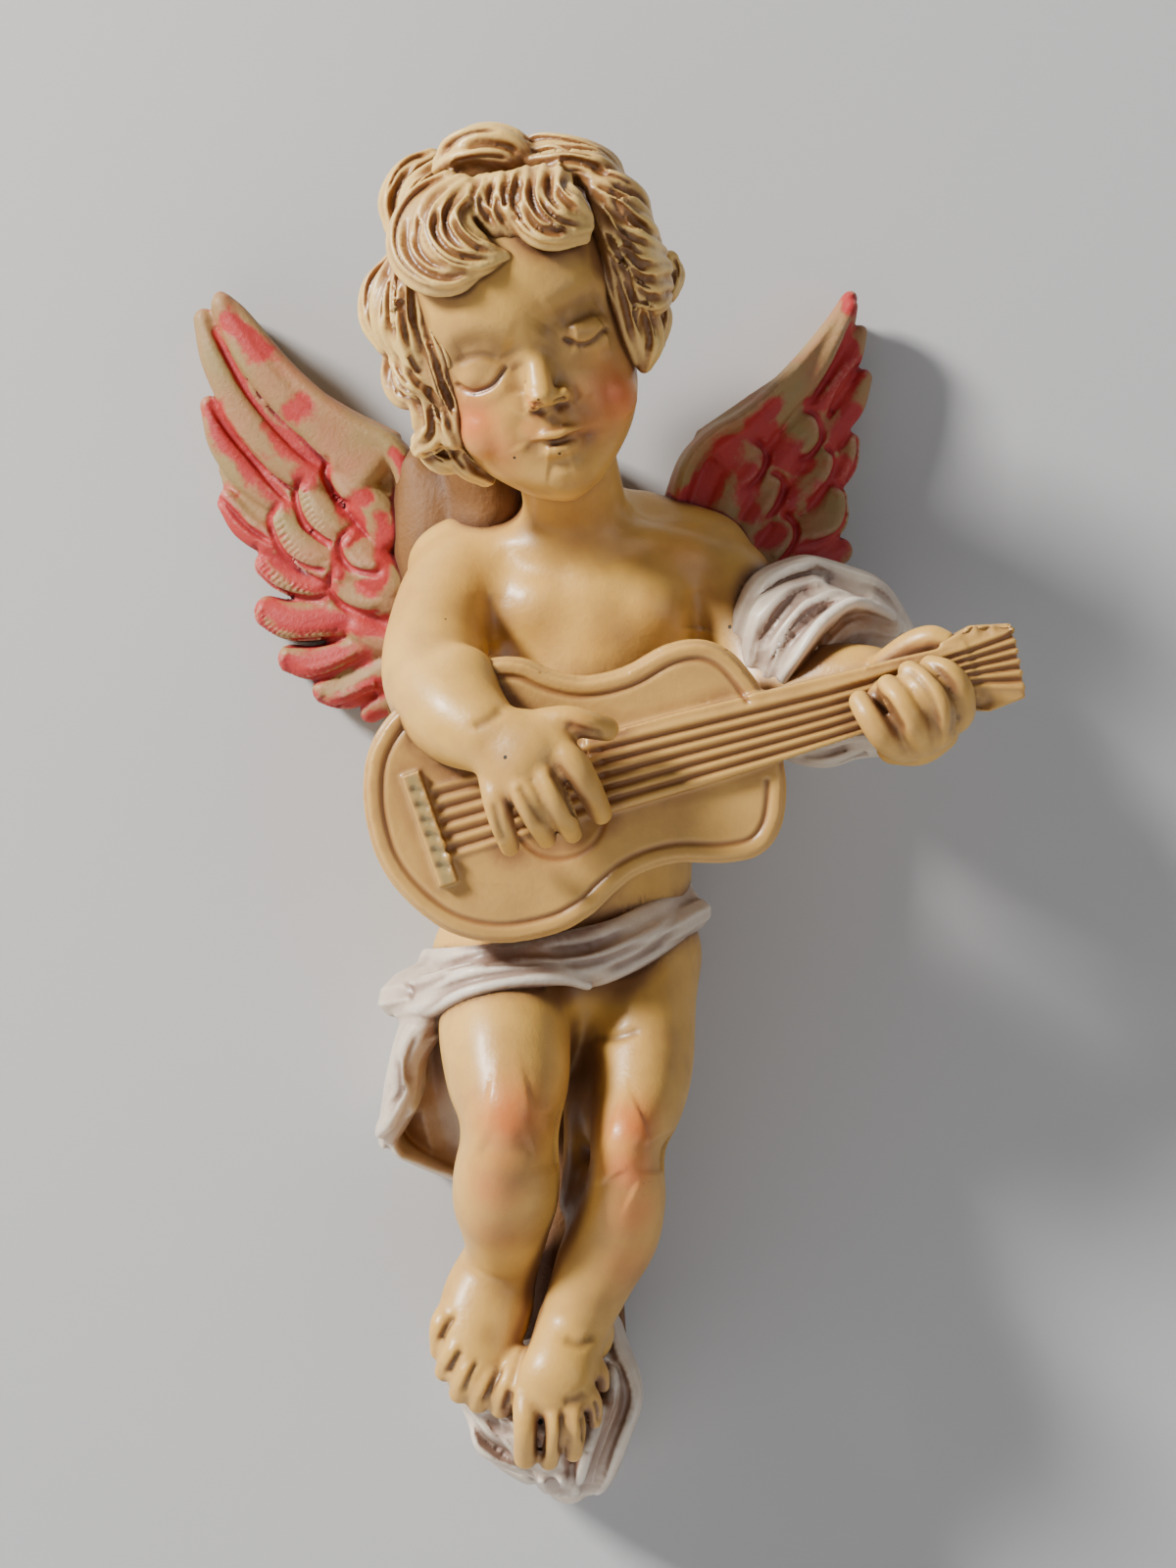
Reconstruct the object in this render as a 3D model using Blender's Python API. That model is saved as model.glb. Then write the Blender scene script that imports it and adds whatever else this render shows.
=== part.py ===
# Cherub wall plaque: a winged child playing a guitar, one hand-painted resin casting with a flat back.
# Millimetres in the rows of shapes (x to the viewer's right, out from the wall, z up), metres in the mesh.
# The wall is the plane y 0 and the front faces -y; the origin is on the flat back between the shoulders.

import math

import bmesh
import bpy
import numpy as np
from mathutils import Euler, Matrix, Vector
from mathutils.geometry import delaunay_2d_cdt, tessellate_polygon

MM = 0.001

# the tilt of the head to the viewer's left shoulder, its bow and its turn, in degrees
HEAD_TILT = 16.0
HEAD_BOW = 17.0
HEAD_TURN = 2.0
BETWEEN_EYES = (-4.6, 57, 31.5)

# the middle of the guitar's lower bout on its face, how far the neck rises and its foot leans out, in degrees
GUITAR_CENTRE = (-11.7, 49, -38.6)
GUITAR_RISE = 14.8
GUITAR_LEAN = 4.0
GUITAR_DEEP = 11.0

# the blind hole for a nail in the flat back
NAIL_HOLE_WIDE = 7.0
NAIL_HOLE_DEEP = 6.0
NAIL_HOLE_AT = (-3.0, 13.0)
NAIL_HOLE_SIDES = 20

# size of the modelling grain of each stage, and the triangles of the finished solid
GRAIN_BODY = 0.9
GRAIN_FACE = 0.6
GRAIN_WHOLE = 0.6
TRIANGLES = 9200

# the middle and reach of the face, the hands and the feet, which keep more of the triangles
FINE_SPOTS = [((-2.6, 60, 27.3), 20.0), ((-4.1, 58, -35), 14.0), ((56.8, 48, -23.2), 12.0),
              ((-7.7, 38, -134.6), 16.0)]
FINE_FACTOR = 18.0

OUT = (0.0, -1.0, 0.0)


def clear_scene():
    for item in list(bpy.data.objects):
        bpy.data.objects.remove(item)


def world(rows):
    """(x, out, z) points as x, y and z, with the wall at y 0 and the front towards -y."""
    rows = np.asarray(rows, float)
    return np.stack([rows[..., 0], -rows[..., 1], rows[..., 2]], axis=-1)


def curve(rows, steps):
    """Rows on a smooth curve through the given rows, with steps to each span."""
    rows = np.asarray(rows, float)
    ends = np.vstack([2 * rows[0] - rows[1], rows, 2 * rows[-1] - rows[-2]])
    t = np.linspace(0, 1, steps, endpoint=False)[:, None]
    spans = []
    for a, b, c, d in zip(ends[:-3], ends[1:-2], ends[2:-1], ends[3:]):
        pull = (2 * a - 5 * b + 4 * c - d) * t**2 + (3 * b - a - 3 * c + d) * t**3
        spans.append(0.5 * (2 * b + (c - a) * t + pull))
    return np.vstack(spans + [rows[-1:]])


def unit(v):
    return v / np.maximum(np.linalg.norm(v, axis=-1, keepdims=True), 1e-9)


def ring_faces(rings, sides):
    """Triangles of a tube of rings, closed by a pole at each end."""
    k = np.arange(sides)
    n = (k + 1) % sides
    a = np.arange(rings - 1)[:, None] * sides
    quads = np.stack([a + k, a + n, a + n + sides, a + k + sides], axis=-1).reshape(-1, 4)
    first = np.stack([np.full(sides, rings * sides), n, k], axis=-1)
    base = (rings - 1) * sides
    last = np.stack([np.full(sides, rings * sides + 1), k + base, n + base], axis=-1)
    return np.vstack([quads[:, [0, 1, 2]], quads[:, [0, 2, 3]], first, last])


def tube(rows, facing=OUT, sides=18, steps=6, lobes=0, lobe_depth=0.25, turns=0.0):
    """A round-ended limb through rows of x, out, z, half width and half thickness,
    its thin way facing out."""
    rows = np.asarray(rows, float)
    if rows.shape[1] == 4:
        rows = np.hstack([rows, rows[:, 3:]])
    line = curve(rows, steps)
    centre = world(line[:, :3])
    along = unit(np.gradient(centre, axis=0))
    facing = unit(np.asarray(facing, float))
    held = np.abs(along @ facing).max() < 0.9
    if not held and abs(along[0] @ facing) > 0.9:
        facing = np.array([0.0, 0.0, 1.0])
    up = np.empty_like(centre)
    last = facing
    for i, t in enumerate(along):
        source = facing if held else last
        last = unit(source - (source @ t) * t)
        up[i] = last
    across = np.cross(along, up)
    half = np.maximum(line[:, 3:5], 0.05)
    cap = np.radians([70, 45, 20])[:, None]
    reach = half.min(axis=1)
    start = centre[0] - along[0] * reach[0] * np.sin(cap)
    end = centre[-1] + along[-1] * reach[-1] * np.sin(cap[::-1])
    centres = np.vstack([start, centre, end])
    halves = np.vstack([half[0] * np.cos(cap), half, half[-1] * np.cos(cap[::-1])])
    across, up = (np.vstack([v[:1]] * 3 + [v] + [v[-1:]] * 3) for v in (across, up))
    angle = np.arange(sides) * 2 * math.pi / sides
    spin = np.linspace(0, turns * 2 * math.pi, len(centres))[:, None]
    lobe = np.ones((len(centres), sides))
    if lobes:
        lobe = 1 - lobe_depth * (1 - np.abs(np.sin(lobes * (angle + spin) / 2)))
    wide = across[:, None] * (halves[:, 0, None] * np.cos(angle) * lobe)[..., None]
    thick = up[:, None] * (halves[:, 1, None] * np.sin(angle) * lobe)[..., None]
    points = (centres[:, None] + wide + thick).reshape(-1, 3)
    poles = [centre[0] - along[0] * reach[0], centre[-1] + along[-1] * reach[-1]]
    return np.vstack([points, poles]), ring_faces(len(centres), sides)


def ball(centre, radii, tilt=(0, 0, 0), sides=24):
    """An ellipsoid with radii along x, out and z, turned by tilt degrees."""
    rise = np.radians(np.linspace(-80, 80, sides // 2))[:, None]
    turn = np.arange(sides) * 2 * math.pi / sides
    shape = np.broadcast_arrays(np.cos(rise) * np.cos(turn), np.cos(rise) * np.sin(turn), np.sin(rise))
    points = np.vstack([np.stack(shape, axis=-1).reshape(-1, 3), [(0, 0, -1), (0, 0, 1)]]) * radii
    turned = np.array(Euler([math.radians(v) for v in tilt]).to_matrix())
    return points @ turned.T + world(centre), ring_faces(sides // 2, sides)


def plate(outline, back, front):
    """A flat plate over a closed outline of (x, z), from back to front out from the wall."""
    line = np.asarray(outline, float)
    n = len(line)
    inside = np.array(tessellate_polygon([[Vector((x, z, 0)) for x, z in line]]))
    low = np.stack([line[:, 0], np.full(n, -back), line[:, 1]], axis=-1)
    high = np.stack([line[:, 0], np.full(n, -front), line[:, 1]], axis=-1)
    k = np.arange(n)
    m = (k + 1) % n
    rim = np.vstack([np.stack([k, m, m + n], axis=-1), np.stack([k, m + n, k + n], axis=-1)])
    return np.vstack([low, high]), np.vstack([inside, inside[:, ::-1] + n, rim])


def strip(line, half, back, front):
    """A flat-fronted strip along a line of (x, z) with its half widths."""
    line = np.asarray(line, float)
    along = unit(np.gradient(line, axis=0))
    across = np.stack([-along[:, 1], along[:, 0]], axis=-1) * np.asarray(half)[:, None]
    return plate(np.vstack([line + across, (line - across)[::-1]]), back, front)


def moved(clay, matrix):
    matrix = np.array(matrix)
    return [(points @ matrix[:3, :3].T + matrix[:3, 3], faces) for points, faces in clay]


class Skin:
    """Points in millimetres and quads over them, which can be smoothed."""

    def __init__(self, points, faces):
        self.points, self.faces = points, faces
        pairs = np.vstack([faces[:, [0, 1]], faces[:, [1, 2]], faces[:, [2, 3]], faces[:, [3, 0]]])
        pairs = np.unique(np.sort(pairs, axis=1), axis=0)
        self.ends = np.vstack([pairs, pairs[:, ::-1]])
        self.count = np.bincount(self.ends[:, 0], minlength=len(points))[:, None]

    def spread(self, values):
        """The mean of the neighbours of each point."""
        total = [np.bincount(self.ends[:, 0], v[self.ends[:, 1]], len(values)) for v in values.T]
        return np.stack(total, axis=-1) / self.count

    def normals(self):
        a, b, c, d = (self.points[self.faces[:, i]] for i in range(4))
        face = np.cross(c - a, d - b)
        total = np.zeros_like(self.points)
        for i in range(4):
            for axis in range(3):
                total[:, axis] += np.bincount(self.faces[:, i], face[:, axis], len(total))
        return unit(total)

    def relax(self, passes, hollow=1.0, ridge=0.1):
        """Fill the hollows between the pieces of clay and keep their ridges."""
        for _ in range(passes):
            pull = self.spread(self.points) - self.points
            normal = self.normals()
            rise = (pull * normal).sum(axis=1, keepdims=True)
            slide = pull - rise * normal
            self.points = self.points + 0.5 * slide + 0.8 * np.where(rise > 0, hollow,
            ridge) * rise * normal

    def clay(self):
        return [(self.points, np.vstack([self.faces[:, [0, 1, 2]], self.faces[:, [0, 2, 3]]]))]


def fused(clay, grain):
    """One closed skin round all the overlapping pieces of clay."""
    shifts = np.cumsum([0] + [len(points) for points, _ in clay[:-1]])
    mesh = bpy.data.meshes.new("clay")
    faces = np.vstack([faces + shift for (_, faces), shift in zip(clay, shifts)])
    mesh.from_pydata(np.vstack([points for points, _ in clay]), [], faces.tolist())
    lump = bpy.data.objects.new("clay", mesh)
    bpy.context.collection.objects.link(lump)
    grid = lump.modifiers.new("grain", "REMESH")
    grid.mode = "VOXEL"
    grid.voxel_size = grain
    result = lump.evaluated_get(bpy.context.evaluated_depsgraph_get()).to_mesh()
    points = np.empty(len(result.vertices) * 3)
    result.vertices.foreach_get("co", points)
    corners = np.empty(len(result.loops), dtype=np.int64)
    result.loops.foreach_get("vertex_index", corners)
    quads = corners.reshape(-1, 4)
    lump.to_mesh_clear()
    bpy.data.objects.remove(lump)
    bpy.data.meshes.remove(mesh)
    return Skin(points.reshape(-1, 3), quads)


def torso():
    """Trunk, neck, chest and belly."""
    return [
        tube([(1.5, 16, 9, 11, 10), (3.5, 15, 1.5, 18, 18), (4.5, 15, -7.9, 18.3, 20),
              (4.5, 15, -24.8, 17.5, 19.5),
              (4.2, 16, -40.1, 17.5, 20.5), (3.5, 16, -51.1, 18, 20), (1.8, 15, -60.4, 19.5, 19),
              (0.6, 15, -68.9, 20, 18.5),
              (0.4, 14, -75.8, 19, 15)], sides=32),
        tube([(2.2, 18, 0.4, 11, 10), (1.8, 22, 7.5, 9.4, 9.4), (1, 28, 13.5, 8.6, 8.6),
              (-0.6, 34, 20.1, 8.6, 8.6)], sides=24),
        tube([(-13.2, 22, 2.9, 6, 6), (-3.1, 27, 3.6, 5.5, 5.5), (1.9, 28, 4.5, 5, 5),
              (10.1, 27, 4.6, 5, 5), (20.1, 24, 2.9, 6, 6)]),
        tube([(-10.1, 14, 8.3, 8, 8), (-18.5, 16, 2.2, 9.5, 9.5)]),
        tube([(12, 14, 8.3, 8, 8), (23, 16, 3.1, 9.5, 9.5)]),
        ball((-3.1, 27, -5.7), (9.5, 7.5, 8.5)),
        ball((12.6, 27, -5.7), (9.0, 7.5, 8.5)),
        ball((15.4, 26, -8.6), (6.5, 6.5, 6.0)),
        ball((-6.4, 26, -8.6), (6.5, 6.5, 6.0)),
        ball((4.5, 26, -43.3), (14, 12, 13)),
        ball((-15.2, 14, -66.4), (8, 16, 9)),
    ]


def arms():
    """Both arms, shoulder to wrist."""
    return [
        tube([(-10, 18, 0.4, 9, 9), (-17.5, 22, -1.6, 9.7, 9.7), (-21.2, 30, -9.6, 8.9, 8.9),
              (-21.5, 41, -17.8, 8.6, 8.8),
              (-17.4, 50, -23.8, 8.4, 8.2), (-13.1, 55, -27, 6.7, 6.5),
              (-10, 57, -28.6, 5.6, 5.2)], sides=24),
        ball((-23.9, 36, -14.3), (5.2, 7, 7.5)),
        ball((-16.8, 49, -19.4), (6.5, 6, 7)),
        tube([(18.7, 18, 0.4, 9, 9), (26.1, 20, -1.5, 9.4, 9.4), (31, 23, -10, 8.4, 8.4),
              (34.8, 28, -19.4, 8, 8),
              (41.6, 34, -18.8, 7.4, 7.4), (48.5, 38, -18.1, 6.2, 6.2),
              (53.4, 40, -19, 5.2, 5.2)], sides=24),
    ]


def palms():
    """Both hands without their fingers."""
    return [
        tube([(-11.9, 56, -27.6, 5.8, 5), (-8.7, 58, -29.7, 6.6, 4.6), (-5.9, 59.5, -31.7, 7.2, 4.2),
              (-4.1, 59.5, -33.2, 6.8, 3.2)]),
        tube([(-7.2, 57, -27, 4, 3.6), (-2.6, 59, -28.4, 4.2, 3.4), (0.2, 60, -31.2, 2.6, 2.6)]),
        tube([(50.3, 39, -19, 5.6, 5), (55.3, 40, -21.7, 6.8, 5), (58.7, 41, -23.7, 6.4, 4.5)]),
        tube([(53, 43, -29, 3, 3), (57, 44, -28.7, 3.4, 3.4), (60.5, 44, -26.8, 3, 3)]),
    ]


def fingers():
    """The fingers and thumbs of both hands, knuckle to tip."""
    rows = [
        [(-2.3, 59, -28.6, 2.7), (1.1, 61, -31.7, 2.5), (3.5, 59.5, -35.5, 2.2), (5.5, 53.5, -39.6, 1.9)],
        [(-4.9, 60, -31.2, 2.5), (-2.1, 62, -35.9, 2.3), (-0.3, 60, -39.9, 2), (1, 54.5, -42.7, 1.7)],
        [(-8.1, 60, -32.7, 2.5), (-5.9, 62, -37.3, 2.3), (-4.3, 60, -40.8, 2), (-3.1, 54.5, -43.5, 1.7)],
        [(-11.3, 58, -33.5, 2.5), (-10.5, 60, -38.3, 2.2), (-9.6, 58.5, -41.9, 1.9),
         (-8.8, 54, -44.9, 1.6)],
        [(-5.7, 57, -26.6, 3.2), (-0.3, 59, -25.2, 2.5), (3.2, 59, -25.7, 2.3), (6.4, 57, -26.4, 2)],
        [(46.3, 55, -22.1, 1.9), (47.8, 56.5, -24.7, 2.2), (50.1, 55.5, -27.6, 2.4),
         (53.8, 49, -29.1, 2.5), (57.3, 44, -28.2, 2.4)],
        [(50.6, 55.5, -19.6, 1.9), (52.2, 57.5, -22.1, 2.3), (54.4, 57, -25.5, 2.5), (56.4, 52, -28, 2.6),
         (58.9, 44, -27.4, 2.5)],
        [(54, 55, -17.4, 1.9), (56.1, 57.5, -19.7, 2.3), (58.6, 57.5, -23.1, 2.6), (59.1, 53, -26.6, 2.6),
         (59.4, 44, -26.8, 2.5)],
        [(57.5, 54, -16.5, 1.9), (59.8, 55.5, -17.8, 2.3), (61.7, 55, -20.5, 2.5), (62.3, 51, -23.8, 2.6),
         (61.2, 43, -25.5, 2.5)],
        [(51.8, 44, -16, 2.8), (55.3, 47, -13, 2.5), (58.2, 49, -11.9, 2.3), (60.3, 50, -12.4, 1.9)],
    ]
    return [tube(row, sides=14) for row in rows]


def legs():
    """Thigh to ankle, the viewer-right leg crossing in front at the ankle."""
    return [
        tube([(-11.4, 16, -66.3, 12.5, 14), (-10.7, 26, -73, 11.2, 13), (-10.1, 36, -77.3, 10.9, 12.5),
              (-9.4, 42, -83.5, 10, 11.5), (-8.9, 46, -87.8, 8.4, 9.5),
              (-8.9, 47, -91.5, 7.7, 8.8), (-9.5, 44, -96.7, 8.6, 9.2), (-10, 39, -102.6, 8.8, 9.4),
              (-10.1, 35, -108.1, 7.4, 8),
              (-10.5, 31, -113.4, 6.4, 7), (-11.6, 29, -118.7, 6.4, 6.8)], sides=28),
        ball((-8.7, 50, -88.9), (6.2, 5.8, 7.0)),
        tube([(12.8, 16, -64.6, 10.6, 14), (12.8, 22, -72, 9.2, 13), (12.2, 29, -81.9, 9, 12),
              (11.3, 35, -88.1, 7.9, 10),
              (9.9, 40, -93, 6.2, 8.2), (9.9, 41, -97.2, 6.1, 8), (9.4, 38, -102.8, 7, 8.4),
              (7.9, 36, -108.6, 7.6, 8.4), (5.4, 35, -113.9, 7.2, 8),
              (3.2, 35, -119.1, 6.5, 7.2), (1.4, 35, -123.3, 6.1, 6.6)], sides=28),
        ball((10, 45, -94.4), (5.0, 4.8, 6.6)),
    ]


def feet():
    """Ankle to the ball of each foot."""
    return [
        tube([(-11.3, 28, -114.9, 6.4, 6.4), (-12.8, 31, -119.6, 7.6, 6.6), (-14, 34, -124.2, 7.6, 5.6),
              (-14.6, 36, -128.6, 6.6, 4.6), (-14.6, 36, -131.2, 6, 3.8)], sides=24),
        tube([(1.4, 34, -123.5, 6.1, 6.2), (-0.2, 38, -127.8, 6, 5.8), (-1.4, 41, -131, 6.2, 5),
              (-2.2, 42, -134.2, 6.2, 3.8)], sides=24),
        ball((3.5, 29, -126.6), (4.5, 7, 5.5)),
    ]


def toes():
    """The toes of both feet."""
    rows = [
        [(-18.9, 33, -122, 2.4), (-20.4, 36, -124.1, 2.2), (-21, 34, -128.7, 1.7)],
        [(-16.2, 35, -125.3, 2.4), (-18.2, 38, -128.1, 2.2), (-20.1, 35, -131.9, 1.8)],
        [(-13.9, 36, -127.3, 2.4), (-16, 39, -131.1, 2.2), (-17.6, 36, -135.2, 1.9)],
        [(-11.7, 36, -129.2, 2.4), (-13.3, 39, -133, 2.2), (-14.6, 36, -136.8, 1.9)],
        [(-8.1, 37, -129.7, 2.8), (-9.6, 40, -133.4, 2.4), (-10.7, 37, -137.2, 2.1)],
        [(-6.4, 42, -134.2, 2.6), (-6.6, 44, -138.7, 2), (-6.7, 40, -144.8, 2)],
        [(-2.5, 43, -135.3, 2), (-1.7, 44.5, -139, 1.7), (-2.9, 40, -145.3, 1.7)],
        [(0.3, 43, -134.6, 1.9), (1.6, 44, -138.5, 1.6), (1.1, 40, -144, 1.6)],
        [(2.9, 42, -133, 1.8), (4.5, 42, -135.5, 1.4), (4.5, 39, -139.1, 1.3)],
        [(4.5, 39, -129.8, 1.8), (5.7, 39, -131.4, 1.3), (5.9, 37, -133.8, 1.2)],
    ]
    return [tube(row, sides=14) for row in rows]


def head_frame():
    """Head-local x, out and z from between the eyes, tilted to the shoulder and bowed."""
    tilt = (
        Matrix.Rotation(math.radians(-HEAD_TILT), 3, "Y")
        @ Matrix.Rotation(math.radians(HEAD_BOW), 3, "X")
        @ Matrix.Rotation(math.radians(HEAD_TURN), 3, "Z")
    )
    centre = Vector(world(BETWEEN_EYES).tolist()) - tilt @ Vector((0, -15, 0))
    return Matrix.Translation(centre) @ tilt.to_4x4()


def head():
    """The egg of the head, a ring to each height from the eye line: front, half width and back."""
    profile = [
        (28.5, -2, 3, 3), (26, 6, 11, 10), (21, 12.5, 15, 15.5), (15, 16.2, 16.8, 19),
        (9, 17.4, 17.2, 21), (4, 16.9, 17.0, 22),
        (0, 15.4, 16.7, 22), (-4, 15.2, 16.5, 20), (-8, 15.9, 16.2, 17), (-12, 16.2, 15.1, 13),
        (-16, 15.2, 13.0, 9),
        (-19.5, 15.0, 9.8, 4), (-22.5, 13.4, 6.2, -1), (-24.3, 9.5, 2.4, -4),
    ]
    sides = 64
    turn = np.arange(sides) * 2 * math.pi / sides
    c, s = np.cos(turn), np.sin(turn)
    rings = []
    for up, front, half, back in curve(profile, 5):
        out = np.where(c > 0, front, back) * np.sign(c) * np.abs(c) ** 0.85
        side = half * np.sign(s) * np.abs(s) ** 0.9
        rings.append(np.stack([side, -out, np.full(sides, up)], axis=-1))
    poles = [rings[0].mean(axis=0) + (0, 0, 0.6), rings[-1].mean(axis=0) - (0, 0, 0.6)]
    return [(np.vstack(rings + [poles]), ring_faces(len(rings), sides)[:, ::-1])]


def features():
    """Nose, closed lids and lips; head-local."""
    soft = [
        tube([(0, 14.6, 3.2, 1.5, 1.6), (0, 15.4, -0.5, 1.35, 1.6), (0, 17.0, -3.6, 1.5, 1.7),
              (0, 18.6, -5.8, 1.9, 1.8)]),
        ball((0, 18.9, -6.3), (2.0, 1.9, 1.6)),
        ball((-2.3, 16.8, -6.7), (1.35, 1.9, 1.3)),
        ball((2.3, 16.8, -6.7), (1.35, 1.9, 1.3)),
        ball((-8.7, 10.9, -0.6), (4.3, 3.6, 3.1), tilt=(0, -4, 0)),
        ball((8.7, 10.9, -0.6), (4.3, 3.6, 3.1), tilt=(0, 4, 0)),
    ]
    crisp = [
        tube([(-4.4, 14.6, -12.9, 0.6, 0.6), (-2.2, 16.0, -12.1, 1.0, 1.1), (0, 16.6, -12.2, 1.0, 1.1),
              (2.2, 16.0, -12.1, 1.0, 1.1), (4.4, 14.6, -12.9, 0.6, 0.6)]),
        tube([(-3.0, 14.8, -14.2, 0.7, 0.8), (-1.3, 15.7, -14.5, 1.1, 1.2), (1.3, 15.7, -14.5, 1.1, 1.2),
              (3.0, 14.8, -14.2, 0.7, 0.8)]),
    ]
    return soft, crisp


def locks(lobes=0, lobe_depth=0.3, sides=18):
    """The locks that frame the face, each a curled tube, with strands where lobes are given."""
    rows = [
        # knot on the crown
        [(-19.1, 50, 63.2, 2.5), (-16.3, 53, 64, 4.3), (-12.6, 54, 64.7, 4.8), (-8.8, 54, 64.2, 4.2),
         (-7, 53, 62.8, 2.5)],
        [(-22.1, 40, 66.6, 2.2), (-25.5, 41, 64.2, 3), (-27.7, 42, 59.6, 3), (-27.9, 43, 55.1, 1.8)],
        [(-20.2, 44, 63.7, 2.6), (-23.3, 46, 60.1, 3.2), (-24.7, 48, 55.9, 2.6)],
        # fringe on the viewer's left
        [(-18.5, 56, 58.7, 2.6), (-22.3, 56, 55.8, 3.4), (-24.5, 57, 51.4, 3.6), (-24.1, 59, 47, 3.5),
         (-21.2, 61, 43.8, 3.2), (-17.1, 62, 42.9, 2.6), (-13.4, 62, 44.5, 1.6)],
        [(-16.2, 59, 57.4, 2.6), (-19.5, 60, 54.1, 3.4), (-20.3, 61, 50.2, 3.4), (-17.8, 63, 46.5, 3.2),
         (-13.7, 63, 45.4, 2.6), (-9.5, 62, 46.4, 1.3)],
        [(-15.2, 60, 56.2, 2.4), (-17.1, 62, 52.6, 2.9), (-16.1, 63, 49.5, 2.9), (-13.1, 63, 47.2, 2.4),
         (-10.4, 62, 46.7, 1.4)],
        [(-12.5, 59, 58, 2.2), (-13.3, 61, 54.5, 2.4), (-10.9, 61, 50.5, 1.4)],
        [(-10.2, 60, 58, 2.2), (-10.6, 61.5, 54.2, 2.4), (-8.9, 61, 50.5, 1.4)],
        [(-7.9, 60, 58.3, 2.2), (-8.6, 62, 54.8, 2.4), (-7, 61, 50.5, 1.4)],
        # fringe on the viewer's right
        [(-6.3, 59, 58.9, 2.4), (-6.5, 62, 54.7, 2.9), (-4.8, 63, 51.1, 3), (-1.9, 63, 49.5, 2.6),
         (2.6, 61, 49.8, 1.5)],
        [(-3.5, 59, 59.3, 2.4), (-4.1, 62, 55.4, 2.9), (-2.2, 64, 52.1, 2.9), (0.3, 63, 50.8, 2.5),
         (3, 62, 51.1, 1.6)],
        [(-1.2, 59, 59.5, 2.4), (-1.2, 62, 56.2, 2.8), (0.6, 63, 54, 2.8), (2.6, 62, 52.4, 2)],
        # crown
        [(-6.8, 50, 65.4, 2.6), (-3, 52, 65.4, 3), (2, 53, 64.3, 3), (6, 51, 63, 2.8), (7.9, 49, 61.3, 2)],
        [(-5, 54, 62.6, 2.6), (-0.3, 56, 62.4, 3.2), (4.3, 56, 61.4, 3.2), (8.2, 52, 59.9, 2)],
        # temple on the viewer's right
        [(4.3, 57, 59.4, 2.4), (7.8, 57, 58, 3), (10.6, 54, 56.7, 2.8), (12.2, 51, 54.9, 1.8)],
        [(5.3, 58, 57.1, 2.4), (8.5, 58, 54.8, 3), (11.5, 55, 52.5, 3), (13.5, 51, 51.2, 1.8)],
        [(5.9, 58, 55.5, 2.4), (8.1, 58, 51.8, 2.9), (11.2, 56, 49.5, 2.9), (14.5, 51, 49.3, 1.8)],
        [(7.2, 57, 51.4, 2.2), (9, 57, 48.3, 2.8), (12, 55, 46.4, 2.8), (15.3, 51, 46.8, 1.9)],
        [(8.1, 56, 48.2, 2.2), (10.3, 55, 45.1, 2.8), (12.9, 53, 43.9, 2.7), (15.5, 49, 44.7, 1.9)],
        [(9.7, 54, 44.6, 2), (11.5, 53, 42.4, 2.6), (13.9, 51, 41.7, 2.4), (15.6, 47, 42.9, 1.7)],
        [(16.9, 40, 50.3, 1.8), (17.4, 40, 47.9, 2.1), (16.7, 42, 44.5, 1.6)],
        [(11, 50, 42.3, 2), (12.6, 49, 39.2, 2.5), (13.4, 48, 35.5, 2.4), (12.6, 46, 32.4, 1.5)],
        [(13.9, 45, 43.1, 2.2), (14.9, 44, 40.2, 2.4), (14.3, 44, 36.2, 1.8)],
        # side on the viewer's left, down to the nape
        [(-27.8, 46, 47.8, 2.6), (-30, 46, 44.5, 3.2), (-30.4, 46, 39.8, 3), (-28.7, 47, 35.4, 2)],
        [(-26.3, 50, 47, 2.8), (-27.8, 51, 43.1, 3.2), (-27.8, 51, 38.1, 3.2), (-26.4, 50, 33.6, 2)],
        [(-24.8, 53, 46.1, 2.6), (-25.4, 54, 41.9, 3), (-25.3, 53, 37, 3), (-24.3, 52, 32, 1.8)],
        [(-27.4, 45, 33.5, 2.4), (-27.4, 45, 30.4, 2.6), (-25.9, 46, 27.7, 2.6), (-23.5, 47, 26.9, 1.8)],
        [(-25.9, 49, 32.2, 2.6), (-24.3, 50, 29.5, 2.9), (-22.1, 50, 27.4, 2)],
        [(-23.5, 47, 27.8, 2.6), (-21.9, 47, 24.4, 3.2), (-21.7, 46, 21.1, 3), (-23.4, 44, 19.4, 2)],
        [(-20.9, 49, 28.1, 2.6), (-19.2, 49, 24.4, 3), (-18, 48, 20.5, 2.2)],
        [(-23.1, 41, 20.5, 2.4), (-20.1, 41, 18.2, 3), (-16.3, 41, 18.2, 2.2)],
        [(-17.7, 44, 20.1, 2.6), (-15.9, 42, 17.2, 2.8), (-13.2, 39, 15.3, 1.9)],
    ]
    if not lobes:
        return [tube(row, sides=sides) for row in rows]
    return [tube(row, sides=sides, lobes=lobes, lobe_depth=lobe_depth, turns=0.12 * (-1) ** i) for i,
    row in enumerate(rows)]


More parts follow.
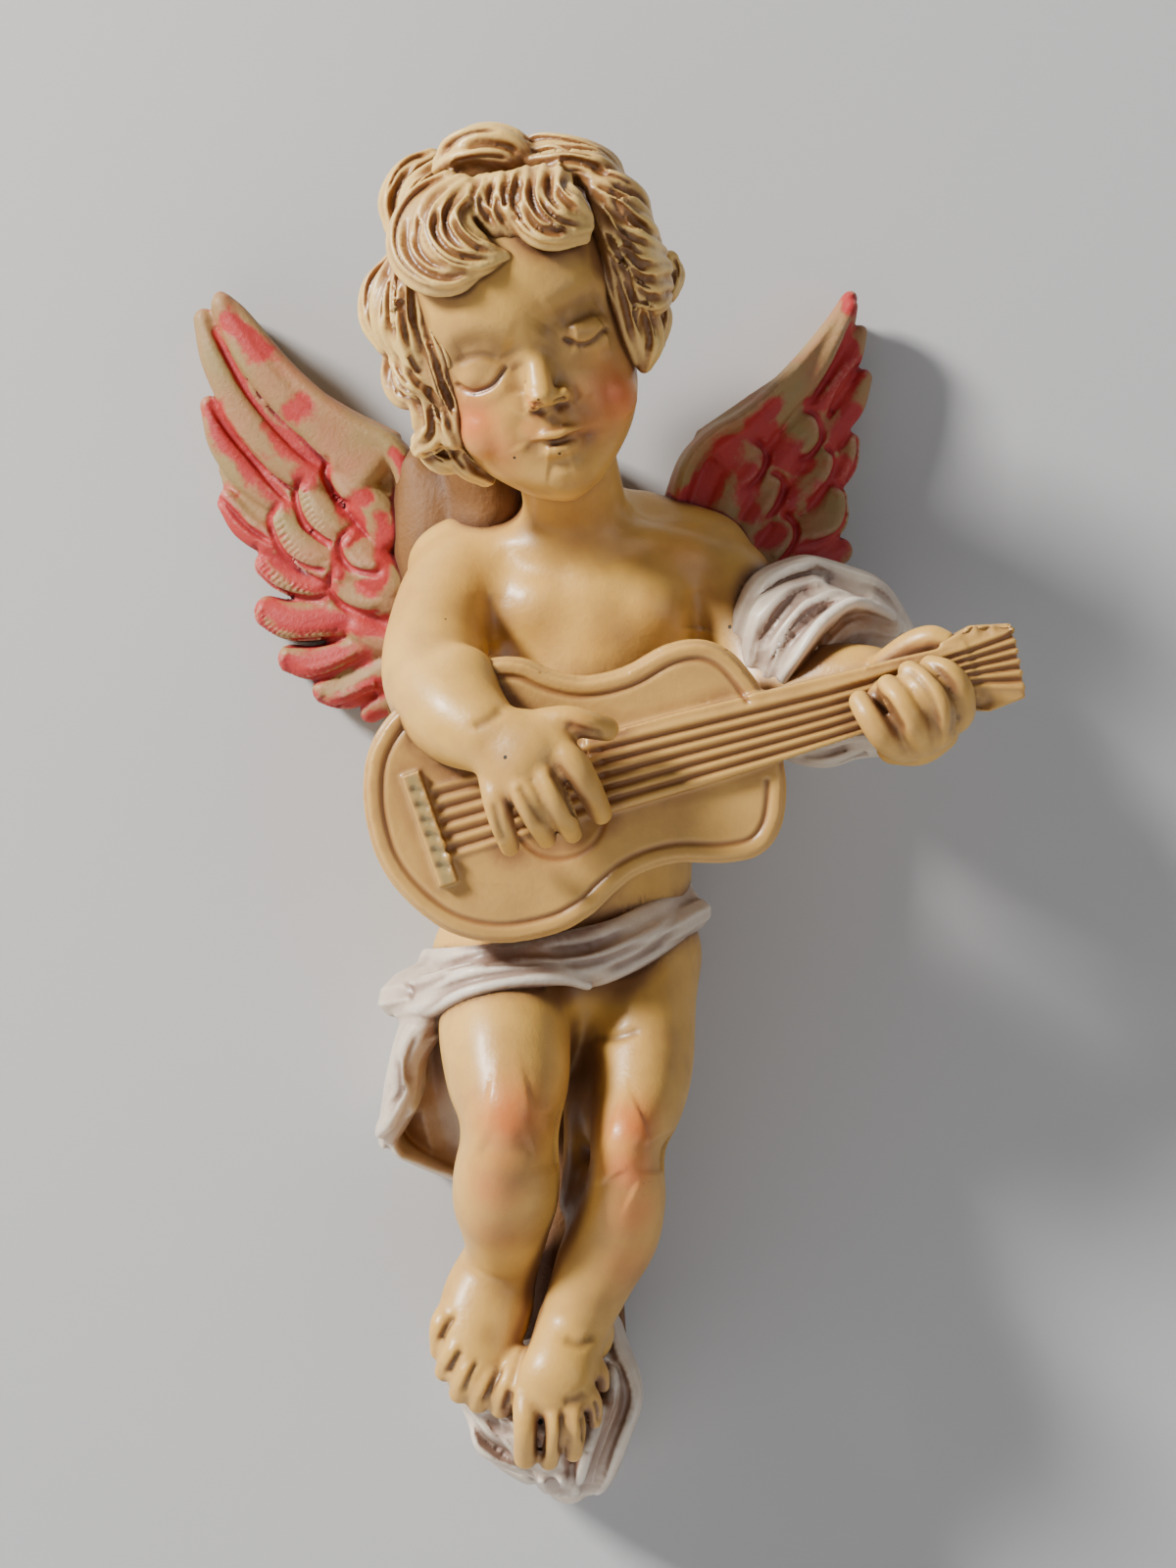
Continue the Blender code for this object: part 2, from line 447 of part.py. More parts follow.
def back_locks(lobes=0, lobe_depth=0.3, sides=14):
    """Plainer locks in rows round the back of the head, over a cap."""
    clay = [ball((0, -4, 9), (17.8, 19.5, 18.4), sides=40)]
    for row, (lift, count) in enumerate([(62, 7), (38, 11), (14, 13), (-10, 12), (-32, 9)]):
        for i in range(count):
            turn = math.radians(78 + (204 / (count - 1)) * i + 8 * (row % 2))
            line = []
            for s, r in ((0.0, 2.6), (0.34, 3.3), (0.67, 3.1), (1.0, 1.8)):
                a = turn + 0.3 * math.sin(3.0 * s + row) * (-1) ** i
                e = math.radians(lift) + 0.25 - 0.62 * s
                line.append((17 * math.cos(e) * math.sin(a), 20.5 * math.cos(e) * math.cos(a) - 3,
                17.4 * math.sin(e) + 9, r))
            facing = (math.sin(turn), -math.cos(turn), 0.2)
            clay.append(tube(line, sides=sides, lobes=lobes, lobe_depth=lobe_depth, facing=facing))
    return moved(clay, head_frame())


def feathers(rows, facing, sides):
    """Flat blades down to the wall, each from its tip to its root."""
    clay = []
    for row in rows:
        row = np.asarray(row, float)
        clay.append(tube(row, facing=facing, sides=sides))
        under = row.copy()
        under[:, 1] = row[:, 1] / 2 - 0.5
        under[:, 3] = row[:, 3] * 0.94
        under[:, 4] = row[:, 1] / 2 + 0.5
        clay.append(tube(under, sides=sides))
    return clay


def wing_left(sides=12):
    """The wing on the viewer's left: flight feathers, coverts and the leading edge."""
    flight = [
        [(-60.4, 9.5, 48.8, 2.2, 2.6), (-54.4, 10.5, 40, 3.5, 2.6), (-48.2, 11, 32.8, 4, 2.6),
         (-41.3, 11.5, 27.2, 4.8, 2.6), (-33.2, 12, 21.3, 6.5, 2.6)],
        [(-63.9, 7.5, 46.6, 2.1, 2.4), (-61.4, 8.5, 39.3, 3.1, 2.4), (-56.7, 9, 31, 3.6, 2.4),
         (-50.8, 9.5, 23.9, 3.8, 2.4), (-43.7, 10, 18.2, 3.8, 2.4)],
        [(-63.2, 6.5, 31.7, 1.8, 2.3), (-60.7, 7, 25.4, 2.9, 2.3), (-56.5, 7.5, 19.8, 3.2, 2.3),
         (-50.8, 8, 15.3, 3.2, 2.3), (-44.7, 8.5, 11.8, 3.2, 2.3)],
        [(-59.7, 6, 14.8, 2.4, 2.2), (-56.5, 6.5, 10.8, 3.1, 2.2), (-51.8, 7, 7.8, 3.1, 2.2),
         (-46.5, 7.5, 5.5, 3, 2.2)],
        [(-53.2, 6.5, 3.5, 2.2, 2.4), (-49.5, 7, 1.3, 2.9, 2.4), (-43.6, 7.5, -0.5, 2.9, 2.4),
         (-38.7, 8, -1.2, 2.9, 2.4)],
        [(-52.9, 6, -4.5, 2.9, 2.6), (-48, 7, -6.2, 3.7, 2.6), (-41, 7.5, -5.9, 3.5, 2.6),
         (-34.4, 8, -4.9, 3.3, 2.6)],
        [(-48.8, 6, -12.8, 2.5, 2.6), (-43.6, 7, -13.6, 3.3, 2.6), (-37.2, 7.5, -11.2, 3.3, 2.6),
         (-31, 8, -8.8, 3.2, 2.6)],
        [(-42.9, 6, -18.4, 2.3, 2.6), (-38.8, 7, -18.8, 3.1, 2.6), (-33.1, 7.5, -15.7, 3.1, 2.6),
         (-28.4, 8, -12.9, 3, 2.6)],
        [(-34.9, 6, -22.5, 1.8, 2.4), (-32.5, 6.5, -20.5, 2.6, 2.4), (-29.3, 7, -17.7, 2.8, 2.4)],
    ]
    coverts = [
        [(-39.8, 10.5, 19.8, 2.2, 2.4), (-37.2, 11.5, 16.6, 3.2, 2.4), (-33.7, 12, 12.8, 3.5, 2.4),
         (-30.6, 12, 8.5, 3.5, 2.4)],
        [(-45.3, 9.5, 16.5, 2.4, 2.4), (-42.8, 10.5, 12.5, 3.3, 2.4), (-39.4, 11, 8.6, 3.3, 2.4),
         (-35.5, 11, 5, 3, 2.4)],
        [(-50, 8.5, 11.6, 2.6, 2.4), (-46.1, 9.5, 6.9, 3.6, 2.4), (-42.3, 10, 4.1, 3.5, 2.4),
         (-38, 10, 1.9, 3, 2.4)],
        [(-38, 10.5, 8.2, 2.6, 2.4), (-35.5, 11.5, 4.7, 3.7, 2.4), (-32.7, 12, 1.9, 3.8, 2.4),
         (-29.8, 12, -0.5, 3.5, 2.4)],
        [(-39.8, 9.5, 0.4, 2.6, 2.4), (-35.2, 10.5, -2.1, 3.4, 2.4), (-31.1, 11, -2.5, 3.3, 2.4),
         (-28.2, 11, -1.8, 3, 2.4)],
        [(-36.4, 9, -7.8, 2.6, 2.4), (-32.9, 9.5, -9.2, 2.9, 2.4), (-29.4, 10, -10.1, 2.9, 2.4)],
    ]
    edge = [(-60.8, 9, 49.9, 1.5, 1.9), (-57.2, 10, 46.6, 1.7, 2), (-50.1, 11, 38.1, 1.8, 2.1),
            (-43.1, 12, 31.4, 1.9, 2.1), (-36.7, 12.5, 26.9, 2, 2.2),
            (-31.1, 13, 23.9, 2.1, 2.2), (-28.4, 13, 19.8, 2.2, 2.3), (-27.2, 12.5, 14.5, 2.3, 2.4),
            (-26.9, 12, 6.7, 2.4, 2.4), (-27.6, 11, -2.5, 2.5, 2.5)]
    web = [(-31.3, 4, 20.6, 5, 8), (-30.4, 4, 10.2, 5, 8), (-31.3, 4, -0.2, 5, 8), (-30.4, 4, -10.7, 4, 7)]
    return feathers(flight + coverts, (-0.15, -1, 0.32), sides) + [tube(edge, sides=sides), tube(web,
    sides=sides)]


def wing_right(sides=12):
    """The wing on the viewer's right, seen against its thick leading edge."""
    flight = [
        [(49.4, 8.5, 48.6, 1.4, 2.4), (47.8, 9.5, 44.7, 2.2, 2.4), (43.7, 11, 39.1, 2.8, 2.4),
         (39, 12, 34.1, 3.2, 2.4), (33.3, 13, 28.9, 4.2, 2.4), (26.5, 13, 22.1, 6, 2.4)],
        [(51.2, 7, 44.4, 1.5, 2.2), (49.7, 7.5, 40.7, 2.3, 2.2), (46.7, 8.5, 36.4, 2.8, 2.2),
         (43.7, 9.5, 32, 2.8, 2.2), (39.5, 10, 27.1, 2.8, 2.2)],
        [(52, 6, 36.6, 1.7, 2.2), (50, 6.5, 32.2, 2.6, 2.2), (47.1, 7.5, 28.6, 2.8, 2.2),
         (44.5, 8.5, 24.9, 2.8, 2.2), (41, 9, 20.9, 2.8, 2.2)],
        [(49.7, 6, 25.2, 1.9, 2.2), (48.4, 6.5, 21.7, 2.8, 2.2), (45.8, 7, 18.5, 2.9, 2.2),
         (42.3, 8, 15, 2.8, 2.2)],
        [(47.8, 6.5, 6.1, 2.5, 2.4), (44.2, 7.5, 4.7, 3.3, 2.4), (40, 8, 3.2, 3.2, 2.4),
         (36.2, 8.5, 2, 3, 2.4)],
        [(47.5, 6, 0.3, 2.5, 2.4), (43.3, 6.5, -1.5, 3.3, 2.4), (38, 7, -2.5, 3.2, 2.4)],
    ]
    coverts = [
        [(42.3, 10, 28.1, 2.8, 2.3), (39.6, 10.5, 24.8, 3.7, 2.3), (36.9, 11, 21.1, 3.7, 2.3),
         (33.4, 11.5, 16.6, 3.4, 2.3)],
        [(45.7, 8.5, 22.5, 2, 2.3), (43.2, 9.5, 18.7, 2.8, 2.3), (39.9, 10, 15.4, 2.9, 2.3),
         (36, 10.5, 12.6, 2.8, 2.3)],
        [(46.7, 8, 15.3, 2.5, 2.4), (45.8, 8.5, 11.8, 3.6, 2.4), (42, 9.5, 8.8, 3.7, 2.4),
         (37.8, 10, 6.8, 3.4, 2.4)],
        [(32.6, 11.5, 23.5, 2.6, 2.3), (30.8, 12.5, 19.6, 3.7, 2.3), (28.7, 13, 15.4, 3.7, 2.3),
         (26.5, 13, 11, 3.4, 2.3)],
        [(35.9, 10.5, 17.8, 1.9, 2.3), (33.9, 11.5, 13.9, 2.7, 2.3), (32, 12, 10.4, 2.8, 2.3),
         (30, 12, 6.8, 2.8, 2.3)],
        [(37.7, 9.5, 10.5, 2.5, 2.4), (36.2, 10.5, 6.8, 3.5, 2.4), (32.9, 11, 3.7, 3.5, 2.4),
         (29.5, 11, 0.9, 3.2, 2.4)],
    ]
    edge = [(49.5, 6, 50.3, 1.5, 3.5), (46.5, 7, 45.5, 1.7, 4.5), (40.5, 9, 37.9, 1.9, 6),
            (34.9, 10, 32.2, 2, 7), (30, 11, 28, 2.1, 8),
            (25.2, 11, 25.1, 2.2, 8.5), (21.8, 11, 21.6, 2.3, 8.8), (20, 10, 17.3, 2.4, 8.8),
            (18.8, 9, 11.4, 2.5, 8.5), (20.7, 8, 3.8, 3, 8)]
    web = [(26.1, 4, 17.2, 5, 8), (26.1, 4, 6.7, 7, 8), (33.1, 4, 1.5, 7, 7)]
    return feathers(flight + coverts, (0.25, -1, 0.1), sides) + [tube(edge, sides=sides), tube(web,
    sides=sides)]


def guitar_frame():
    """Guitar-local x along the neck, out from its face and z across, about the middle of the lower bout."""
    x, out, z = GUITAR_CENTRE
    lift = Matrix.Rotation(math.radians(-GUITAR_RISE), 4, "Y")
    return Matrix.Translation((x, -out, z)) @ Matrix.Rotation(math.radians(GUITAR_LEAN), 4, "X") @ lift


def guitar_outline(inset=0.0):
    """Closed line of the body: along the neck, half width above and half width below."""
    stations = [
        (-20.3, 0.0, 0.0), (-19.6, 6.8, 5.6), (-17.0, 13.5, 11.6), (-12.0, 18.4, 17.8),
        (-4.5, 21.6, 21.6), (4.5, 22.9, 22.4),
        (10.5, 21.6, 21.0), (14.8, 18.4, 18.7), (19.6, 16.2, 16.6), (26.0, 16.0, 16.3),
        (33.0, 17.7, 18.2), (38.6, 17.3, 18.6),
        (42.6, 14.6, 16.4), (45.2, 10.0, 12.0), (46.6, 4.6, 5.8),
    ]
    rows = np.array(stations)
    line = np.vstack([rows[:, :2], np.column_stack([rows[:0:-1, 0], -rows[:0:-1, 2]])])
    loop = np.vstack([line[-1:], line, line[:2]])
    line = curve(loop, 4)[4:-4 - 1]
    side = unit(np.roll(line, -1, 0) - np.roll(line, 1, 0))
    return line + inset * np.stack([side[:, 1], -side[:, 0]], axis=-1)


def guitar():
    """Body, neck, headstock and bridge of the guitar."""
    body = guitar_outline(0.9)
    clay = [
        plate(guitar_outline(), -GUITAR_DEEP + 1.0, -0.9),
        plate(body, -GUITAR_DEEP, 0.0),
        strip([(17, 0.6), (32, 0.9), (61, 1.6), (79, 1.8)], [6.2, 6.1, 4.9, 4.4], -2.5, 1.6),
        strip([(45, 1.2), (62, 1.6), (77, 1.8)], [3.6, 3.2, 3.0], -6.0, 0.0),
        strip([(75, 1.6), (80.5, 1.5), (86.6, 1.2)], [5.4, 7.0, 6.0], -2.5, 1.2),
        strip([(-11.2, 9.0), (-11.4, 0.5), (-11.4, -8.4)], [1.6, 1.6, 1.6], -2, 1.5),
    ]
    return moved(clay, guitar_frame())


def folds(lines, sides):
    return [tube(line, sides=sides) for line in lines]


def waist_cloth(sides=12):
    """The cloth across the hips, its knot and its hanging end."""
    return folds([
        [(-23.7, 14, -70.3, 5, 12), (-13.1, 24, -67.5, 5, 12), (-0.6, 27, -65, 4.2, 11),
         (10.1, 25, -61.8, 4.2, 11), (18.7, 18, -58.2, 3.5, 9)],
        # folds from hip to hip
        [(-24.4, 14, -66.4, 1.6, 3), (-18, 26, -64.7, 1.5, 2.5), (-9, 34, -62.9, 1.5, 2.4),
         (-4.7, 36, -61.8, 1.5, 2.2), (1.9, 37, -60.8, 1.5, 2.2), (8.7, 36, -59.2, 1.5, 2.4),
         (15.3, 30, -56, 1.5, 2.4), (20, 19, -52.8, 1.5, 2)],
        [(-26.2, 14, -69.7, 1.8, 3), (-21.6, 24, -67, 1.7, 2.5), (-13.8, 34, -65, 1.6, 2.4),
         (-4.4, 37.5, -64.6, 1.4, 2.2), (0.1, 38, -64.2, 1.2, 2), (6.7, 37.5, -62.7, 1.4, 2.2),
         (13.9, 33, -59.4, 1.5, 2.4), (20.6, 20, -54.8, 1.7, 2)],
        [(-26.8, 20, -71, 1.9, 3), (-22.5, 28, -69.2, 1.9, 2.6), (-15.9, 35, -67, 1.9, 2.5),
         (-7.7, 38, -66.2, 1.8, 2.3), (-0.5, 38.5, -65.8, 1.6, 2.2), (6.7, 37.5, -64.6, 1.4, 2.2),
         (13.9, 33, -61.7, 1.5, 2.4), (20.8, 20, -57.1, 1.6, 2)],
        [(-26.9, 22, -73.4, 1.9, 3), (-22.8, 29, -71.8, 2, 3), (-15.9, 36, -68.9, 1.6, 2.4),
         (-7.7, 38, -67.3, 1.3, 2.2), (-0.5, 38, -67, 1.1, 2), (3.2, 36.5, -68, 0.9, 2)],
        [(3, 36.5, -67.7, 1, 2), (6.7, 36.5, -66.4, 1.4, 2.2), (12.4, 33, -63.9, 1.5, 2.4),
         (17.5, 26, -61.1, 1.5, 2.4), (20.3, 20, -59.5, 1.4, 2)],
        # the gathered knot at the hip
        [(-24.6, 16, -67.5, 1.8, 3), (-26.7, 19, -68.6, 1.9, 3), (-27.7, 20, -69.7, 1.8, 3)],
        [(-24, 25, -70.1, 2, 3), (-26.1, 24, -71.2, 2.1, 3), (-27.2, 22, -72.5, 1.9, 3)],
        [(-22.5, 28, -71.5, 2, 3), (-24.5, 27, -73.3, 2.1, 3), (-26.2, 24, -75.2, 1.9, 3)],
        # the hanging end
        [(-22.8, 29, -73.7, 2.2, 3), (-25.4, 28, -77.1, 2.4, 3.4), (-27.4, 26, -81.9, 2.2, 4),
         (-27.7, 24, -86.1, 2.2, 4), (-29.3, 21, -90.5, 2, 5), (-30.9, 18, -93.1, 1.6, 4)],
        [(-26, 20, -74.6, 2.2, 9), (-27.7, 18, -79.1, 2, 10), (-29.3, 14, -85, 2, 10),
         (-30.4, 11, -90.4, 2, 9), (-31.2, 9, -94.5, 1.8, 8)],
        [(-21.6, 26, -75.7, 1.4, 5), (-24.8, 23, -80.3, 1.6, 6), (-26, 20, -85.3, 1.6, 7),
         (-26.5, 18, -88.2, 1.6, 7), (-29.1, 14, -93.1, 1.8, 7)],
        [(-31.2, 12, -94.1, 1.4, 7), (-29.4, 10, -97.8, 1.5, 7), (-25.4, 8, -100.8, 1.5, 6),
         (-20.4, 6, -103.2, 1.5, 5)],
        [(-29.3, 3, -92.8, 4, 7), (-26.1, 3, -97.7, 4, 6), (-21.2, 3, -100.5, 4, 6)],
        [(-24.3, 4, -76.7, 5, 9), (-26.1, 4, -87.2, 5, 8), (-24.3, 4, -97.6, 5, 6)],
        [(-19.1, 4, -75, 6, 12), (-20, 4, -87.2, 6, 8), (-18.3, 3, -100.3, 5, 6)],
    ], sides)


def sleeve_cloth(sides=12):
    """The cloth over the viewer-right arm and hanging below the neck of the guitar."""
    return folds([
        [(28.7, 24, -11.4, 2.4, 5), (30.2, 27, -6.6, 2.8, 6), (32.4, 28, -2.4, 2.8, 7),
         (36.6, 26, 0, 2.8, 8), (40.7, 24, 0.9, 2.8, 8), (46.9, 22, -0.5, 2.8, 8),
         (51.6, 20, -2.1, 2.6, 8), (55, 18, -5.4, 2.4, 8), (57.4, 18, -8.9, 2.2, 7)],
        [(31.1, 28, -14.6, 2.4, 5), (32.2, 32, -9.9, 2.8, 6), (34.4, 33, -6.1, 2.8, 6),
         (37.4, 32, -3.7, 2.6, 6), (41.5, 30, -2.6, 2.6, 6), (45.9, 28, -3.1, 2.6, 6),
         (50.5, 25, -4.7, 2.4, 6), (54.2, 22, -7.3, 2, 6)],
        [(33.3, 30, -17.6, 2.4, 5), (34.6, 34, -13.3, 2.6, 5), (36.4, 36, -9.2, 2.6, 5),
         (39.4, 35, -6.2, 2.4, 5), (43.5, 33, -4.4, 2.2, 5), (47.9, 31, -4.6, 2.2, 5),
         (52.2, 28, -6.1, 1.8, 4)],
        [(34.6, 30, -19.6, 2.2, 5), (36.5, 35, -16.9, 2.4, 4), (38.2, 38, -13.2, 2.4, 4),
         (40.8, 38, -9.3, 2.2, 4), (44.8, 36, -6.3, 1.8, 4), (48.3, 34, -5.2, 1.4, 3)],
        [(30.3, 20, -12.9, 2.4, 8), (32, 20, -7.5, 3, 9), (34.7, 20, -3.5, 3, 9)],
        # below the neck of the guitar
        [(36.9, 26, -28.7, 2.2, 6), (40.4, 27, -30.1, 2, 6), (44, 28, -30.4, 1.9, 6),
         (47.9, 28, -29.2, 1.8, 6), (52.3, 27, -28.7, 1.8, 6)],
        [(37.6, 30, -26.5, 2.4, 5), (42, 31, -28, 2.3, 5), (47.6, 31, -27, 2.2, 5), (52.9, 30, -27, 2, 5)],
        [(36.9, 26, -24.4, 3.2, 7), (43.1, 27, -25.1, 3.2, 7), (49.7, 27, -24.3, 3, 7)],
        # plain mass behind the arm, narrowing to the wall
        [(45.2, 22, -15, 13, 11), (41.9, 12, -14.5, 12, 11), (38.4, 2, -14, 11, 8)],
        [(44.9, 16, -6.2, 7, 8), (40.5, 8, -7.4, 7, 8), (36.8, 1, -7, 7, 6)],
        [(45.4, 20, -23.3, 6, 8), (42.1, 10, -22.1, 6, 8), (38.5, 1, -21, 6, 6)],
        [(32.7, 10, -16.1, 12, 11), (20.7, 10, -17.8, 12, 11)],
    ], sides)


def base_cloth(sides=12):
    """The cloth under the feet."""
    return folds([
        [(7.9, 16, -128.4, 1.6, 8), (9.2, 20, -132.2, 1.8, 9), (10.5, 22, -135.8, 2, 9),
         (10.7, 23, -139.5, 2, 9), (8.5, 24, -144.9, 2, 9), (7, 22, -150.1, 2, 6),
         (5.4, 18, -154.6, 1.8, 3)],
        [(6.5, 24, -133, 2, 7), (7.8, 27, -137.2, 2.2, 7), (6.3, 28, -142.2, 2.2, 7),
         (4.5, 27, -147.8, 2.2, 5), (3.5, 22, -153.1, 2, 3)],
        [(4.5, 29, -140, 2.2, 7), (3.5, 30, -144.7, 2.2, 7), (1.9, 27, -150.1, 2, 4),
         (1.2, 22, -153.8, 2, 3)],
        [(-0.6, 30, -148, 1.8, 5), (-1.1, 27, -151.1, 1.8, 3), (-1.5, 21, -154.4, 1.8, 2.5)],
        [(-3.4, 28, -148.5, 2, 5), (-3.8, 25, -151.3, 2, 3), (-3.5, 20, -154, 2, 2.5)],
        [(-16.1, 20, -140.6, 1.6, 8), (-14.8, 23, -143.2, 1.7, 8), (-13.1, 25, -146.3, 1.8, 8),
         (-9.4, 26, -148.4, 1.8, 6), (-5.9, 25, -150, 1.8, 4)],
        [(-13.8, 27, -139.9, 2.2, 8), (-10.9, 30, -143, 2.4, 6), (-7.9, 31, -145.1, 2.4, 5)],
        [(-10.9, 30, -139.1, 2.4, 8), (-8.5, 33, -140.6, 2.4, 6), (-6.3, 33, -143.6, 2.4, 5)],
        # the mass behind the folds
        [(-6.4, 28, -138.6, 6, 9), (-3.1, 28, -143.6, 6, 8), (-0.5, 22, -149.4, 5, 6)],
        [(-15.5, 22, -135.4, 4.5, 11), (-11.4, 24, -137.9, 5.5, 11), (-3.2, 22, -135.1, 8, 11)],
        [(2.8, 18, -131, 5, 11), (4.8, 20, -138.9, 5, 11)],
        [(-13.8, 6, -138.8, 4, 10), (-13.1, 7, -145.5, 4, 10), (-11, 8, -150.4, 4, 9),
         (-6, 9, -153.6, 4, 9)],
        [(-3.4, 6, -135.4, 9, 10), (-1.7, 7, -145.5, 10, 10), (-0.3, 8, -153.9, 7, 9),
         (0.1, 8, -156.6, 4.5, 8)],
        [(5.2, 6, -130.2, 4, 9), (7.6, 7, -138.6, 4, 10), (6.6, 8, -145.3, 4, 10),
         (4.5, 8, -152.2, 4.5, 9), (3.5, 8, -155.6, 4, 8)],
    ], sides)


def backing(sides=20):
    """Plain mass behind the neck, between the wings, and behind the legs."""
    return folds([
        [(1.8, 6, -62.7, 17, 9), (0, 6, -76.5, 16, 9), (-0.8, 6, -90.4, 14, 9),
         (-1.7, 6, -107.7, 12.5, 9), (-2.6, 6, -121.5, 12.5, 9), (-2.6, 6, -135.4, 13, 9)],
        [(-0.8, 10, -71, 9, 12), (0.4, 12, -86.2, 8, 12), (0.8, 12, -103.3, 8, 12),
         (-0.8, 12, -120.4, 8, 12), (-3.3, 14, -133.6, 8, 14)],
        [(0.1, 8, 1.2, 18, 10), (-3.4, 8, 9.8, 14, 10), (-4.6, 7, 16.8, 12, 9), (-5.5, 7, 22, 9, 8)],
        [(0.1, 10, 2.7, 14, 11), (-10.2, 10, 8.7, 12, 11), (-18.8, 10, 13, 9, 10), (-24.3, 9, 16.6, 6, 9)],
        [(-18.8, 10, 1, 11, 10), (-22.2, 10, 9.6, 9, 10), (-25.7, 9, 19.1, 5, 8)],
        [(10.4, 10, 1.9, 12, 11), (20.6, 11, 5.2, 10, 11), (22.7, 10, 11.3, 6, 9)],
        [(-16.5, 22, 23.4, 5, 9), (-14.3, 16, 17.4, 7, 12), (-13.6, 12, 11.1, 9, 12)],
        [(-19, 6, -0.4, 12, 9), (-17.3, 6, -14.2, 12, 9), (-12.1, 6, -28.1, 10, 9)],
        [(3.5, 5, -3.8, 18, 9), (4.2, 5, -28.1, 17.5, 9), (3.5, 5, -52.3, 18, 9), (0.9, 5, -66.2, 18, 9)],
    ], sides)


def figure():
    """Body, hands, feet and head, each stage smoothed before the next is added."""
    body = fused(torso() + arms() + legs(), GRAIN_BODY)
    body.relax(30, ridge=0.15)
    body = fused(body.clay() + palms() + feet(), GRAIN_FACE)
    body.relax(10)
    body = fused(body.clay() + fingers() + toes(), GRAIN_FACE)
    body.relax(3)
    soft, crisp = features()
    face = fused(moved(head(), head_frame()), GRAIN_FACE)
    face.relax(20)
    face = fused(face.clay() + moved(soft, head_frame()), GRAIN_FACE)
    face.relax(6)
    face = fused(face.clay() + moved(crisp, head_frame()), GRAIN_FACE)
    face.relax(2)
    return body.clay() + face.clay()


def inside(point, start, end):
    """Whether a point lies inside an odd number of the loops of edges from start to end."""
    over = (start[:, 1] > point[1]) != (end[:, 1] > point[1])
    start, end = start[over], end[over]
    cross = start[:, 0] + (point[1] - start[:, 1]) * (end[:, 0] - start[:, 0]) / (end[:, 1] - start[:, 1])
    return (cross > point[0]).sum() % 2 == 1


def keep_largest(shape):
    """Clear the skins of the small closed hollows inside the casting away."""
    left, bodies = set(shape.verts), []
    while left:
        todo = [left.pop()]
        body = set(todo)
        while todo:
            vert = todo.pop()
            near = {edge.other_vert(vert) for edge in vert.link_edges} & left
            left -= near
            body |= near
            todo += near
        bodies.append(body)
    bodies.sort(key=len)
    small = [vert for vert in shape.verts if vert not in bodies[-1]]
    bmesh.ops.delete(shape, geom=small, context="VERTS")


def flat_back(mesh):
    """Fill the back again as flat faces on the wall, with the blind hole for the nail in them."""
    shape = bmesh.new()
    shape.from_mesh(mesh)
    keep_largest(shape)
    everything = list(shape.verts) + list(shape.edges) + list(shape.faces)
    bmesh.ops.bisect_plane(shape, geom=everything, plane_co=(0, 0, 0), plane_no=(0, 1, 0), clear_outer=True)
    edge_verts = [vert for vert in shape.verts if vert.is_boundary]
    for vert in edge_verts:
        vert.co.y = 0
    bmesh.ops.remove_doubles(shape, verts=edge_verts, dist=0.05 * MM)
    rim = [edge for edge in shape.edges if edge.is_boundary]
    rings = []
    for deep in (0, NAIL_HOLE_DEEP):
        turns = [2 * math.pi * i / NAIL_HOLE_SIDES for i in range(NAIL_HOLE_SIDES)]
        x, z = NAIL_HOLE_AT
        r = NAIL_HOLE_WIDE / 2
        ring = [((x + r * math.cos(a)) * MM, -deep * MM, (z + r * math.sin(a)) * MM) for a in turns]
        rings.append([shape.verts.new(place) for place in ring])
    mouth = [shape.edges.new((rings[0][i - 1], rings[0][i])) for i in range(NAIL_HOLE_SIDES)]
    verts = list(dict.fromkeys(vert for edge in rim + mouth for vert in edge.verts))
    number = {vert: i for i, vert in enumerate(verts)}
    flat = [Vector((vert.co.x, vert.co.z)) for vert in verts]
    pairs = [[number[vert] for vert in edge.verts] for edge in rim + mouth]
    _, _, faces, source, _, _ = delaunay_2d_cdt(flat, pairs, [], 1, 1e-9)
    start, end = (np.array([flat[pair[i]] for pair in pairs]) for i in range(2))
    for face in faces:
        corners = [source[i][0] for i in face]
        if inside(np.mean([flat[i] for i in corners], axis=0), start, end):
            shape.faces.new([verts[i] for i in corners])
    for i in range(NAIL_HOLE_SIDES):
        shape.faces.new((rings[0][i - 1], rings[0][i], rings[1][i], rings[1][i - 1]))
    shape.faces.new(rings[1])
    bmesh.ops.triangulate(shape, faces=shape.faces)
    bmesh.ops.recalc_face_normals(shape, faces=shape.faces)
    shape.to_mesh(mesh)
    shape.free()


def resin():
    material = bpy.data.materials.new("painted_resin")
    material.use_nodes = True
    shader = material.node_tree.nodes["Principled BSDF"]
    shader.inputs["Base Color"].default_value = (0.72, 0.49, 0.26, 1)
    shader.inputs["Roughness"].default_value = 0.4
    return material


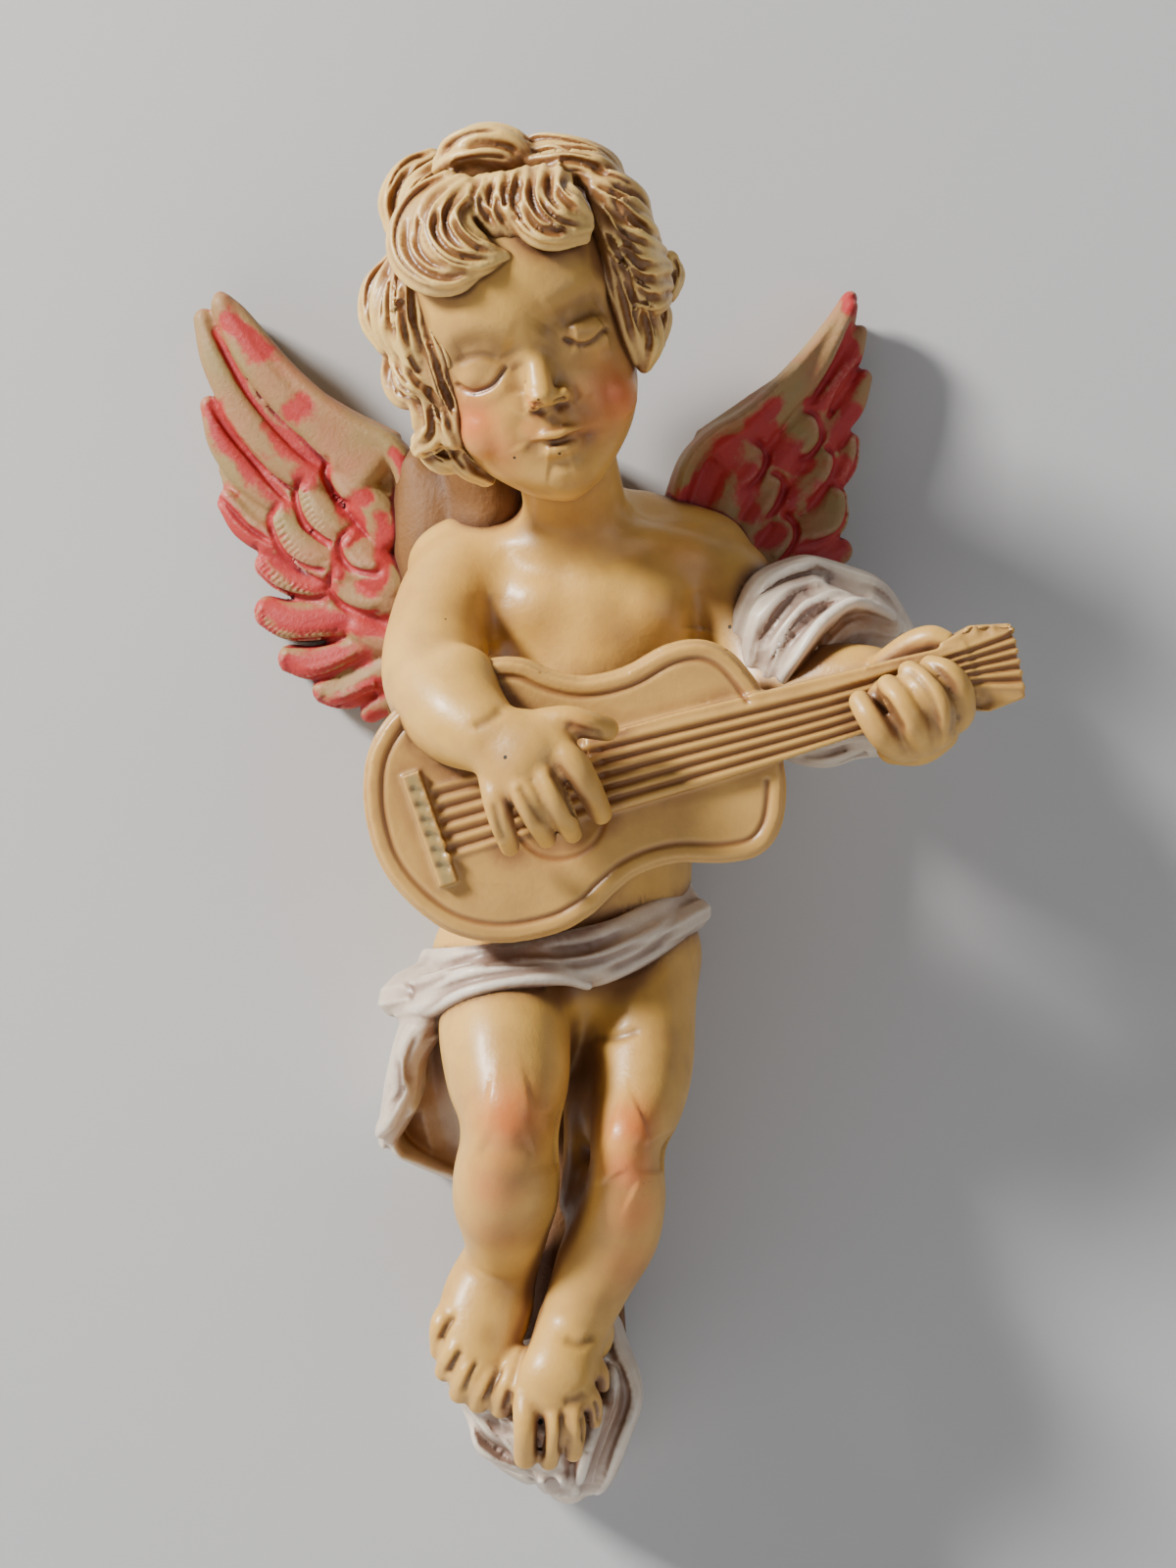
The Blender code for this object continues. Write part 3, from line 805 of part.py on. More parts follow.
def cherub():
    clay = figure() + locks() + back_locks() + wing_left() + wing_right() + guitar()
    clay += waist_cloth() + sleeve_cloth() + base_cloth() + backing()
    whole = fused(clay, GRAIN_WHOLE)
    whole.relax(2)
    mesh = bpy.data.meshes.new("cherub")
    mesh.from_pydata(whole.points, [], whole.faces.tolist())
    part = bpy.data.objects.new("cherub", mesh)
    bpy.context.collection.objects.link(part)
    plain = part.vertex_groups.new(name="plain")
    plain.add(list(range(len(whole.points))), 1.0, "REPLACE")
    for centre, reach in FINE_SPOTS:
        near = np.linalg.norm(whole.points - world(centre), axis=1) < reach
        plain.add(np.flatnonzero(near).tolist(), 0.5, "REPLACE")
    fewer = part.modifiers.new("facets", "DECIMATE")
    fewer.vertex_group = "plain"
    fewer.vertex_group_factor = FINE_FACTOR
    fewer.ratio = TRIANGLES / (2 * len(whole.faces))
    result = bpy.data.meshes.new_from_object(part.evaluated_get(bpy.context.evaluated_depsgraph_get()))
    part.modifiers.clear()
    part.vertex_groups.clear()
    result.transform(Matrix.Scale(MM, 4))
    part.data = result
    bpy.data.meshes.remove(mesh)
    flat_back(result)
    part.data.name = "cherub"
    part.data.materials.clear()
    part.data.materials.append(resin())
    return part


def main():
    clear_scene()
    cherub()


main()
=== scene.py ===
# Cherub wall plaque: the finely carved and hand-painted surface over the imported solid.
# Rows of shapes are in millimetres (x to the viewer's right, out from the wall, z up), meshes in metres.

import math

import bpy
import numpy as np
from bpy.props import FloatProperty, FloatVectorProperty, IntProperty, PointerProperty
from mathutils import Euler, Matrix, Vector
from mathutils.bvhtree import BVHTree
from mathutils.geometry import tessellate_polygon

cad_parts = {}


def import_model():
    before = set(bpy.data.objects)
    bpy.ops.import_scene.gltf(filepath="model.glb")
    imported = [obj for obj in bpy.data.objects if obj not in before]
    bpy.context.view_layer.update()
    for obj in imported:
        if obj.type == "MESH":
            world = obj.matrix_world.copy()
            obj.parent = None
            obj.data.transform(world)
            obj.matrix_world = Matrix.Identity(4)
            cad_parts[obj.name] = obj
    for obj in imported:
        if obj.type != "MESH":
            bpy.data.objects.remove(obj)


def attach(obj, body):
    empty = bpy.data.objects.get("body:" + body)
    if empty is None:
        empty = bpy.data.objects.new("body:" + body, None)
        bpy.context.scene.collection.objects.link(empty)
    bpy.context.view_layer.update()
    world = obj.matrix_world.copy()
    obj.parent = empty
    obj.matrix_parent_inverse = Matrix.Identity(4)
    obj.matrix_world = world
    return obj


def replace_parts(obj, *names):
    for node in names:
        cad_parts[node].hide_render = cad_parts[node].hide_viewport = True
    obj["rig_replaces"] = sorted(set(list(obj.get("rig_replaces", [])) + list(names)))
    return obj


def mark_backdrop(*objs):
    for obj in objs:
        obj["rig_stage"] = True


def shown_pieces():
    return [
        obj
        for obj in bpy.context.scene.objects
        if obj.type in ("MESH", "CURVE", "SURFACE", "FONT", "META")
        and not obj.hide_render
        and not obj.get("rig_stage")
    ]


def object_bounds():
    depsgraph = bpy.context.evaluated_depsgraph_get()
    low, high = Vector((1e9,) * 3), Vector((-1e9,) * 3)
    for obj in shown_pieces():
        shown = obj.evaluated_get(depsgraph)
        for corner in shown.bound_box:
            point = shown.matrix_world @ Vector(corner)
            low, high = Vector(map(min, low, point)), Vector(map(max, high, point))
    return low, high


bl_info = {
    "name": "Cherub wall plaque",
    "version": (1, 0, 0),
    "blender": (4, 5, 0),
    "location": "View3D > Sidebar > Cherub",
    "description": "Models a cast and hand-painted cherub wall plaque that plays a small guitar",
    "category": "Add Mesh",
}

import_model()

NODE = "cherub"
# the most triangles of each finished piece, and the share that the plain back keeps
MOST_TRIANGLES = {"body": 180000, "head": 120000, "hair": 190000, "wing": 100000, "guitar": 110000, "cloth": 58000}
BACK_KEEPS = 0.15
# open air bubbles and small dark spots
BUBBLE = (0.012, 0.008, 0.006)
SPECK = (0.10, 0.03, 0.01)
MM = 0.001
OUT = (0.0, -1.0, 0.0)

# the tilt of the head to the viewer's left shoulder, its bow and its turn, in degrees
HEAD_TILT = 16.0
HEAD_BOW = 17.0
HEAD_TURN = 2.0
BETWEEN_EYES = (-4.6, 57, 31.5)

# the middle of the guitar's lower bout on its face, how far the neck rises and its foot leans out, in degrees
GUITAR_CENTRE = (-11.7, 49, -38.6)
GUITAR_RISE = 14.8
GUITAR_LEAN = 4.0
GUITAR_DEEP = 11.0
# the middle of the sound hole, along the neck and across
HOLE_AT = (10, -3.6)

# where the camera is, as x, out and z, and how much of the wall's height the picture takes
CAMERA_AT = (3.5, 450.0, -35.0)
PICTURE_HIGH = 280.64

# each light: name, place in metres, watts, width in metres and colour
LAMPS = (
    ("key", (-0.92, -0.55, 0.62), 35, 0.24, (1, 0.96, 0.9)),
    ("fill", (0.75, -0.95, 0.05), 2, 0.7, (0.98, 0.96, 1)),
    ("low", (0.1, -0.9, -0.75), 1, 0.6, (1, 0.92, 0.84)),
    ("behind", (0.35, 0.9, 0.55), 9, 0.8, (1, 1, 1)),
)
LIT_POINT = (0, -0.02, -0.04)
# the wall and floor in metres: their width, and how far they are from the back and the lowest fold
STAGE_WIDE = 6
WALL_BEHIND = 0.0015
FLOOR_BELOW = 0.35

NAIL_HOLE_WIDE = 7.0
NAIL_HOLE_DEEP = 6.0
NAIL_HOLE_AT = (-3.0, 13.0)


class CherubSizes(bpy.types.PropertyGroup):
    """How finely each part of the casting is modelled"""

    limbs: FloatProperty(name="Limbs", description="Grain of the skin of the limbs and hands", default=0.36, min=0.2)
    face: FloatProperty(name="Face", description="Grain of the face", default=0.3, min=0.2)
    hair: FloatProperty(name="Hair", description="Grain of the locks of hair", default=0.38, min=0.2)
    wing: FloatProperty(name="Wings", description="Grain of the wings", default=0.38, min=0.2)
    guitar: FloatProperty(name="Guitar", description="Grain of the guitar", default=0.33, min=0.2)
    cloth: FloatProperty(name="Cloth", description="Grain of the folds of cloth", default=0.42, min=0.2)
    backing: FloatProperty(name="Backing", description="Grain of the plain mass at the back", default=0.6, min=0.2)
    strands: IntProperty(name="Strands", description="Strands round each lock of hair", default=6, min=3)


def tint(name, description, default):
    """A colour that a user can change."""
    return FloatVectorProperty(name=name, description=description, subtype="COLOR", min=0, max=1, default=default)


class CherubColours(bpy.types.PropertyGroup):
    """Colours of the paint and the resin, and of the painted shade"""

    ivory: tint("Ivory", "Pale bare resin", (0.73, 0.425, 0.095))
    # amber is the darker resin tone in random patches, and painted shade in the wide hollows
    amber: tint("Amber", "Resin where it is deeper", (0.35, 0.17, 0.06))
    # umber is painted shade: in the wide hollows and under the shadow dabs of the skin
    umber: tint("Umber", "Thin brown shading of the face", (0.20, 0.082, 0.026))
    wash: tint("Wash", "Brown antique wash", (0.13, 0.055, 0.022))
    blush: tint("Blush", "Cheeks and knees", (0.70, 0.17, 0.04))
    blonde: tint("Blonde", "Raised strands of hair", (0.86, 0.57, 0.175))
    red: tint("Red", "Wings under the dry brush", (0.38, 0.016, 0.024))
    olive: tint("Olive", "Dry brush on the wings", (0.33, 0.225, 0.085))
    coral: tint("Coral", "Red of the wings where it is thin", (0.50, 0.042, 0.032))
    dusty: tint("Dusty", "Dry brush on the wings where the red shows through", (0.42, 0.155, 0.075))
    worn: tint("Worn", "Worn edges of the wings", (0.82, 0.55, 0.42))
    cloth: tint("Cloth", "Pale cloth", (0.74, 0.63, 0.50))
    # the lilac grey is paint in the folds, and painted shade in the wide hollows of the cloth
    shade: tint("Shade", "Lilac grey in the folds", (0.34, 0.225, 0.175))
    wood: tint("Guitar", "Face of the guitar", (0.65, 0.375, 0.10))
    gold: tint("Bridge", "Olive gold of the bridge", (0.38, 0.29, 0.12))
    line: tint("Guitar lines", "Brown in the cut lines and between the strings", (0.30, 0.115, 0.03))
    strand: tint("Hair grooves", "Golden brown between the strands of hair", (0.31, 0.125, 0.03))
    maroon: tint("Wing creases", "Deep red between the feathers", (0.085, 0.008, 0.012))
    # tan is painted shade, warm brown inside the cloth where its shadow layer lies
    tan: tint("Cloth stain", "Warm brown inside the cloth", (0.42, 0.20, 0.075))
    cream: tint("Cloth edges", "Pale rubbed edges of the folds", (0.86, 0.80, 0.70))
    # the back's two colours are painted shade: the mass at the back is dark brown for the shade that lies on it behind
    # the neck and between the legs
    back: tint("Back", "Plain resin of the back", (0.21, 0.09, 0.02))
    back_deep: tint("Back hollows", "Plain resin of the back where it is deeper", (0.10, 0.04, 0.012))


def world(rows):
    """(x, out, z) points as x, y and z, with the wall at y 0 and the front towards -y."""
    rows = np.asarray(rows, float)
    return np.stack([rows[..., 0], -rows[..., 1], rows[..., 2]], axis=-1)


def curve(rows, steps):
    """Rows on a smooth curve through the given rows, with steps to each span."""
    rows = np.asarray(rows, float)
    ends = np.vstack([2 * rows[0] - rows[1], rows, 2 * rows[-1] - rows[-2]])
    t = np.linspace(0, 1, steps, endpoint=False)[:, None]
    spans = []
    for a, b, c, d in zip(ends[:-3], ends[1:-2], ends[2:-1], ends[3:]):
        pull = (2 * a - 5 * b + 4 * c - d) * t**2 + (3 * b - a - 3 * c + d) * t**3
        spans.append(0.5 * (2 * b + (c - a) * t + pull))
    return np.vstack(spans + [rows[-1:]])


def unit(v):
    """Vectors of length 1."""
    return v / np.maximum(np.linalg.norm(v, axis=-1, keepdims=True), 1e-9)


def ring_faces(rings, sides):
    """Triangles of a tube of rings, closed by a pole at each end."""
    k = np.arange(sides)
    n = (k + 1) % sides
    a = np.arange(rings - 1)[:, None] * sides
    quads = np.stack([a + k, a + n, a + n + sides, a + k + sides], axis=-1).reshape(-1, 4)
    first = np.stack([np.full(sides, rings * sides), n, k], axis=-1)
    base = (rings - 1) * sides
    last = np.stack([np.full(sides, rings * sides + 1), k + base, n + base], axis=-1)
    return np.vstack([quads[:, [0, 1, 2]], quads[:, [0, 2, 3]], first, last])


def tube(rows, facing=OUT, sides=18, lobes=0, lobe_depth=0.25, turns=0.0):
    """A round-ended limb through rows of x, out, z, half width and half thickness, its thin way facing out."""
    rows = np.asarray(rows, float)
    if rows.shape[1] == 4:
        rows = np.hstack([rows, rows[:, 3:]])
    line = curve(rows, 6)
    centre = world(line[:, :3])
    along = unit(np.gradient(centre, axis=0))
    facing = unit(np.asarray(facing, float))
    held = np.abs(along @ facing).max() < 0.9
    if not held and abs(along[0] @ facing) > 0.9:
        facing = np.array([0.0, 0.0, 1.0])
    up = np.empty_like(centre)
    last = facing
    for i, t in enumerate(along):
        source = facing if held else last
        last = unit(source - (source @ t) * t)
        up[i] = last
    across = np.cross(along, up)
    half = np.maximum(line[:, 3:5], 0.05)
    cap = np.radians([70, 45, 20])[:, None]
    reach = half.min(axis=1)
    start = centre[0] - along[0] * reach[0] * np.sin(cap)
    end = centre[-1] + along[-1] * reach[-1] * np.sin(cap[::-1])
    centres = np.vstack([start, centre, end])
    halves = np.vstack([half[0] * np.cos(cap), half, half[-1] * np.cos(cap[::-1])])
    across, up = (np.vstack([v[:1]] * 3 + [v] + [v[-1:]] * 3) for v in (across, up))
    angle = np.arange(sides) * 2 * math.pi / sides
    spin = np.linspace(0, turns * 2 * math.pi, len(centres))[:, None]
    lobe = np.ones((len(centres), sides))
    if lobes:
        lobe = 1 - lobe_depth * (1 - np.abs(np.sin(lobes * (angle + spin) / 2)))
    wide = across[:, None] * (halves[:, 0, None] * np.cos(angle) * lobe)[..., None]
    thick = up[:, None] * (halves[:, 1, None] * np.sin(angle) * lobe)[..., None]
    points = (centres[:, None] + wide + thick).reshape(-1, 3)
    poles = [centre[0] - along[0] * reach[0], centre[-1] + along[-1] * reach[-1]]
    return np.vstack([points, poles]), ring_faces(len(centres), sides)


def tubes(lines, sides):
    """A limb or fold through each of the lines."""
    return [tube(line, sides=sides) for line in lines]


def ball(centre, radii, tilt=(0, 0, 0), sides=24):
    """An ellipsoid with radii along x, out and z, turned by tilt degrees."""
    rise = np.radians(np.linspace(-80, 80, sides // 2))[:, None]
    turn = np.arange(sides) * 2 * math.pi / sides
    shape = np.broadcast_arrays(np.cos(rise) * np.cos(turn), np.cos(rise) * np.sin(turn), np.sin(rise))
    points = np.vstack([np.stack(shape, axis=-1).reshape(-1, 3), [(0, 0, -1), (0, 0, 1)]]) * radii
    turned = np.array(Euler([math.radians(v) for v in tilt]).to_matrix())
    return points @ turned.T + world(centre), ring_faces(sides // 2, sides)


def plate(outline, back, front):
    """A flat plate over a closed outline of (x, z), from back to front out from the wall."""
    line = np.asarray(outline, float)
    n = len(line)
    inside = np.array(tessellate_polygon([[Vector((x, z, 0)) for x, z in line]]))
    low = np.stack([line[:, 0], np.full(n, -back), line[:, 1]], axis=-1)
    high = np.stack([line[:, 0], np.full(n, -front), line[:, 1]], axis=-1)
    k = np.arange(n)
    m = (k + 1) % n
    rim = np.vstack([np.stack([k, m, m + n], axis=-1), np.stack([k, m + n, k + n], axis=-1)])
    return np.vstack([low, high]), np.vstack([inside, inside[:, ::-1] + n, rim])


def strip(line, half, back, front):
    """A flat-fronted strip along a line of (x, z) with its half widths."""
    line = np.asarray(line, float)
    along = unit(np.gradient(line, axis=0))
    across = np.stack([-along[:, 1], along[:, 0]], axis=-1) * np.asarray(half)[:, None]
    return plate(np.vstack([line + across, (line - across)[::-1]]), back, front)


def moved(clay, matrix):
    """Pieces of clay brought to a place by a matrix."""
    matrix = np.array(matrix)
    return [(points @ matrix[:3, :3].T + matrix[:3, 3], faces) for points, faces in clay]


class Skin:
    """Points in millimetres and quads over them, which can be smoothed and carved."""

    def __init__(self, points, faces):
        self.points, self.faces = points, faces
        self.layers = {}
        pairs = np.vstack([faces[:, [0, 1]], faces[:, [1, 2]], faces[:, [2, 3]], faces[:, [3, 0]]])
        keys = np.unique(pairs.min(axis=1) * len(points) + pairs.max(axis=1))
        pairs = np.stack([keys // len(points), keys % len(points)], axis=-1)
        self.ends = np.vstack([pairs, pairs[:, ::-1]])
        self.count = np.bincount(self.ends[:, 0], minlength=len(points))[:, None]

    def spread(self, values, passes=1):
        """The mean of the neighbours of each point, taken a number of times."""
        for _ in range(passes):
            total = [np.bincount(self.ends[:, 0], v[self.ends[:, 1]], len(values)) for v in values.T]
            values = np.stack(total, axis=-1) / self.count
        return values

    def normals(self):
        """Which way the skin faces at each point."""
        a, b, c, d = (self.points[self.faces[:, i]] for i in range(4))
        face = np.cross(c - a, d - b)
        total = np.zeros_like(self.points)
        for i in range(4):
            for axis in range(3):
                total[:, axis] += np.bincount(self.faces[:, i], face[:, axis], len(total))
        return unit(total)

    def relax(self, passes, hollow=1.0, ridge=0.1):
        """Fill the hollows between the pieces of clay and keep their ridges."""
        for _ in range(passes):
            pull = self.spread(self.points) - self.points
            normal = self.normals()
            rise = (pull * normal).sum(axis=1, keepdims=True)
            slide = pull - rise * normal
            self.points = self.points + 0.5 * slide + 0.8 * np.where(rise > 0, hollow, ridge) * rise * normal

    def clay(self):
        """The skin as a piece of clay, to be fused with more."""
        return [(self.points, np.vstack([self.faces[:, [0, 1, 2]], self.faces[:, [0, 2, 3]]]))]

    def carve(self, lines, radius, height, layer=None, taper=True, depth=9.0):
        """Raise or cut soft strokes along lines of (x, out, z), on what faces the front near their own depth."""
        normal = self.normals()
        rise = np.zeros(len(self.points))
        points = self.points[:, [0, 2]]
        for line in lines:
            path = world(np.asarray(curve(line, 5) if len(line) > 2 else line, float)[:, :3])
            flat = path[:, [0, 2]]
            low, high = flat.min(axis=0) - 3 * radius, flat.max(axis=0) + 3 * radius
            near = np.flatnonzero(((points > low) & (points < high)).all(axis=1))
            gap, share = along(points[near], flat)
            weight = np.exp(-((gap / radius) ** 2))
            if taper:
                weight *= np.clip(5 * np.minimum(share, 1 - share) + 0.3, 0, 1)
            out = np.interp(share, np.linspace(0, 1, len(path)), -path[:, 1])
            weight *= (normal[near, 1] < -0.1) * (np.abs(-self.points[near, 1] - out) < depth)
            rise[near] = np.maximum(rise[near], weight)
        self.points = self.points + normal * (rise * height)[:, None]
        if layer:
            self.layers[layer] = np.maximum(self.layers.get(layer, 0), rise)

    def dab(self, name, spots):
        """Soft spots of paint at (x, out, z, radius, strength)."""
        total = self.layers.get(name, np.zeros(len(self.points)))
        for x, out, z, radius, strength in spots:
            gap = np.linalg.norm(self.points - world((x, out, z)), axis=1)
            total = np.maximum(total, strength * np.exp(-((gap / radius) ** 2)))
        self.layers[name] = total

    def relief(self, passes):
        """How far each point stands out of its smoothed surroundings, in millimetres."""
        smooth = self.spread(self.points, passes)
        return ((self.points - smooth) * self.normals()).sum(axis=1)


def along(points, path):
    """How far points are from a path, and how far along it as a share."""
    best = np.full(len(points), 1e9)
    share = np.zeros(len(points))
    for i, (a, b) in enumerate(zip(path[:-1], path[1:])):
        run = b - a
        t = np.clip(((points - a) @ run) / max(run @ run, 1e-9), 0, 1)
        gap = np.linalg.norm(points - a - t[:, None] * run, axis=1)
        share = np.where(gap < best, (i + t) / (len(path) - 1), share)
        best = np.minimum(best, gap)
    return best, share


def only(*things):
    """Select these objects alone and make the first one active."""
    if bpy.context.object and bpy.context.object.mode != "OBJECT":
        bpy.ops.object.mode_set(mode="OBJECT")
    bpy.ops.object.select_all(action="DESELECT")
    for thing in things:
        thing.select_set(True)
    bpy.context.view_layer.objects.active = things[0]


def lump(name, points, faces):
    """A new object from points and faces."""
    mesh = bpy.data.meshes.new(name)
    count, corners = faces.shape
    mesh.vertices.add(len(points))
    mesh.vertices.foreach_set("co", np.asarray(points, np.float32).ravel())
    mesh.loops.add(faces.size)
    mesh.loops.foreach_set("vertex_index", faces.astype(np.int32).ravel())
    mesh.polygons.add(count)
    mesh.polygons.foreach_set("loop_start", np.arange(count, dtype=np.int32) * corners)
    mesh.update(calc_edges=True)
    thing = bpy.data.objects.new(name, mesh)
    bpy.context.scene.collection.objects.link(thing)
    only(thing)
    return thing


def finish_with(thing, kind, **settings):
    """Add a modifier to the active object and apply it."""
    only(thing)
    bpy.ops.object.modifier_add(type=kind)
    modifier = thing.modifiers[-1]
    for key, value in settings.items():
        setattr(modifier, key, value)
    bpy.ops.object.modifier_apply(modifier=modifier.name)


def joined(clay):
    """Points and triangles of several pieces of clay as one list."""
    shifts = np.cumsum([0] + [len(points) for points, _ in clay[:-1]])
    faces = np.vstack([faces + shift for (_, faces), shift in zip(clay, shifts)])
    return np.vstack([points for points, _ in clay]), faces


def skin_of(thing):
    """The points and quads of an object, which is then removed."""
    mesh = thing.data
    points = np.empty(len(mesh.vertices) * 3)
    mesh.vertices.foreach_get("co", points)
    corners = np.empty(len(mesh.loops), dtype=np.int64)
    mesh.loops.foreach_get("vertex_index", corners)
    bpy.data.objects.remove(thing)
    bpy.data.meshes.remove(mesh)
    return Skin(points.reshape(-1, 3), corners.reshape(-1, 4))


def fused(clay, grain):
    """One closed skin round all the overlapping pieces of clay."""
    thing = lump("clay", *joined(clay))
    finish_with(thing, "REMESH", mode="VOXEL", voxel_size=grain * coarse())
    return skin_of(thing)


def coarse():
    """The factor on every grain; at 1 every grain is as set."""
    return 1.0


def passes(count, grain, made_at=0.6):
    """As many passes as smooth over the same width at another grain."""
    return max(1, round(count * (made_at / (grain * coarse())) ** 2))


def piece(name, skin, material, triangles, wall=True):
    """The finished object of a skin, with its painted layers, on its CAD body and in place of the node."""
    if wall:
        skin.points[:, 1] = np.minimum(skin.points[:, 1], 0)
    skin.layers["raised"] = skin.relief(passes(4, 0.4, 0.4))
    thing = lump(name, skin.points, skin.faces)
    for layer, values in skin.layers.items():
        attribute = thing.data.attributes.new(layer, "FLOAT", "POINT")
        attribute.data.foreach_set("value", np.broadcast_to(values, len(skin.points)).astype(np.float32))
    if 2 * len(skin.faces) > triangles:
        finish_with(thing, "DECIMATE", ratio=triangles / (2 * len(skin.faces)))
    return dress(thing, material)


def dress(thing, material):
    """Bring an object to metres and put it on its CAD body in place of the node."""
    only(thing)
    thing.scale = (MM, MM, MM)
    bpy.ops.object.transform_apply(location=False, rotation=False, scale=True)
    bpy.ops.object.shade_smooth()
    thing.data.materials.clear()
    thing.data.materials.append(material)
    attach(thing, "root")
    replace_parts(thing, NODE)
    return thing


def torso():
    """Trunk, neck, chest and belly."""
    return [
        tube([(1.5, 16, 9, 11, 10), (3.5, 15, 1.5, 18, 18), (4.5, 15, -7.9, 18.3, 20), (4.5, 15, -24.8, 17.5, 19.5),
            (4.2, 16, -40.1, 17.5, 20.5), (3.5, 16, -51.1, 18, 20), (1.8, 15, -60.4, 19.5, 19),
            (0.6, 15, -68.9, 20, 18.5), (0.4, 14, -75.8, 19, 15)], sides=32),
        tube([(2.2, 18, 0.4, 11, 10), (1.8, 22, 7.5, 9.4, 9.4), (1, 28, 13.5, 8.6, 8.6),
            (-0.6, 34, 20.1, 8.6, 8.6)], sides=24),
        tube([(-13.2, 22, 2.9, 6, 6), (-3.1, 27, 3.6, 5.5, 5.5), (1.9, 28, 4.5, 5, 5), (10.1, 27, 4.6, 5, 5),
            (20.1, 24, 2.9, 6, 6)]),
        tube([(-10.1, 14, 8.3, 8, 8), (-18.5, 16, 2.2, 9.5, 9.5)]),
        tube([(12, 14, 8.3, 8, 8), (23, 16, 3.1, 9.5, 9.5)]),
        ball((-3.1, 27, -5.7), (9.5, 7.5, 8.5)),
        ball((12.6, 27, -5.7), (9, 7.5, 8.5)),
        ball((15.4, 26, -8.6), (6.5, 6.5, 6)),
        ball((-6.4, 26, -8.6), (6.5, 6.5, 6)),
        ball((4.5, 26, -43.3), (14, 12, 13)),
        ball((-15.2, 14, -66.4), (8, 16, 9)),
    ]


def arms():
    """Both arms, shoulder to wrist."""
    return [
        tube([(-10, 18, 0.4, 9, 9), (-17.5, 22, -1.6, 9.7, 9.7), (-21.2, 30, -9.6, 8.9, 8.9),
            (-21.5, 41, -17.8, 8.6, 8.8), (-17.4, 50, -23.8, 8.4, 8.2), (-13.1, 55, -27, 6.7, 6.5),
            (-10, 57, -28.6, 5.6, 5.2)], sides=24),
        ball((-23.9, 36, -14.3), (5.2, 7, 7.5)),
        ball((-16.8, 49, -19.4), (6.5, 6, 7)),
        tube([(18.7, 18, 0.4, 9, 9), (26.1, 20, -1.5, 9.4, 9.4), (31, 23, -10, 8.4, 8.4), (34.8, 28, -19.4, 8, 8),
            (41.6, 34, -18.8, 7.4, 7.4), (48.5, 38, -18.1, 6.2, 6.2), (53.4, 40, -19, 5.2, 5.2)], sides=24),
    ]


def palms():
    """Both hands without their fingers."""
    return [
        tube([(-11.9, 56, -27.6, 5.8, 5), (-8.7, 58, -29.7, 6.6, 4.6), (-5.9, 59.5, -31.7, 7.2, 4.2),
            (-4.1, 59.5, -33.2, 6.8, 3.2)]),
        tube([(-7.2, 57, -27, 4, 3.6), (-2.6, 59, -28.4, 4.2, 3.4), (0.2, 60, -31.2, 2.6, 2.6)]),
        tube([(50.3, 39, -19, 5.6, 5), (55.3, 40, -21.7, 6.8, 5), (58.7, 41, -23.7, 6.4, 4.5)]),
        tube([(53, 43, -29, 3, 3), (57, 44, -28.7, 3.4, 3.4), (60.5, 44, -26.8, 3, 3)]),
        ball((50.6, 51.5, -21.6), (3.2, 3.2, 3.6)),
        tube([(49.2, 50, -22.8, 3, 4.2), (53, 50.5, -24.4, 5, 4.8), (56.8, 50.5, -23.8, 6, 4.8),
            (59.9, 50, -21.3, 4.5, 4.4)]),
    ]


# the fingers and thumbs of both hands, knuckle to tip
FINGERS = [
    [(-2.3, 59, -28.6, 2.7), (1.1, 61, -31.7, 2.5), (3.5, 59.5, -35.5, 2.2), (5.5, 53.5, -39.6, 1.9)],
    [(-4.9, 60, -31.2, 2.5), (-2.1, 62, -35.9, 2.3), (-0.3, 60, -39.9, 2), (1, 54.5, -42.7, 1.7)],
    [(-8.1, 60, -32.7, 2.5), (-5.9, 62, -37.3, 2.3), (-4.3, 60, -40.8, 2), (-3.1, 54.5, -43.5, 1.7)],
    [(-11.3, 58, -33.5, 2.5), (-10.5, 60, -38.3, 2.2), (-9.6, 58.5, -41.9, 1.9), (-8.8, 54, -44.9, 1.6)],
    [(-5.7, 57, -26.6, 3.2), (-0.3, 59, -25.2, 2.5), (3.2, 59, -25.7, 2.3), (6.4, 57, -26.4, 2)],
    [(46.3, 55, -22.1, 1.9), (47.8, 56.5, -24.7, 2.2), (50.1, 55.5, -27.6, 2.4), (53.8, 49, -29.1, 2.5),
        (57.3, 44, -28.2, 2.4)],
    [(50.6, 55.5, -19.6, 1.9), (52.2, 57.5, -22.1, 2.3), (54.4, 57, -25.5, 2.5), (56.4, 52, -28, 2.6),
        (58.9, 44, -27.4, 2.5)],
    [(54, 55, -17.4, 1.9), (56.1, 57.5, -19.7, 2.3), (58.6, 57.5, -23.1, 2.6), (59.1, 53, -26.6, 2.6),
        (59.4, 44, -26.8, 2.5)],
    [(57.5, 54, -16.5, 1.9), (59.8, 55.5, -17.8, 2.3), (61.7, 55, -20.5, 2.5), (62.3, 51, -23.8, 2.6),
        (61.2, 43, -25.5, 2.5)],
    [(51.8, 44, -16, 2.8), (55.3, 47, -13, 2.5), (58.2, 49, -11.9, 2.3), (60.3, 50, -12.4, 1.9)],
]


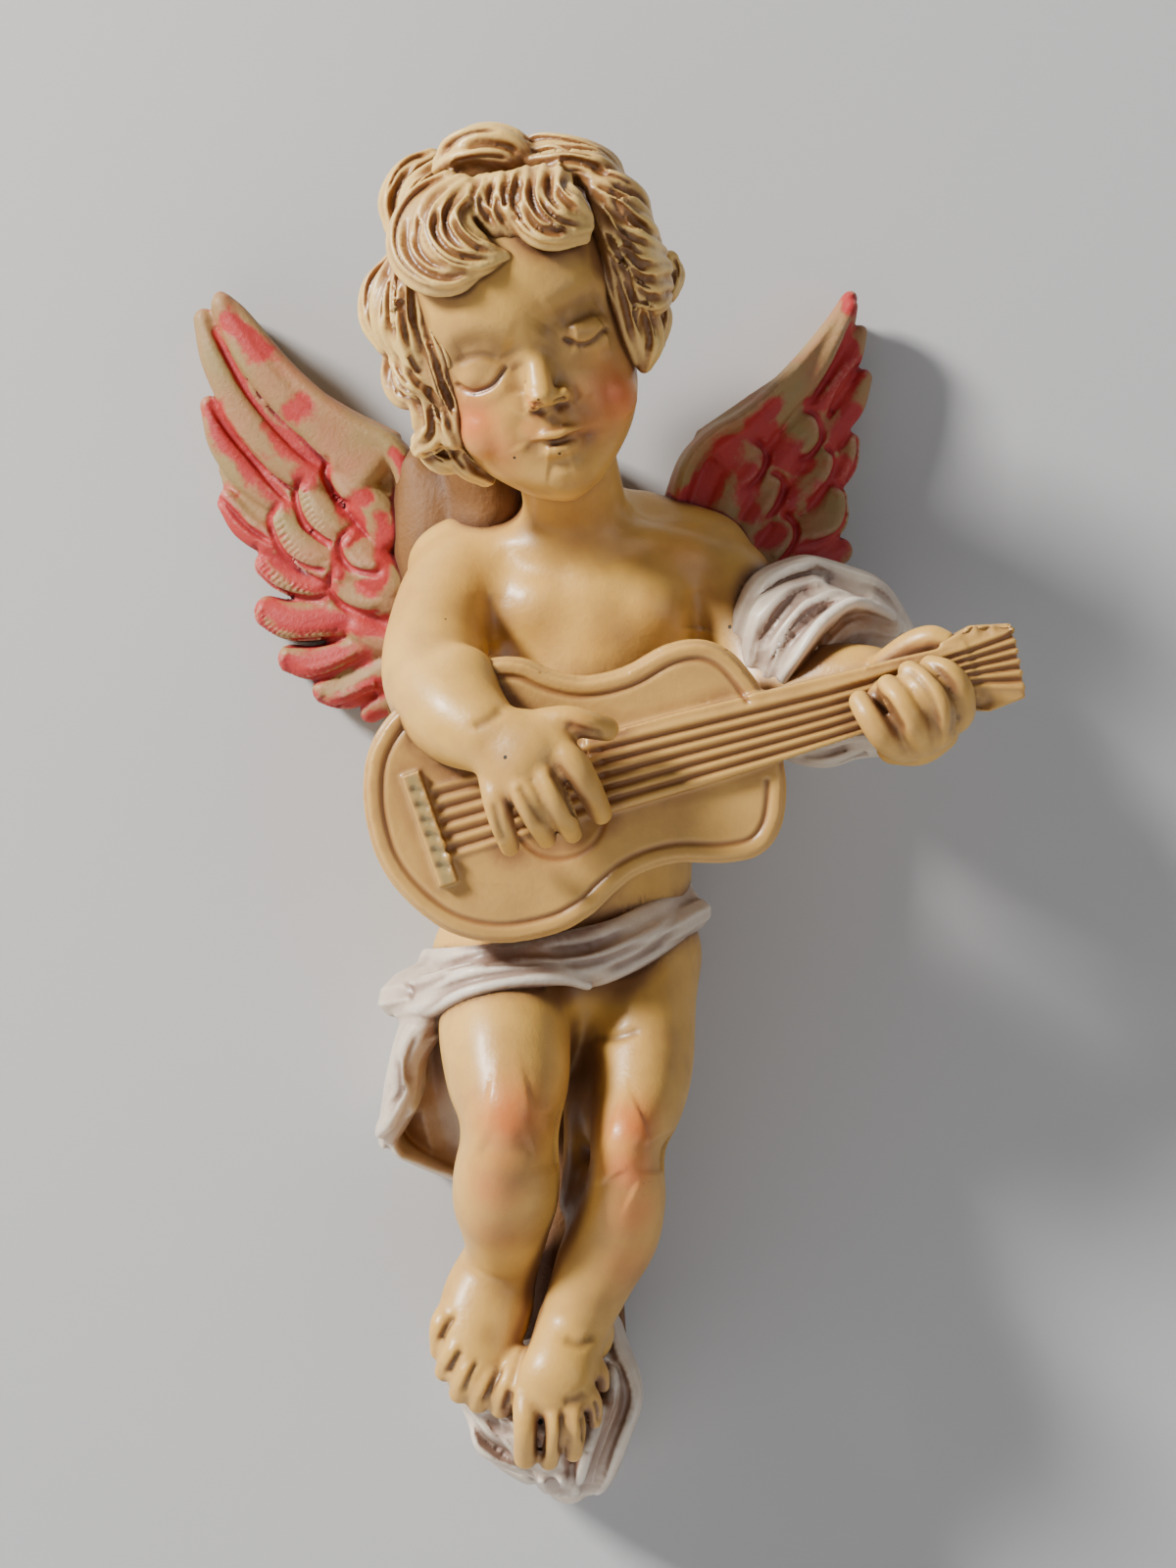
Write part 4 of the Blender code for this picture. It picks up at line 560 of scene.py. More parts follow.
def legs():
    """Thigh to ankle, the viewer-right leg crossing in front at the ankle."""
    return [
        tube([(-11.4, 16, -66.3, 12.5, 14), (-10.7, 26, -73, 11.2, 13), (-10.1, 36, -77.3, 10.9, 12.5),
            (-9.4, 42, -83.5, 10, 11.5), (-8.9, 46, -87.8, 8.4, 9.5), (-8.9, 47, -91.5, 7.7, 8.8),
            (-9.5, 44, -96.7, 8.6, 9.2), (-10, 39, -102.6, 8.8, 9.4), (-10.1, 35, -108.1, 7.4, 8),
            (-10.5, 31, -113.4, 6.4, 7), (-11.6, 29, -118.7, 6.4, 6.8)], sides=28),
        ball((-8.7, 50, -88.9), (6.2, 5.8, 7)),
        tube([(12.8, 16, -64.6, 10.6, 14), (12.8, 22, -72, 9.2, 13), (12.2, 29, -81.9, 9, 12),
            (11.3, 35, -88.1, 7.9, 10), (9.9, 40, -93, 6.2, 8.2), (9.9, 41, -97.2, 6.1, 8), (9.4, 38, -102.8, 7, 8.4),
            (7.9, 36, -108.6, 7.6, 8.4), (5.4, 35, -113.9, 7.2, 8), (3.2, 35, -119.1, 6.5, 7.2),
            (1.4, 35, -123.3, 6.1, 6.6)], sides=28),
        ball((10, 45, -94.4), (5, 4.8, 6.6)),
        # the web between the legs
        tube([(1.8, 25, -80.6, 3, 4), (2.2, 27, -88.6, 3, 5), (2.2, 28, -97.5, 3, 5), (1.4, 30, -105.4, 3, 5)]),
    ]


def feet():
    """Ankle to the ball of each foot."""
    return [
        tube([(-11.3, 28, -114.9, 6.4, 6.4), (-12.8, 31, -119.6, 7.6, 6.6), (-14, 34, -124.2, 7.6, 5.6),
            (-14.6, 36, -128.6, 6.6, 4.6), (-14.6, 36, -131.2, 6, 3.8)], sides=24),
        tube([(1.4, 34, -123.5, 6.1, 6.2), (-0.2, 38, -127.8, 6, 5.8), (-1.4, 41, -131, 6.2, 5),
            (-2.2, 42, -134.2, 6.2, 3.8)], sides=24),
        ball((3.5, 29, -126.6), (4.5, 7, 5.5)),
    ]


# the toes of both feet
TOES = [
    [(-18.9, 33, -122, 2.4), (-20.4, 36, -124.1, 2.2), (-21, 34, -128.7, 1.7)],
    [(-16.2, 35, -125.3, 2.4), (-18.2, 38, -128.1, 2.2), (-20.1, 35, -131.9, 1.8)],
    [(-13.9, 36, -127.3, 2.4), (-16, 39, -131.1, 2.2), (-17.6, 36, -135.2, 1.9)],
    [(-11.7, 36, -129.2, 2.4), (-13.3, 39, -133, 2.2), (-14.6, 36, -136.8, 1.9)],
    [(-8.1, 37, -129.7, 2.8), (-9.6, 40, -133.4, 2.4), (-10.7, 37, -137.2, 2.1)],
    [(-6.4, 42, -134.2, 2.6), (-6.6, 44, -138.7, 2), (-6.7, 40, -144.8, 2)],
    [(-2.5, 43, -135.3, 2), (-1.7, 44.5, -139, 1.7), (-2.9, 40, -145.3, 1.7)],
    [(0.3, 43, -134.6, 1.9), (1.6, 44, -138.5, 1.6), (1.1, 40, -144, 1.6)],
    [(2.9, 42, -133, 1.8), (4.5, 42, -135.5, 1.4), (4.5, 39, -139.1, 1.3)],
    [(4.5, 39, -129.8, 1.8), (5.7, 39, -131.4, 1.3), (5.9, 37, -133.8, 1.2)],
]


def head_frame():
    """Head-local x, out and z from between the eyes, tilted to the shoulder and bowed."""
    tilt = (
        Matrix.Rotation(math.radians(-HEAD_TILT), 3, "Y")
        @ Matrix.Rotation(math.radians(HEAD_BOW), 3, "X")
        @ Matrix.Rotation(math.radians(HEAD_TURN), 3, "Z")
    )
    centre = Vector(world(BETWEEN_EYES).tolist()) - tilt @ Vector((0, -15, 0))
    return Matrix.Translation(centre) @ tilt.to_4x4()


def head():
    """The egg of the head, a ring to each height from the eye line: front, half width and back."""
    profile = [
        (28.5, -2, 3, 3), (26, 6, 11, 10), (21, 12.5, 15, 15.5), (15, 16.2, 16.8, 19), (9, 17.4, 17.2, 21),
        (4, 16.9, 17, 22), (0, 15.4, 16.7, 22), (-4, 15.2, 16.5, 20), (-8, 15.9, 16.2, 17), (-12, 16.2, 15.1, 13),
        (-16, 15.2, 13, 9), (-19.5, 15, 9.8, 4), (-22.5, 13.4, 6.2, -1), (-24.3, 9.5, 2.4, -4),
    ]
    sides = 64
    turn = np.arange(sides) * 2 * math.pi / sides
    c, s = np.cos(turn), np.sin(turn)
    rings = []
    for up, front, half, back in curve(profile, 5):
        out = np.where(c > 0, front, back) * np.sign(c) * np.abs(c) ** 0.85
        side = half * np.sign(s) * np.abs(s) ** 0.9
        rings.append(np.stack([side, -out, np.full(sides, up)], axis=-1))
    poles = [rings[0].mean(axis=0) + (0, 0, 0.6), rings[-1].mean(axis=0) - (0, 0, 0.6)]
    return [(np.vstack(rings + [poles]), ring_faces(len(rings), sides)[:, ::-1])]


def features():
    """Nose, closed lids and lips; head-local."""
    soft = [
        tube([(-0.1, 14.3, 3.4, 2.2, 1.5), (-0.3, 15.2, -0.3, 2.1, 1.6), (-0.8, 16.6, -3.2, 2.3, 2),
            (-1.1, 17.7, -5, 2.4, 2.1)]),
        ball((-1.3, 18.6, -5.5), (2.1, 1.9, 1.6)),
        ball((-0.2, 17.6, -6.3), (2.6, 1.5, 1), tilt=(0, 6, 0)),
        ball((-2.5, 16.4, -6.5), (1.3, 1.6, 1.2)),
        ball((2.4, 16.6, -6.3), (1.4, 1.8, 1.3)),
        ball((-8.4, 10.3, -0.3), (4.6, 3.5, 3.1), tilt=(0, -4, 0)),
        ball((8.1, 10.9, 0), (4.3, 3.6, 3), tilt=(0, 4, 0)),
        ball((0.4, 12.6, -17.6), (4.2, 3.4, 3.4)),
        ball((-9.3, 8.6, -9.5), (5.4, 5, 5.6)),
        ball((9.3, 8.6, -9.5), (5.4, 5, 5.6)),
    ]
    crisp = [
        tube([(-4.9, 14.2, -13.1, 0.5, 0.5), (-2.4, 15.5, -12.2, 0.9, 1.1), (0, 16.1, -12.1, 1, 1.1),
            (2.4, 15.5, -12.2, 0.9, 1.1), (4.9, 14.2, -13, 0.5, 0.5)]),
        tube([(-3.2, 14.4, -14.1, 0.7, 0.8), (-1.3, 15.3, -14.5, 1.1, 1.2), (1.3, 15.3, -14.5, 1.1, 1.2),
            (3.2, 14.4, -14.1, 0.7, 0.8)]),
    ]
    return soft, crisp


# locks that frame the face: x, out, z and radius along each
LOCKS = [
    # knot on the crown
    [(-19.1, 50, 63.2, 2.5), (-16.3, 53, 64, 4.3), (-12.6, 54, 64.7, 4.8), (-8.8, 54, 64.2, 4.2), (-7, 53, 62.8, 2.5)],
    [(-22.1, 40, 66.6, 2.2), (-25.5, 41, 64.2, 3), (-27.7, 42, 59.6, 3), (-27.9, 43, 55.1, 1.8)],
    [(-20.2, 44, 63.7, 2.6), (-23.3, 46, 60.1, 3.2), (-24.7, 48, 55.9, 2.6)],
    # fringe on the viewer's left
    [(-18.5, 56, 58.7, 2.6), (-22.3, 56, 55.8, 3.4), (-24.5, 57, 51.4, 3.6), (-24.1, 59, 47, 3.5),
        (-21.2, 61, 43.8, 3.2), (-17.1, 62, 42.9, 2.6), (-13.4, 62, 44.5, 1.6)],
    [(-16.2, 59, 57.4, 2.6), (-19.5, 60, 54.1, 3.4), (-20.3, 61, 50.2, 3.4), (-17.8, 63, 46.5, 3.2),
        (-13.7, 63, 45.4, 2.6), (-9.5, 62, 46.4, 1.3)],
    [(-15.2, 60, 56.2, 2.4), (-17.1, 62, 52.6, 2.9), (-16.1, 63, 49.5, 2.9), (-13.1, 63, 47.2, 2.4),
        (-10.4, 62, 46.7, 1.4)],
    [(-12.5, 59, 58, 2.2), (-13.3, 61, 54.5, 2.4), (-10.9, 61, 50.5, 1.4)],
    [(-10.2, 60, 58, 2.2), (-10.6, 61.5, 54.2, 2.4), (-8.9, 61, 50.5, 1.4)],
    [(-7.9, 60, 58.3, 2.2), (-8.6, 62, 54.8, 2.4), (-7, 61, 50.5, 1.4)],
    # fringe on the viewer's right
    [(-6.3, 59, 58.9, 2.4), (-6.5, 62, 54.7, 2.9), (-4.8, 63, 51.1, 3), (-1.9, 63, 49.5, 2.6), (2.6, 61, 49.8, 1.5)],
    [(-3.5, 59, 59.3, 2.4), (-4.1, 62, 55.4, 2.9), (-2.2, 64, 52.1, 2.9), (0.3, 63, 50.8, 2.5), (3, 62, 51.1, 1.6)],
    [(-1.2, 59, 59.5, 2.4), (-1.2, 62, 56.2, 2.8), (0.6, 63, 54, 2.8), (2.6, 62, 52.4, 2)],
    # crown
    [(-6.8, 50, 65.4, 2.6), (-3, 52, 65.4, 3), (2, 53, 64.3, 3), (6, 51, 63, 2.8), (7.9, 49, 61.3, 2)],
    [(-5, 54, 62.6, 2.6), (-0.3, 56, 62.4, 3.2), (4.3, 56, 61.4, 3.2), (8.2, 52, 59.9, 2)],
    # temple on the viewer's right
    [(4.3, 57, 59.4, 2.4), (7.8, 57, 58, 3), (10.6, 54, 56.7, 2.8), (12.2, 51, 54.9, 1.8)],
    [(5.3, 58, 57.1, 2.4), (8.5, 58, 54.8, 3), (11.5, 55, 52.5, 3), (13.5, 51, 51.2, 1.8)],
    [(5.9, 58, 55.5, 2.4), (8.1, 58, 51.8, 2.9), (11.2, 56, 49.5, 2.9), (14.5, 51, 49.3, 1.8)],
    [(7.2, 57, 51.4, 2.2), (9, 57, 48.3, 2.8), (12, 55, 46.4, 2.8), (15.3, 51, 46.8, 1.9)],
    [(8.1, 56, 48.2, 2.2), (10.3, 55, 45.1, 2.8), (12.9, 53, 43.9, 2.7), (15.5, 49, 44.7, 1.9)],
    [(9.7, 54, 44.6, 2), (11.5, 53, 42.4, 2.6), (13.9, 51, 41.7, 2.4), (15.6, 47, 42.9, 1.7)],
    [(16.9, 40, 50.3, 1.8), (17.4, 40, 47.9, 2.1), (16.7, 42, 44.5, 1.6)],
    [(11, 50, 42.3, 2), (12.6, 49, 39.2, 2.5), (13.4, 48, 35.5, 2.4), (12.6, 46, 32.4, 1.5)],
    [(13.9, 45, 43.1, 2.2), (14.9, 44, 40.2, 2.4), (14.3, 44, 36.2, 1.8)],
    # under the locks, along the edge of the face
    [(4.6, 54, 52.1, 2.2), (6.6, 54, 48.7, 3), (8.5, 53, 43.6, 3.2), (10, 50, 38.3, 3), (11, 47, 33.8, 2)],
    [(-23.7, 54, 45, 2.2), (-22.8, 53, 39.6, 3), (-21.8, 52, 34.8, 3), (-20.1, 51, 29.7, 2.8), (-18.4, 49, 24.4, 2.4),
        (-17.2, 47, 20.9, 1.8)],
    # side on the viewer's left, down to the nape
    [(-27.8, 46, 47.8, 2.6), (-30, 46, 44.5, 3.2), (-30.4, 46, 39.8, 3), (-28.7, 47, 35.4, 2)],
    [(-26.3, 50, 47, 2.8), (-27.8, 51, 43.1, 3.2), (-27.8, 51, 38.1, 3.2), (-26.4, 50, 33.6, 2)],
    [(-24.8, 53, 46.1, 2.6), (-25.4, 54, 41.9, 3), (-25.3, 53, 37, 3), (-24.3, 52, 32, 1.8)],
    [(-27.4, 45, 33.5, 2.4), (-27.4, 45, 30.4, 2.6), (-25.9, 46, 27.7, 2.6), (-23.5, 47, 26.9, 1.8)],
    [(-25.9, 49, 32.2, 2.6), (-24.3, 50, 29.5, 2.9), (-22.1, 50, 27.4, 2)],
    [(-23.5, 47, 27.8, 2.6), (-21.9, 47, 24.4, 3.2), (-21.7, 46, 21.1, 3), (-23.4, 44, 19.4, 2)],
    [(-20.9, 49, 28.1, 2.6), (-19.2, 49, 24.4, 3), (-18, 48, 20.5, 2.2)],
    [(-23.1, 41, 20.5, 2.4), (-20.1, 41, 18.2, 3), (-16.3, 41, 18.2, 2.2)],
    [(-17.7, 44, 20.1, 2.6), (-15.9, 42, 17.2, 2.8), (-13.2, 39, 15.3, 1.9)],
]


def locks(lobes, lobe_depth, sides):
    """The locks that frame the face, each a curled tube with strands."""
    shape = {"sides": sides, "lobes": lobes, "lobe_depth": lobe_depth}
    return [tube(row, turns=0.12 * (-1) ** i, **shape) for i, row in enumerate(LOCKS)]


def back_locks(lobes, lobe_depth, sides):
    """Plainer locks in rows round the back of the head, over a cap."""
    shape = {"sides": sides, "lobes": lobes, "lobe_depth": lobe_depth}
    clay = [ball((0, -4, 9), (17.8, 19.5, 18.4), sides=40)]
    for row, (lift, count) in enumerate([(62, 7), (38, 11), (14, 13), (-10, 12), (-32, 9)]):
        for i in range(count):
            turn = math.radians(78 + (204 / (count - 1)) * i + 8 * (row % 2))
            line = []
            for s, r in ((0.0, 2.6), (0.34, 3.3), (0.67, 3.1), (1.0, 1.8)):
                a = turn + 0.3 * math.sin(3.0 * s + row) * (-1) ** i
                e = math.radians(lift) + 0.25 - 0.62 * s
                level = math.cos(e)
                line.append((17 * level * math.sin(a), 20.5 * level * math.cos(a) - 3, 17.4 * math.sin(e) + 9, r))
            clay.append(tube(line, facing=(math.sin(turn), -math.cos(turn), 0.2), **shape))
    # down the nape, on the lower half of the egg
    for i in range(11):
        turn = math.radians(118 + 12.4 * i)
        line = []
        for down, r in ((1, 1.9), (6, 2.4), (11, 2.2), (15, 1.2)):
            half = np.interp(down, (0, 4, 8, 12, 16), (16.7, 16.5, 16.2, 15.1, 13))
            back = np.interp(down, (0, 4, 8, 12, 16), (22, 20, 17, 13, 9))
            a = turn + 0.14 * math.sin(0.3 * down) * (-1) ** i
            line.append((half * math.sin(a), back * math.cos(a), -down, r))
        clay.append(tube(line, facing=(math.sin(turn), -math.cos(turn), 0), **shape))
    return moved(clay, head_frame())


def feathers(rows, facing, sides=12):
    """Flat blades down to the wall, each with its half thickness and its line from tip to root."""
    clay = []
    for thick, line in rows:
        row = np.column_stack([line, np.broadcast_to(thick, len(line))]).astype(float)
        clay.append(tube(row, facing=facing, sides=sides))
        under = row.copy()
        under[:, 1] = row[:, 1] / 2 - 0.5
        under[:, 3] = row[:, 3] * 0.94
        under[:, 4] = row[:, 1] / 2 + 0.5
        clay.append(tube(under, sides=sides))
    return clay


def wing_left():
    """The wing on the viewer's left: flight feathers, coverts and the leading edge."""
    flight = [
        (2.6, [(-60.4, 9.5, 48.8, 2.2), (-54.4, 10.5, 40, 3.5), (-48.2, 11, 32.8, 4), (-41.3, 11.5, 27.2, 4.8),
            (-33.2, 12, 21.3, 6.5)]),
        (2.4, [(-63.9, 7.5, 46.6, 2.1), (-61.4, 8.5, 39.3, 3.1), (-56.7, 9, 31, 3.6), (-50.8, 9.5, 23.9, 3.8),
            (-43.7, 10, 18.2, 3.8)]),
        (2.3, [(-63.2, 6.5, 31.7, 1.8), (-60.7, 7, 25.4, 2.9), (-56.5, 7.5, 19.8, 3.2), (-50.8, 8, 15.3, 3.2),
            (-44.7, 8.5, 11.8, 3.2)]),
        (2.2, [(-59.7, 6, 14.8, 2.4), (-56.5, 6.5, 10.8, 3.1), (-51.8, 7, 7.8, 3.1), (-46.5, 7.5, 5.5, 3)]),
        (2.4, [(-53.2, 6.5, 3.5, 2.2), (-49.5, 7, 1.3, 2.9), (-43.6, 7.5, -0.5, 2.9), (-38.7, 8, -1.2, 2.9)]),
        (2.6, [(-52.9, 6, -4.5, 2.9), (-48, 7, -6.2, 3.7), (-41, 7.5, -5.9, 3.5), (-34.4, 8, -4.9, 3.3)]),
        (2.6, [(-48.8, 6, -12.8, 2.5), (-43.6, 7, -13.6, 3.3), (-37.2, 7.5, -11.2, 3.3), (-31, 8, -8.8, 3.2)]),
        (2.6, [(-42.9, 6, -18.4, 2.3), (-38.8, 7, -18.8, 3.1), (-33.1, 7.5, -15.7, 3.1), (-28.4, 8, -12.9, 3)]),
        (2.4, [(-34.9, 6, -22.5, 1.8), (-32.5, 6.5, -20.5, 2.6), (-29.3, 7, -17.7, 2.8)]),
        ((3, 3.5, 4, 4), [(-59.1, 4, 21, 3), (-55.2, 4.5, 15.4, 5), (-48.5, 5, 9.2, 6), (-38.1, 5.5, 1.4, 6)]),
        ((3, 3, 3.2, 3.2, 3.2), [(-60.5, 4, 44.1, 2.5), (-55.1, 5.5, 35.2, 3), (-49.7, 7, 28.2, 4),
            (-44.4, 7.5, 22.3, 4), (-40.4, 8, 15.8, 4)]),
    ]
    coverts = [
        (2.4, [(-39.8, 10.5, 19.8, 2.2), (-37.2, 11.5, 16.6, 3.2), (-33.7, 12, 12.8, 3.5), (-30.6, 12, 8.5, 3.5)]),
        (2.4, [(-45.3, 9.5, 16.5, 2.4), (-42.8, 10.5, 12.5, 3.3), (-39.4, 11, 8.6, 3.3), (-35.5, 11, 5, 3)]),
        (2.4, [(-50, 8.5, 11.6, 2.6), (-46.1, 9.5, 6.9, 3.6), (-42.3, 10, 4.1, 3.5), (-38, 10, 1.9, 3)]),
        (2.4, [(-38, 10.5, 8.2, 2.6), (-35.5, 11.5, 4.7, 3.7), (-32.7, 12, 1.9, 3.8), (-29.8, 12, -0.5, 3.5)]),
        (2.4, [(-39.8, 9.5, 0.4, 2.6), (-35.2, 10.5, -2.1, 3.4), (-31.1, 11, -2.5, 3.3), (-28.2, 11, -1.8, 3)]),
        (2.4, [(-36.4, 9, -7.8, 2.6), (-32.9, 9.5, -9.2, 2.9), (-29.4, 10, -10.1, 2.9)]),
    ]
    edge = [(-60.8, 9, 49.9, 1.5, 1.9), (-57.2, 10, 46.6, 1.7, 2), (-50.1, 11, 38.1, 1.8, 2.1),
        (-43.1, 12, 31.4, 1.9, 2.1), (-36.7, 12.5, 26.9, 2, 2.2),
            (-31.1, 13, 23.9, 2.1, 2.2), (-28.4, 13, 19.8, 2.2, 2.3), (-27.2, 12.5, 14.5, 2.3, 2.4),
                (-26.9, 12, 6.7, 2.4, 2.4), (-27.6, 11, -2.5, 2.5, 2.5)]
    web = [(-31.3, 4, 20.6, 5, 8), (-30.4, 4, 10.2, 5, 8), (-31.3, 4, -0.2, 5, 8), (-30.4, 4, -10.7, 4, 7)]
    return feathers(flight + coverts, (-0.15, -1, 0.32)) + tubes([edge, web], 12)


def wing_right():
    """The wing on the viewer's right, seen against its thick leading edge."""
    flight = [
        (2.4, [(49.4, 8.5, 48.6, 1.4), (47.8, 9.5, 44.7, 2.2), (43.7, 11, 39.1, 2.8), (39, 12, 34.1, 3.2),
            (33.3, 13, 28.9, 4.2), (26.5, 13, 22.1, 6)]),
        (2.2, [(51.2, 7, 44.4, 1.5), (49.7, 7.5, 40.7, 2.3), (46.7, 8.5, 36.4, 2.8), (43.7, 9.5, 32, 2.8),
            (39.5, 10, 27.1, 2.8)]),
        (2.2, [(52, 6, 36.6, 1.7), (50, 6.5, 32.2, 2.6), (47.1, 7.5, 28.6, 2.8), (44.5, 8.5, 24.9, 2.8),
            (41, 9, 20.9, 2.8)]),
        (2.2, [(49.7, 6, 25.2, 1.9), (48.4, 6.5, 21.7, 2.8), (45.8, 7, 18.5, 2.9), (42.3, 8, 15, 2.8)]),
        (2.4, [(47.8, 6.5, 6.1, 2.5), (44.2, 7.5, 4.7, 3.3), (40, 8, 3.2, 3.2), (36.2, 8.5, 2, 3)]),
        (2.4, [(47.5, 6, 0.3, 2.5), (43.3, 6.5, -1.5, 3.3), (38, 7, -2.5, 3.2)]),
    ]
    coverts = [
        (2.3, [(42.3, 10, 28.1, 2.8), (39.6, 10.5, 24.8, 3.7), (36.9, 11, 21.1, 3.7), (33.4, 11.5, 16.6, 3.4)]),
        (2.3, [(45.7, 8.5, 22.5, 2), (43.2, 9.5, 18.7, 2.8), (39.9, 10, 15.4, 2.9), (36, 10.5, 12.6, 2.8)]),
        (2.4, [(46.7, 8, 15.3, 2.5), (45.8, 8.5, 11.8, 3.6), (42, 9.5, 8.8, 3.7), (37.8, 10, 6.8, 3.4)]),
        (2.3, [(32.6, 11.5, 23.5, 2.6), (30.8, 12.5, 19.6, 3.7), (28.7, 13, 15.4, 3.7), (26.5, 13, 11, 3.4)]),
        (2.3, [(35.9, 10.5, 17.8, 1.9), (33.9, 11.5, 13.9, 2.7), (32, 12, 10.4, 2.8), (30, 12, 6.8, 2.8)]),
        (2.4, [(37.7, 9.5, 10.5, 2.5), (36.2, 10.5, 6.8, 3.5), (32.9, 11, 3.7, 3.5), (29.5, 11, 0.9, 3.2)]),
        (2.4, [(27.1, 11.5, 22.1, 2.8), (24.7, 12, 17.6, 3.6), (23.3, 12, 13.1, 3.8), (23.7, 11.5, 8.1, 3.6)]),
    ]
    edge = [(49.5, 6, 50.3, 1.5, 3.5), (46.5, 7, 45.5, 1.7, 4.5), (40.5, 9, 37.9, 1.9, 6), (34.9, 10, 32.2, 2, 7),
        (30, 11, 28, 2.1, 8),
            (25.2, 11, 25.1, 2.2, 8.5), (21.8, 11, 21.6, 2.3, 8.8), (20, 10, 17.3, 2.4, 8.8),
                (18.8, 9, 11.4, 2.5, 8.5), (20.7, 8, 3.8, 3, 8)]
    web = [(26.1, 4, 17.2, 5, 8), (26.1, 4, 6.7, 7, 8), (33.1, 4, 1.5, 7, 7)]
    return feathers(flight + coverts, (0.25, -1, 0.1)) + tubes([edge, web], 12)


def guitar_frame():
    """Guitar-local x along the neck, out from its face and z across, about the middle of the lower bout."""
    x, out, z = GUITAR_CENTRE
    lift = Matrix.Rotation(math.radians(-GUITAR_RISE), 4, "Y")
    return Matrix.Translation((x, -out, z)) @ Matrix.Rotation(math.radians(GUITAR_LEAN), 4, "X") @ lift


def guitar_outline(inset=0.0):
    """Closed line of the body: along the neck, half width above and half width below."""
    stations = [
        (-20.3, 0, 0), (-19.6, 6.8, 5.6), (-17, 13.5, 11.6), (-12, 18.4, 17.8), (-4.5, 21.6, 21.6), (4.5, 22.9, 22.4),
        (10.5, 21.6, 21), (14.8, 18.4, 18.7), (19.6, 16.2, 16.6), (26, 16, 16.3), (33, 17.7, 18.2), (38.6, 17.3, 18.6),
        (42.6, 14.6, 16.4), (45.2, 10, 12), (46.6, 4.6, 5.8),
    ]
    rows = np.array(stations)
    line = np.vstack([rows[:, :2], np.column_stack([rows[:0:-1, 0], -rows[:0:-1, 2]])])
    loop = np.vstack([line[-1:], line, line[:2]])
    line = curve(loop, 4)[4:-4 - 1]
    side = unit(np.roll(line, -1, 0) - np.roll(line, 1, 0))
    return line + inset * np.stack([side[:, 1], -side[:, 0]], axis=-1)


def guitar():
    """Body, neck, headstock and bridge of the guitar."""
    body = guitar_outline(0.9)
    clay = [
        plate(guitar_outline(), -GUITAR_DEEP + 1.0, -0.9),
        plate(body, -GUITAR_DEEP, 0.0),
        strip([(17, 0.6), (32, 0.9), (61, 1.6), (79, 1.8)], [6.2, 6.1, 4.9, 4.4], -2.5, 1.6),
        strip([(45, 1.2), (62, 1.6), (77, 1.8)], [3.6, 3.2, 3], -6, 0),
        strip([(75, 1.6), (80.5, 1.5), (86.6, 1.2)], [5.4, 7, 6], -2.5, 1.2),
        strip([(-11.3, 8.5), (-10.6, -1), (-9.9, -10.2)], [1.5, 1.5, 1.5], -2, 1.5),
    ]
    return moved(clay, guitar_frame())


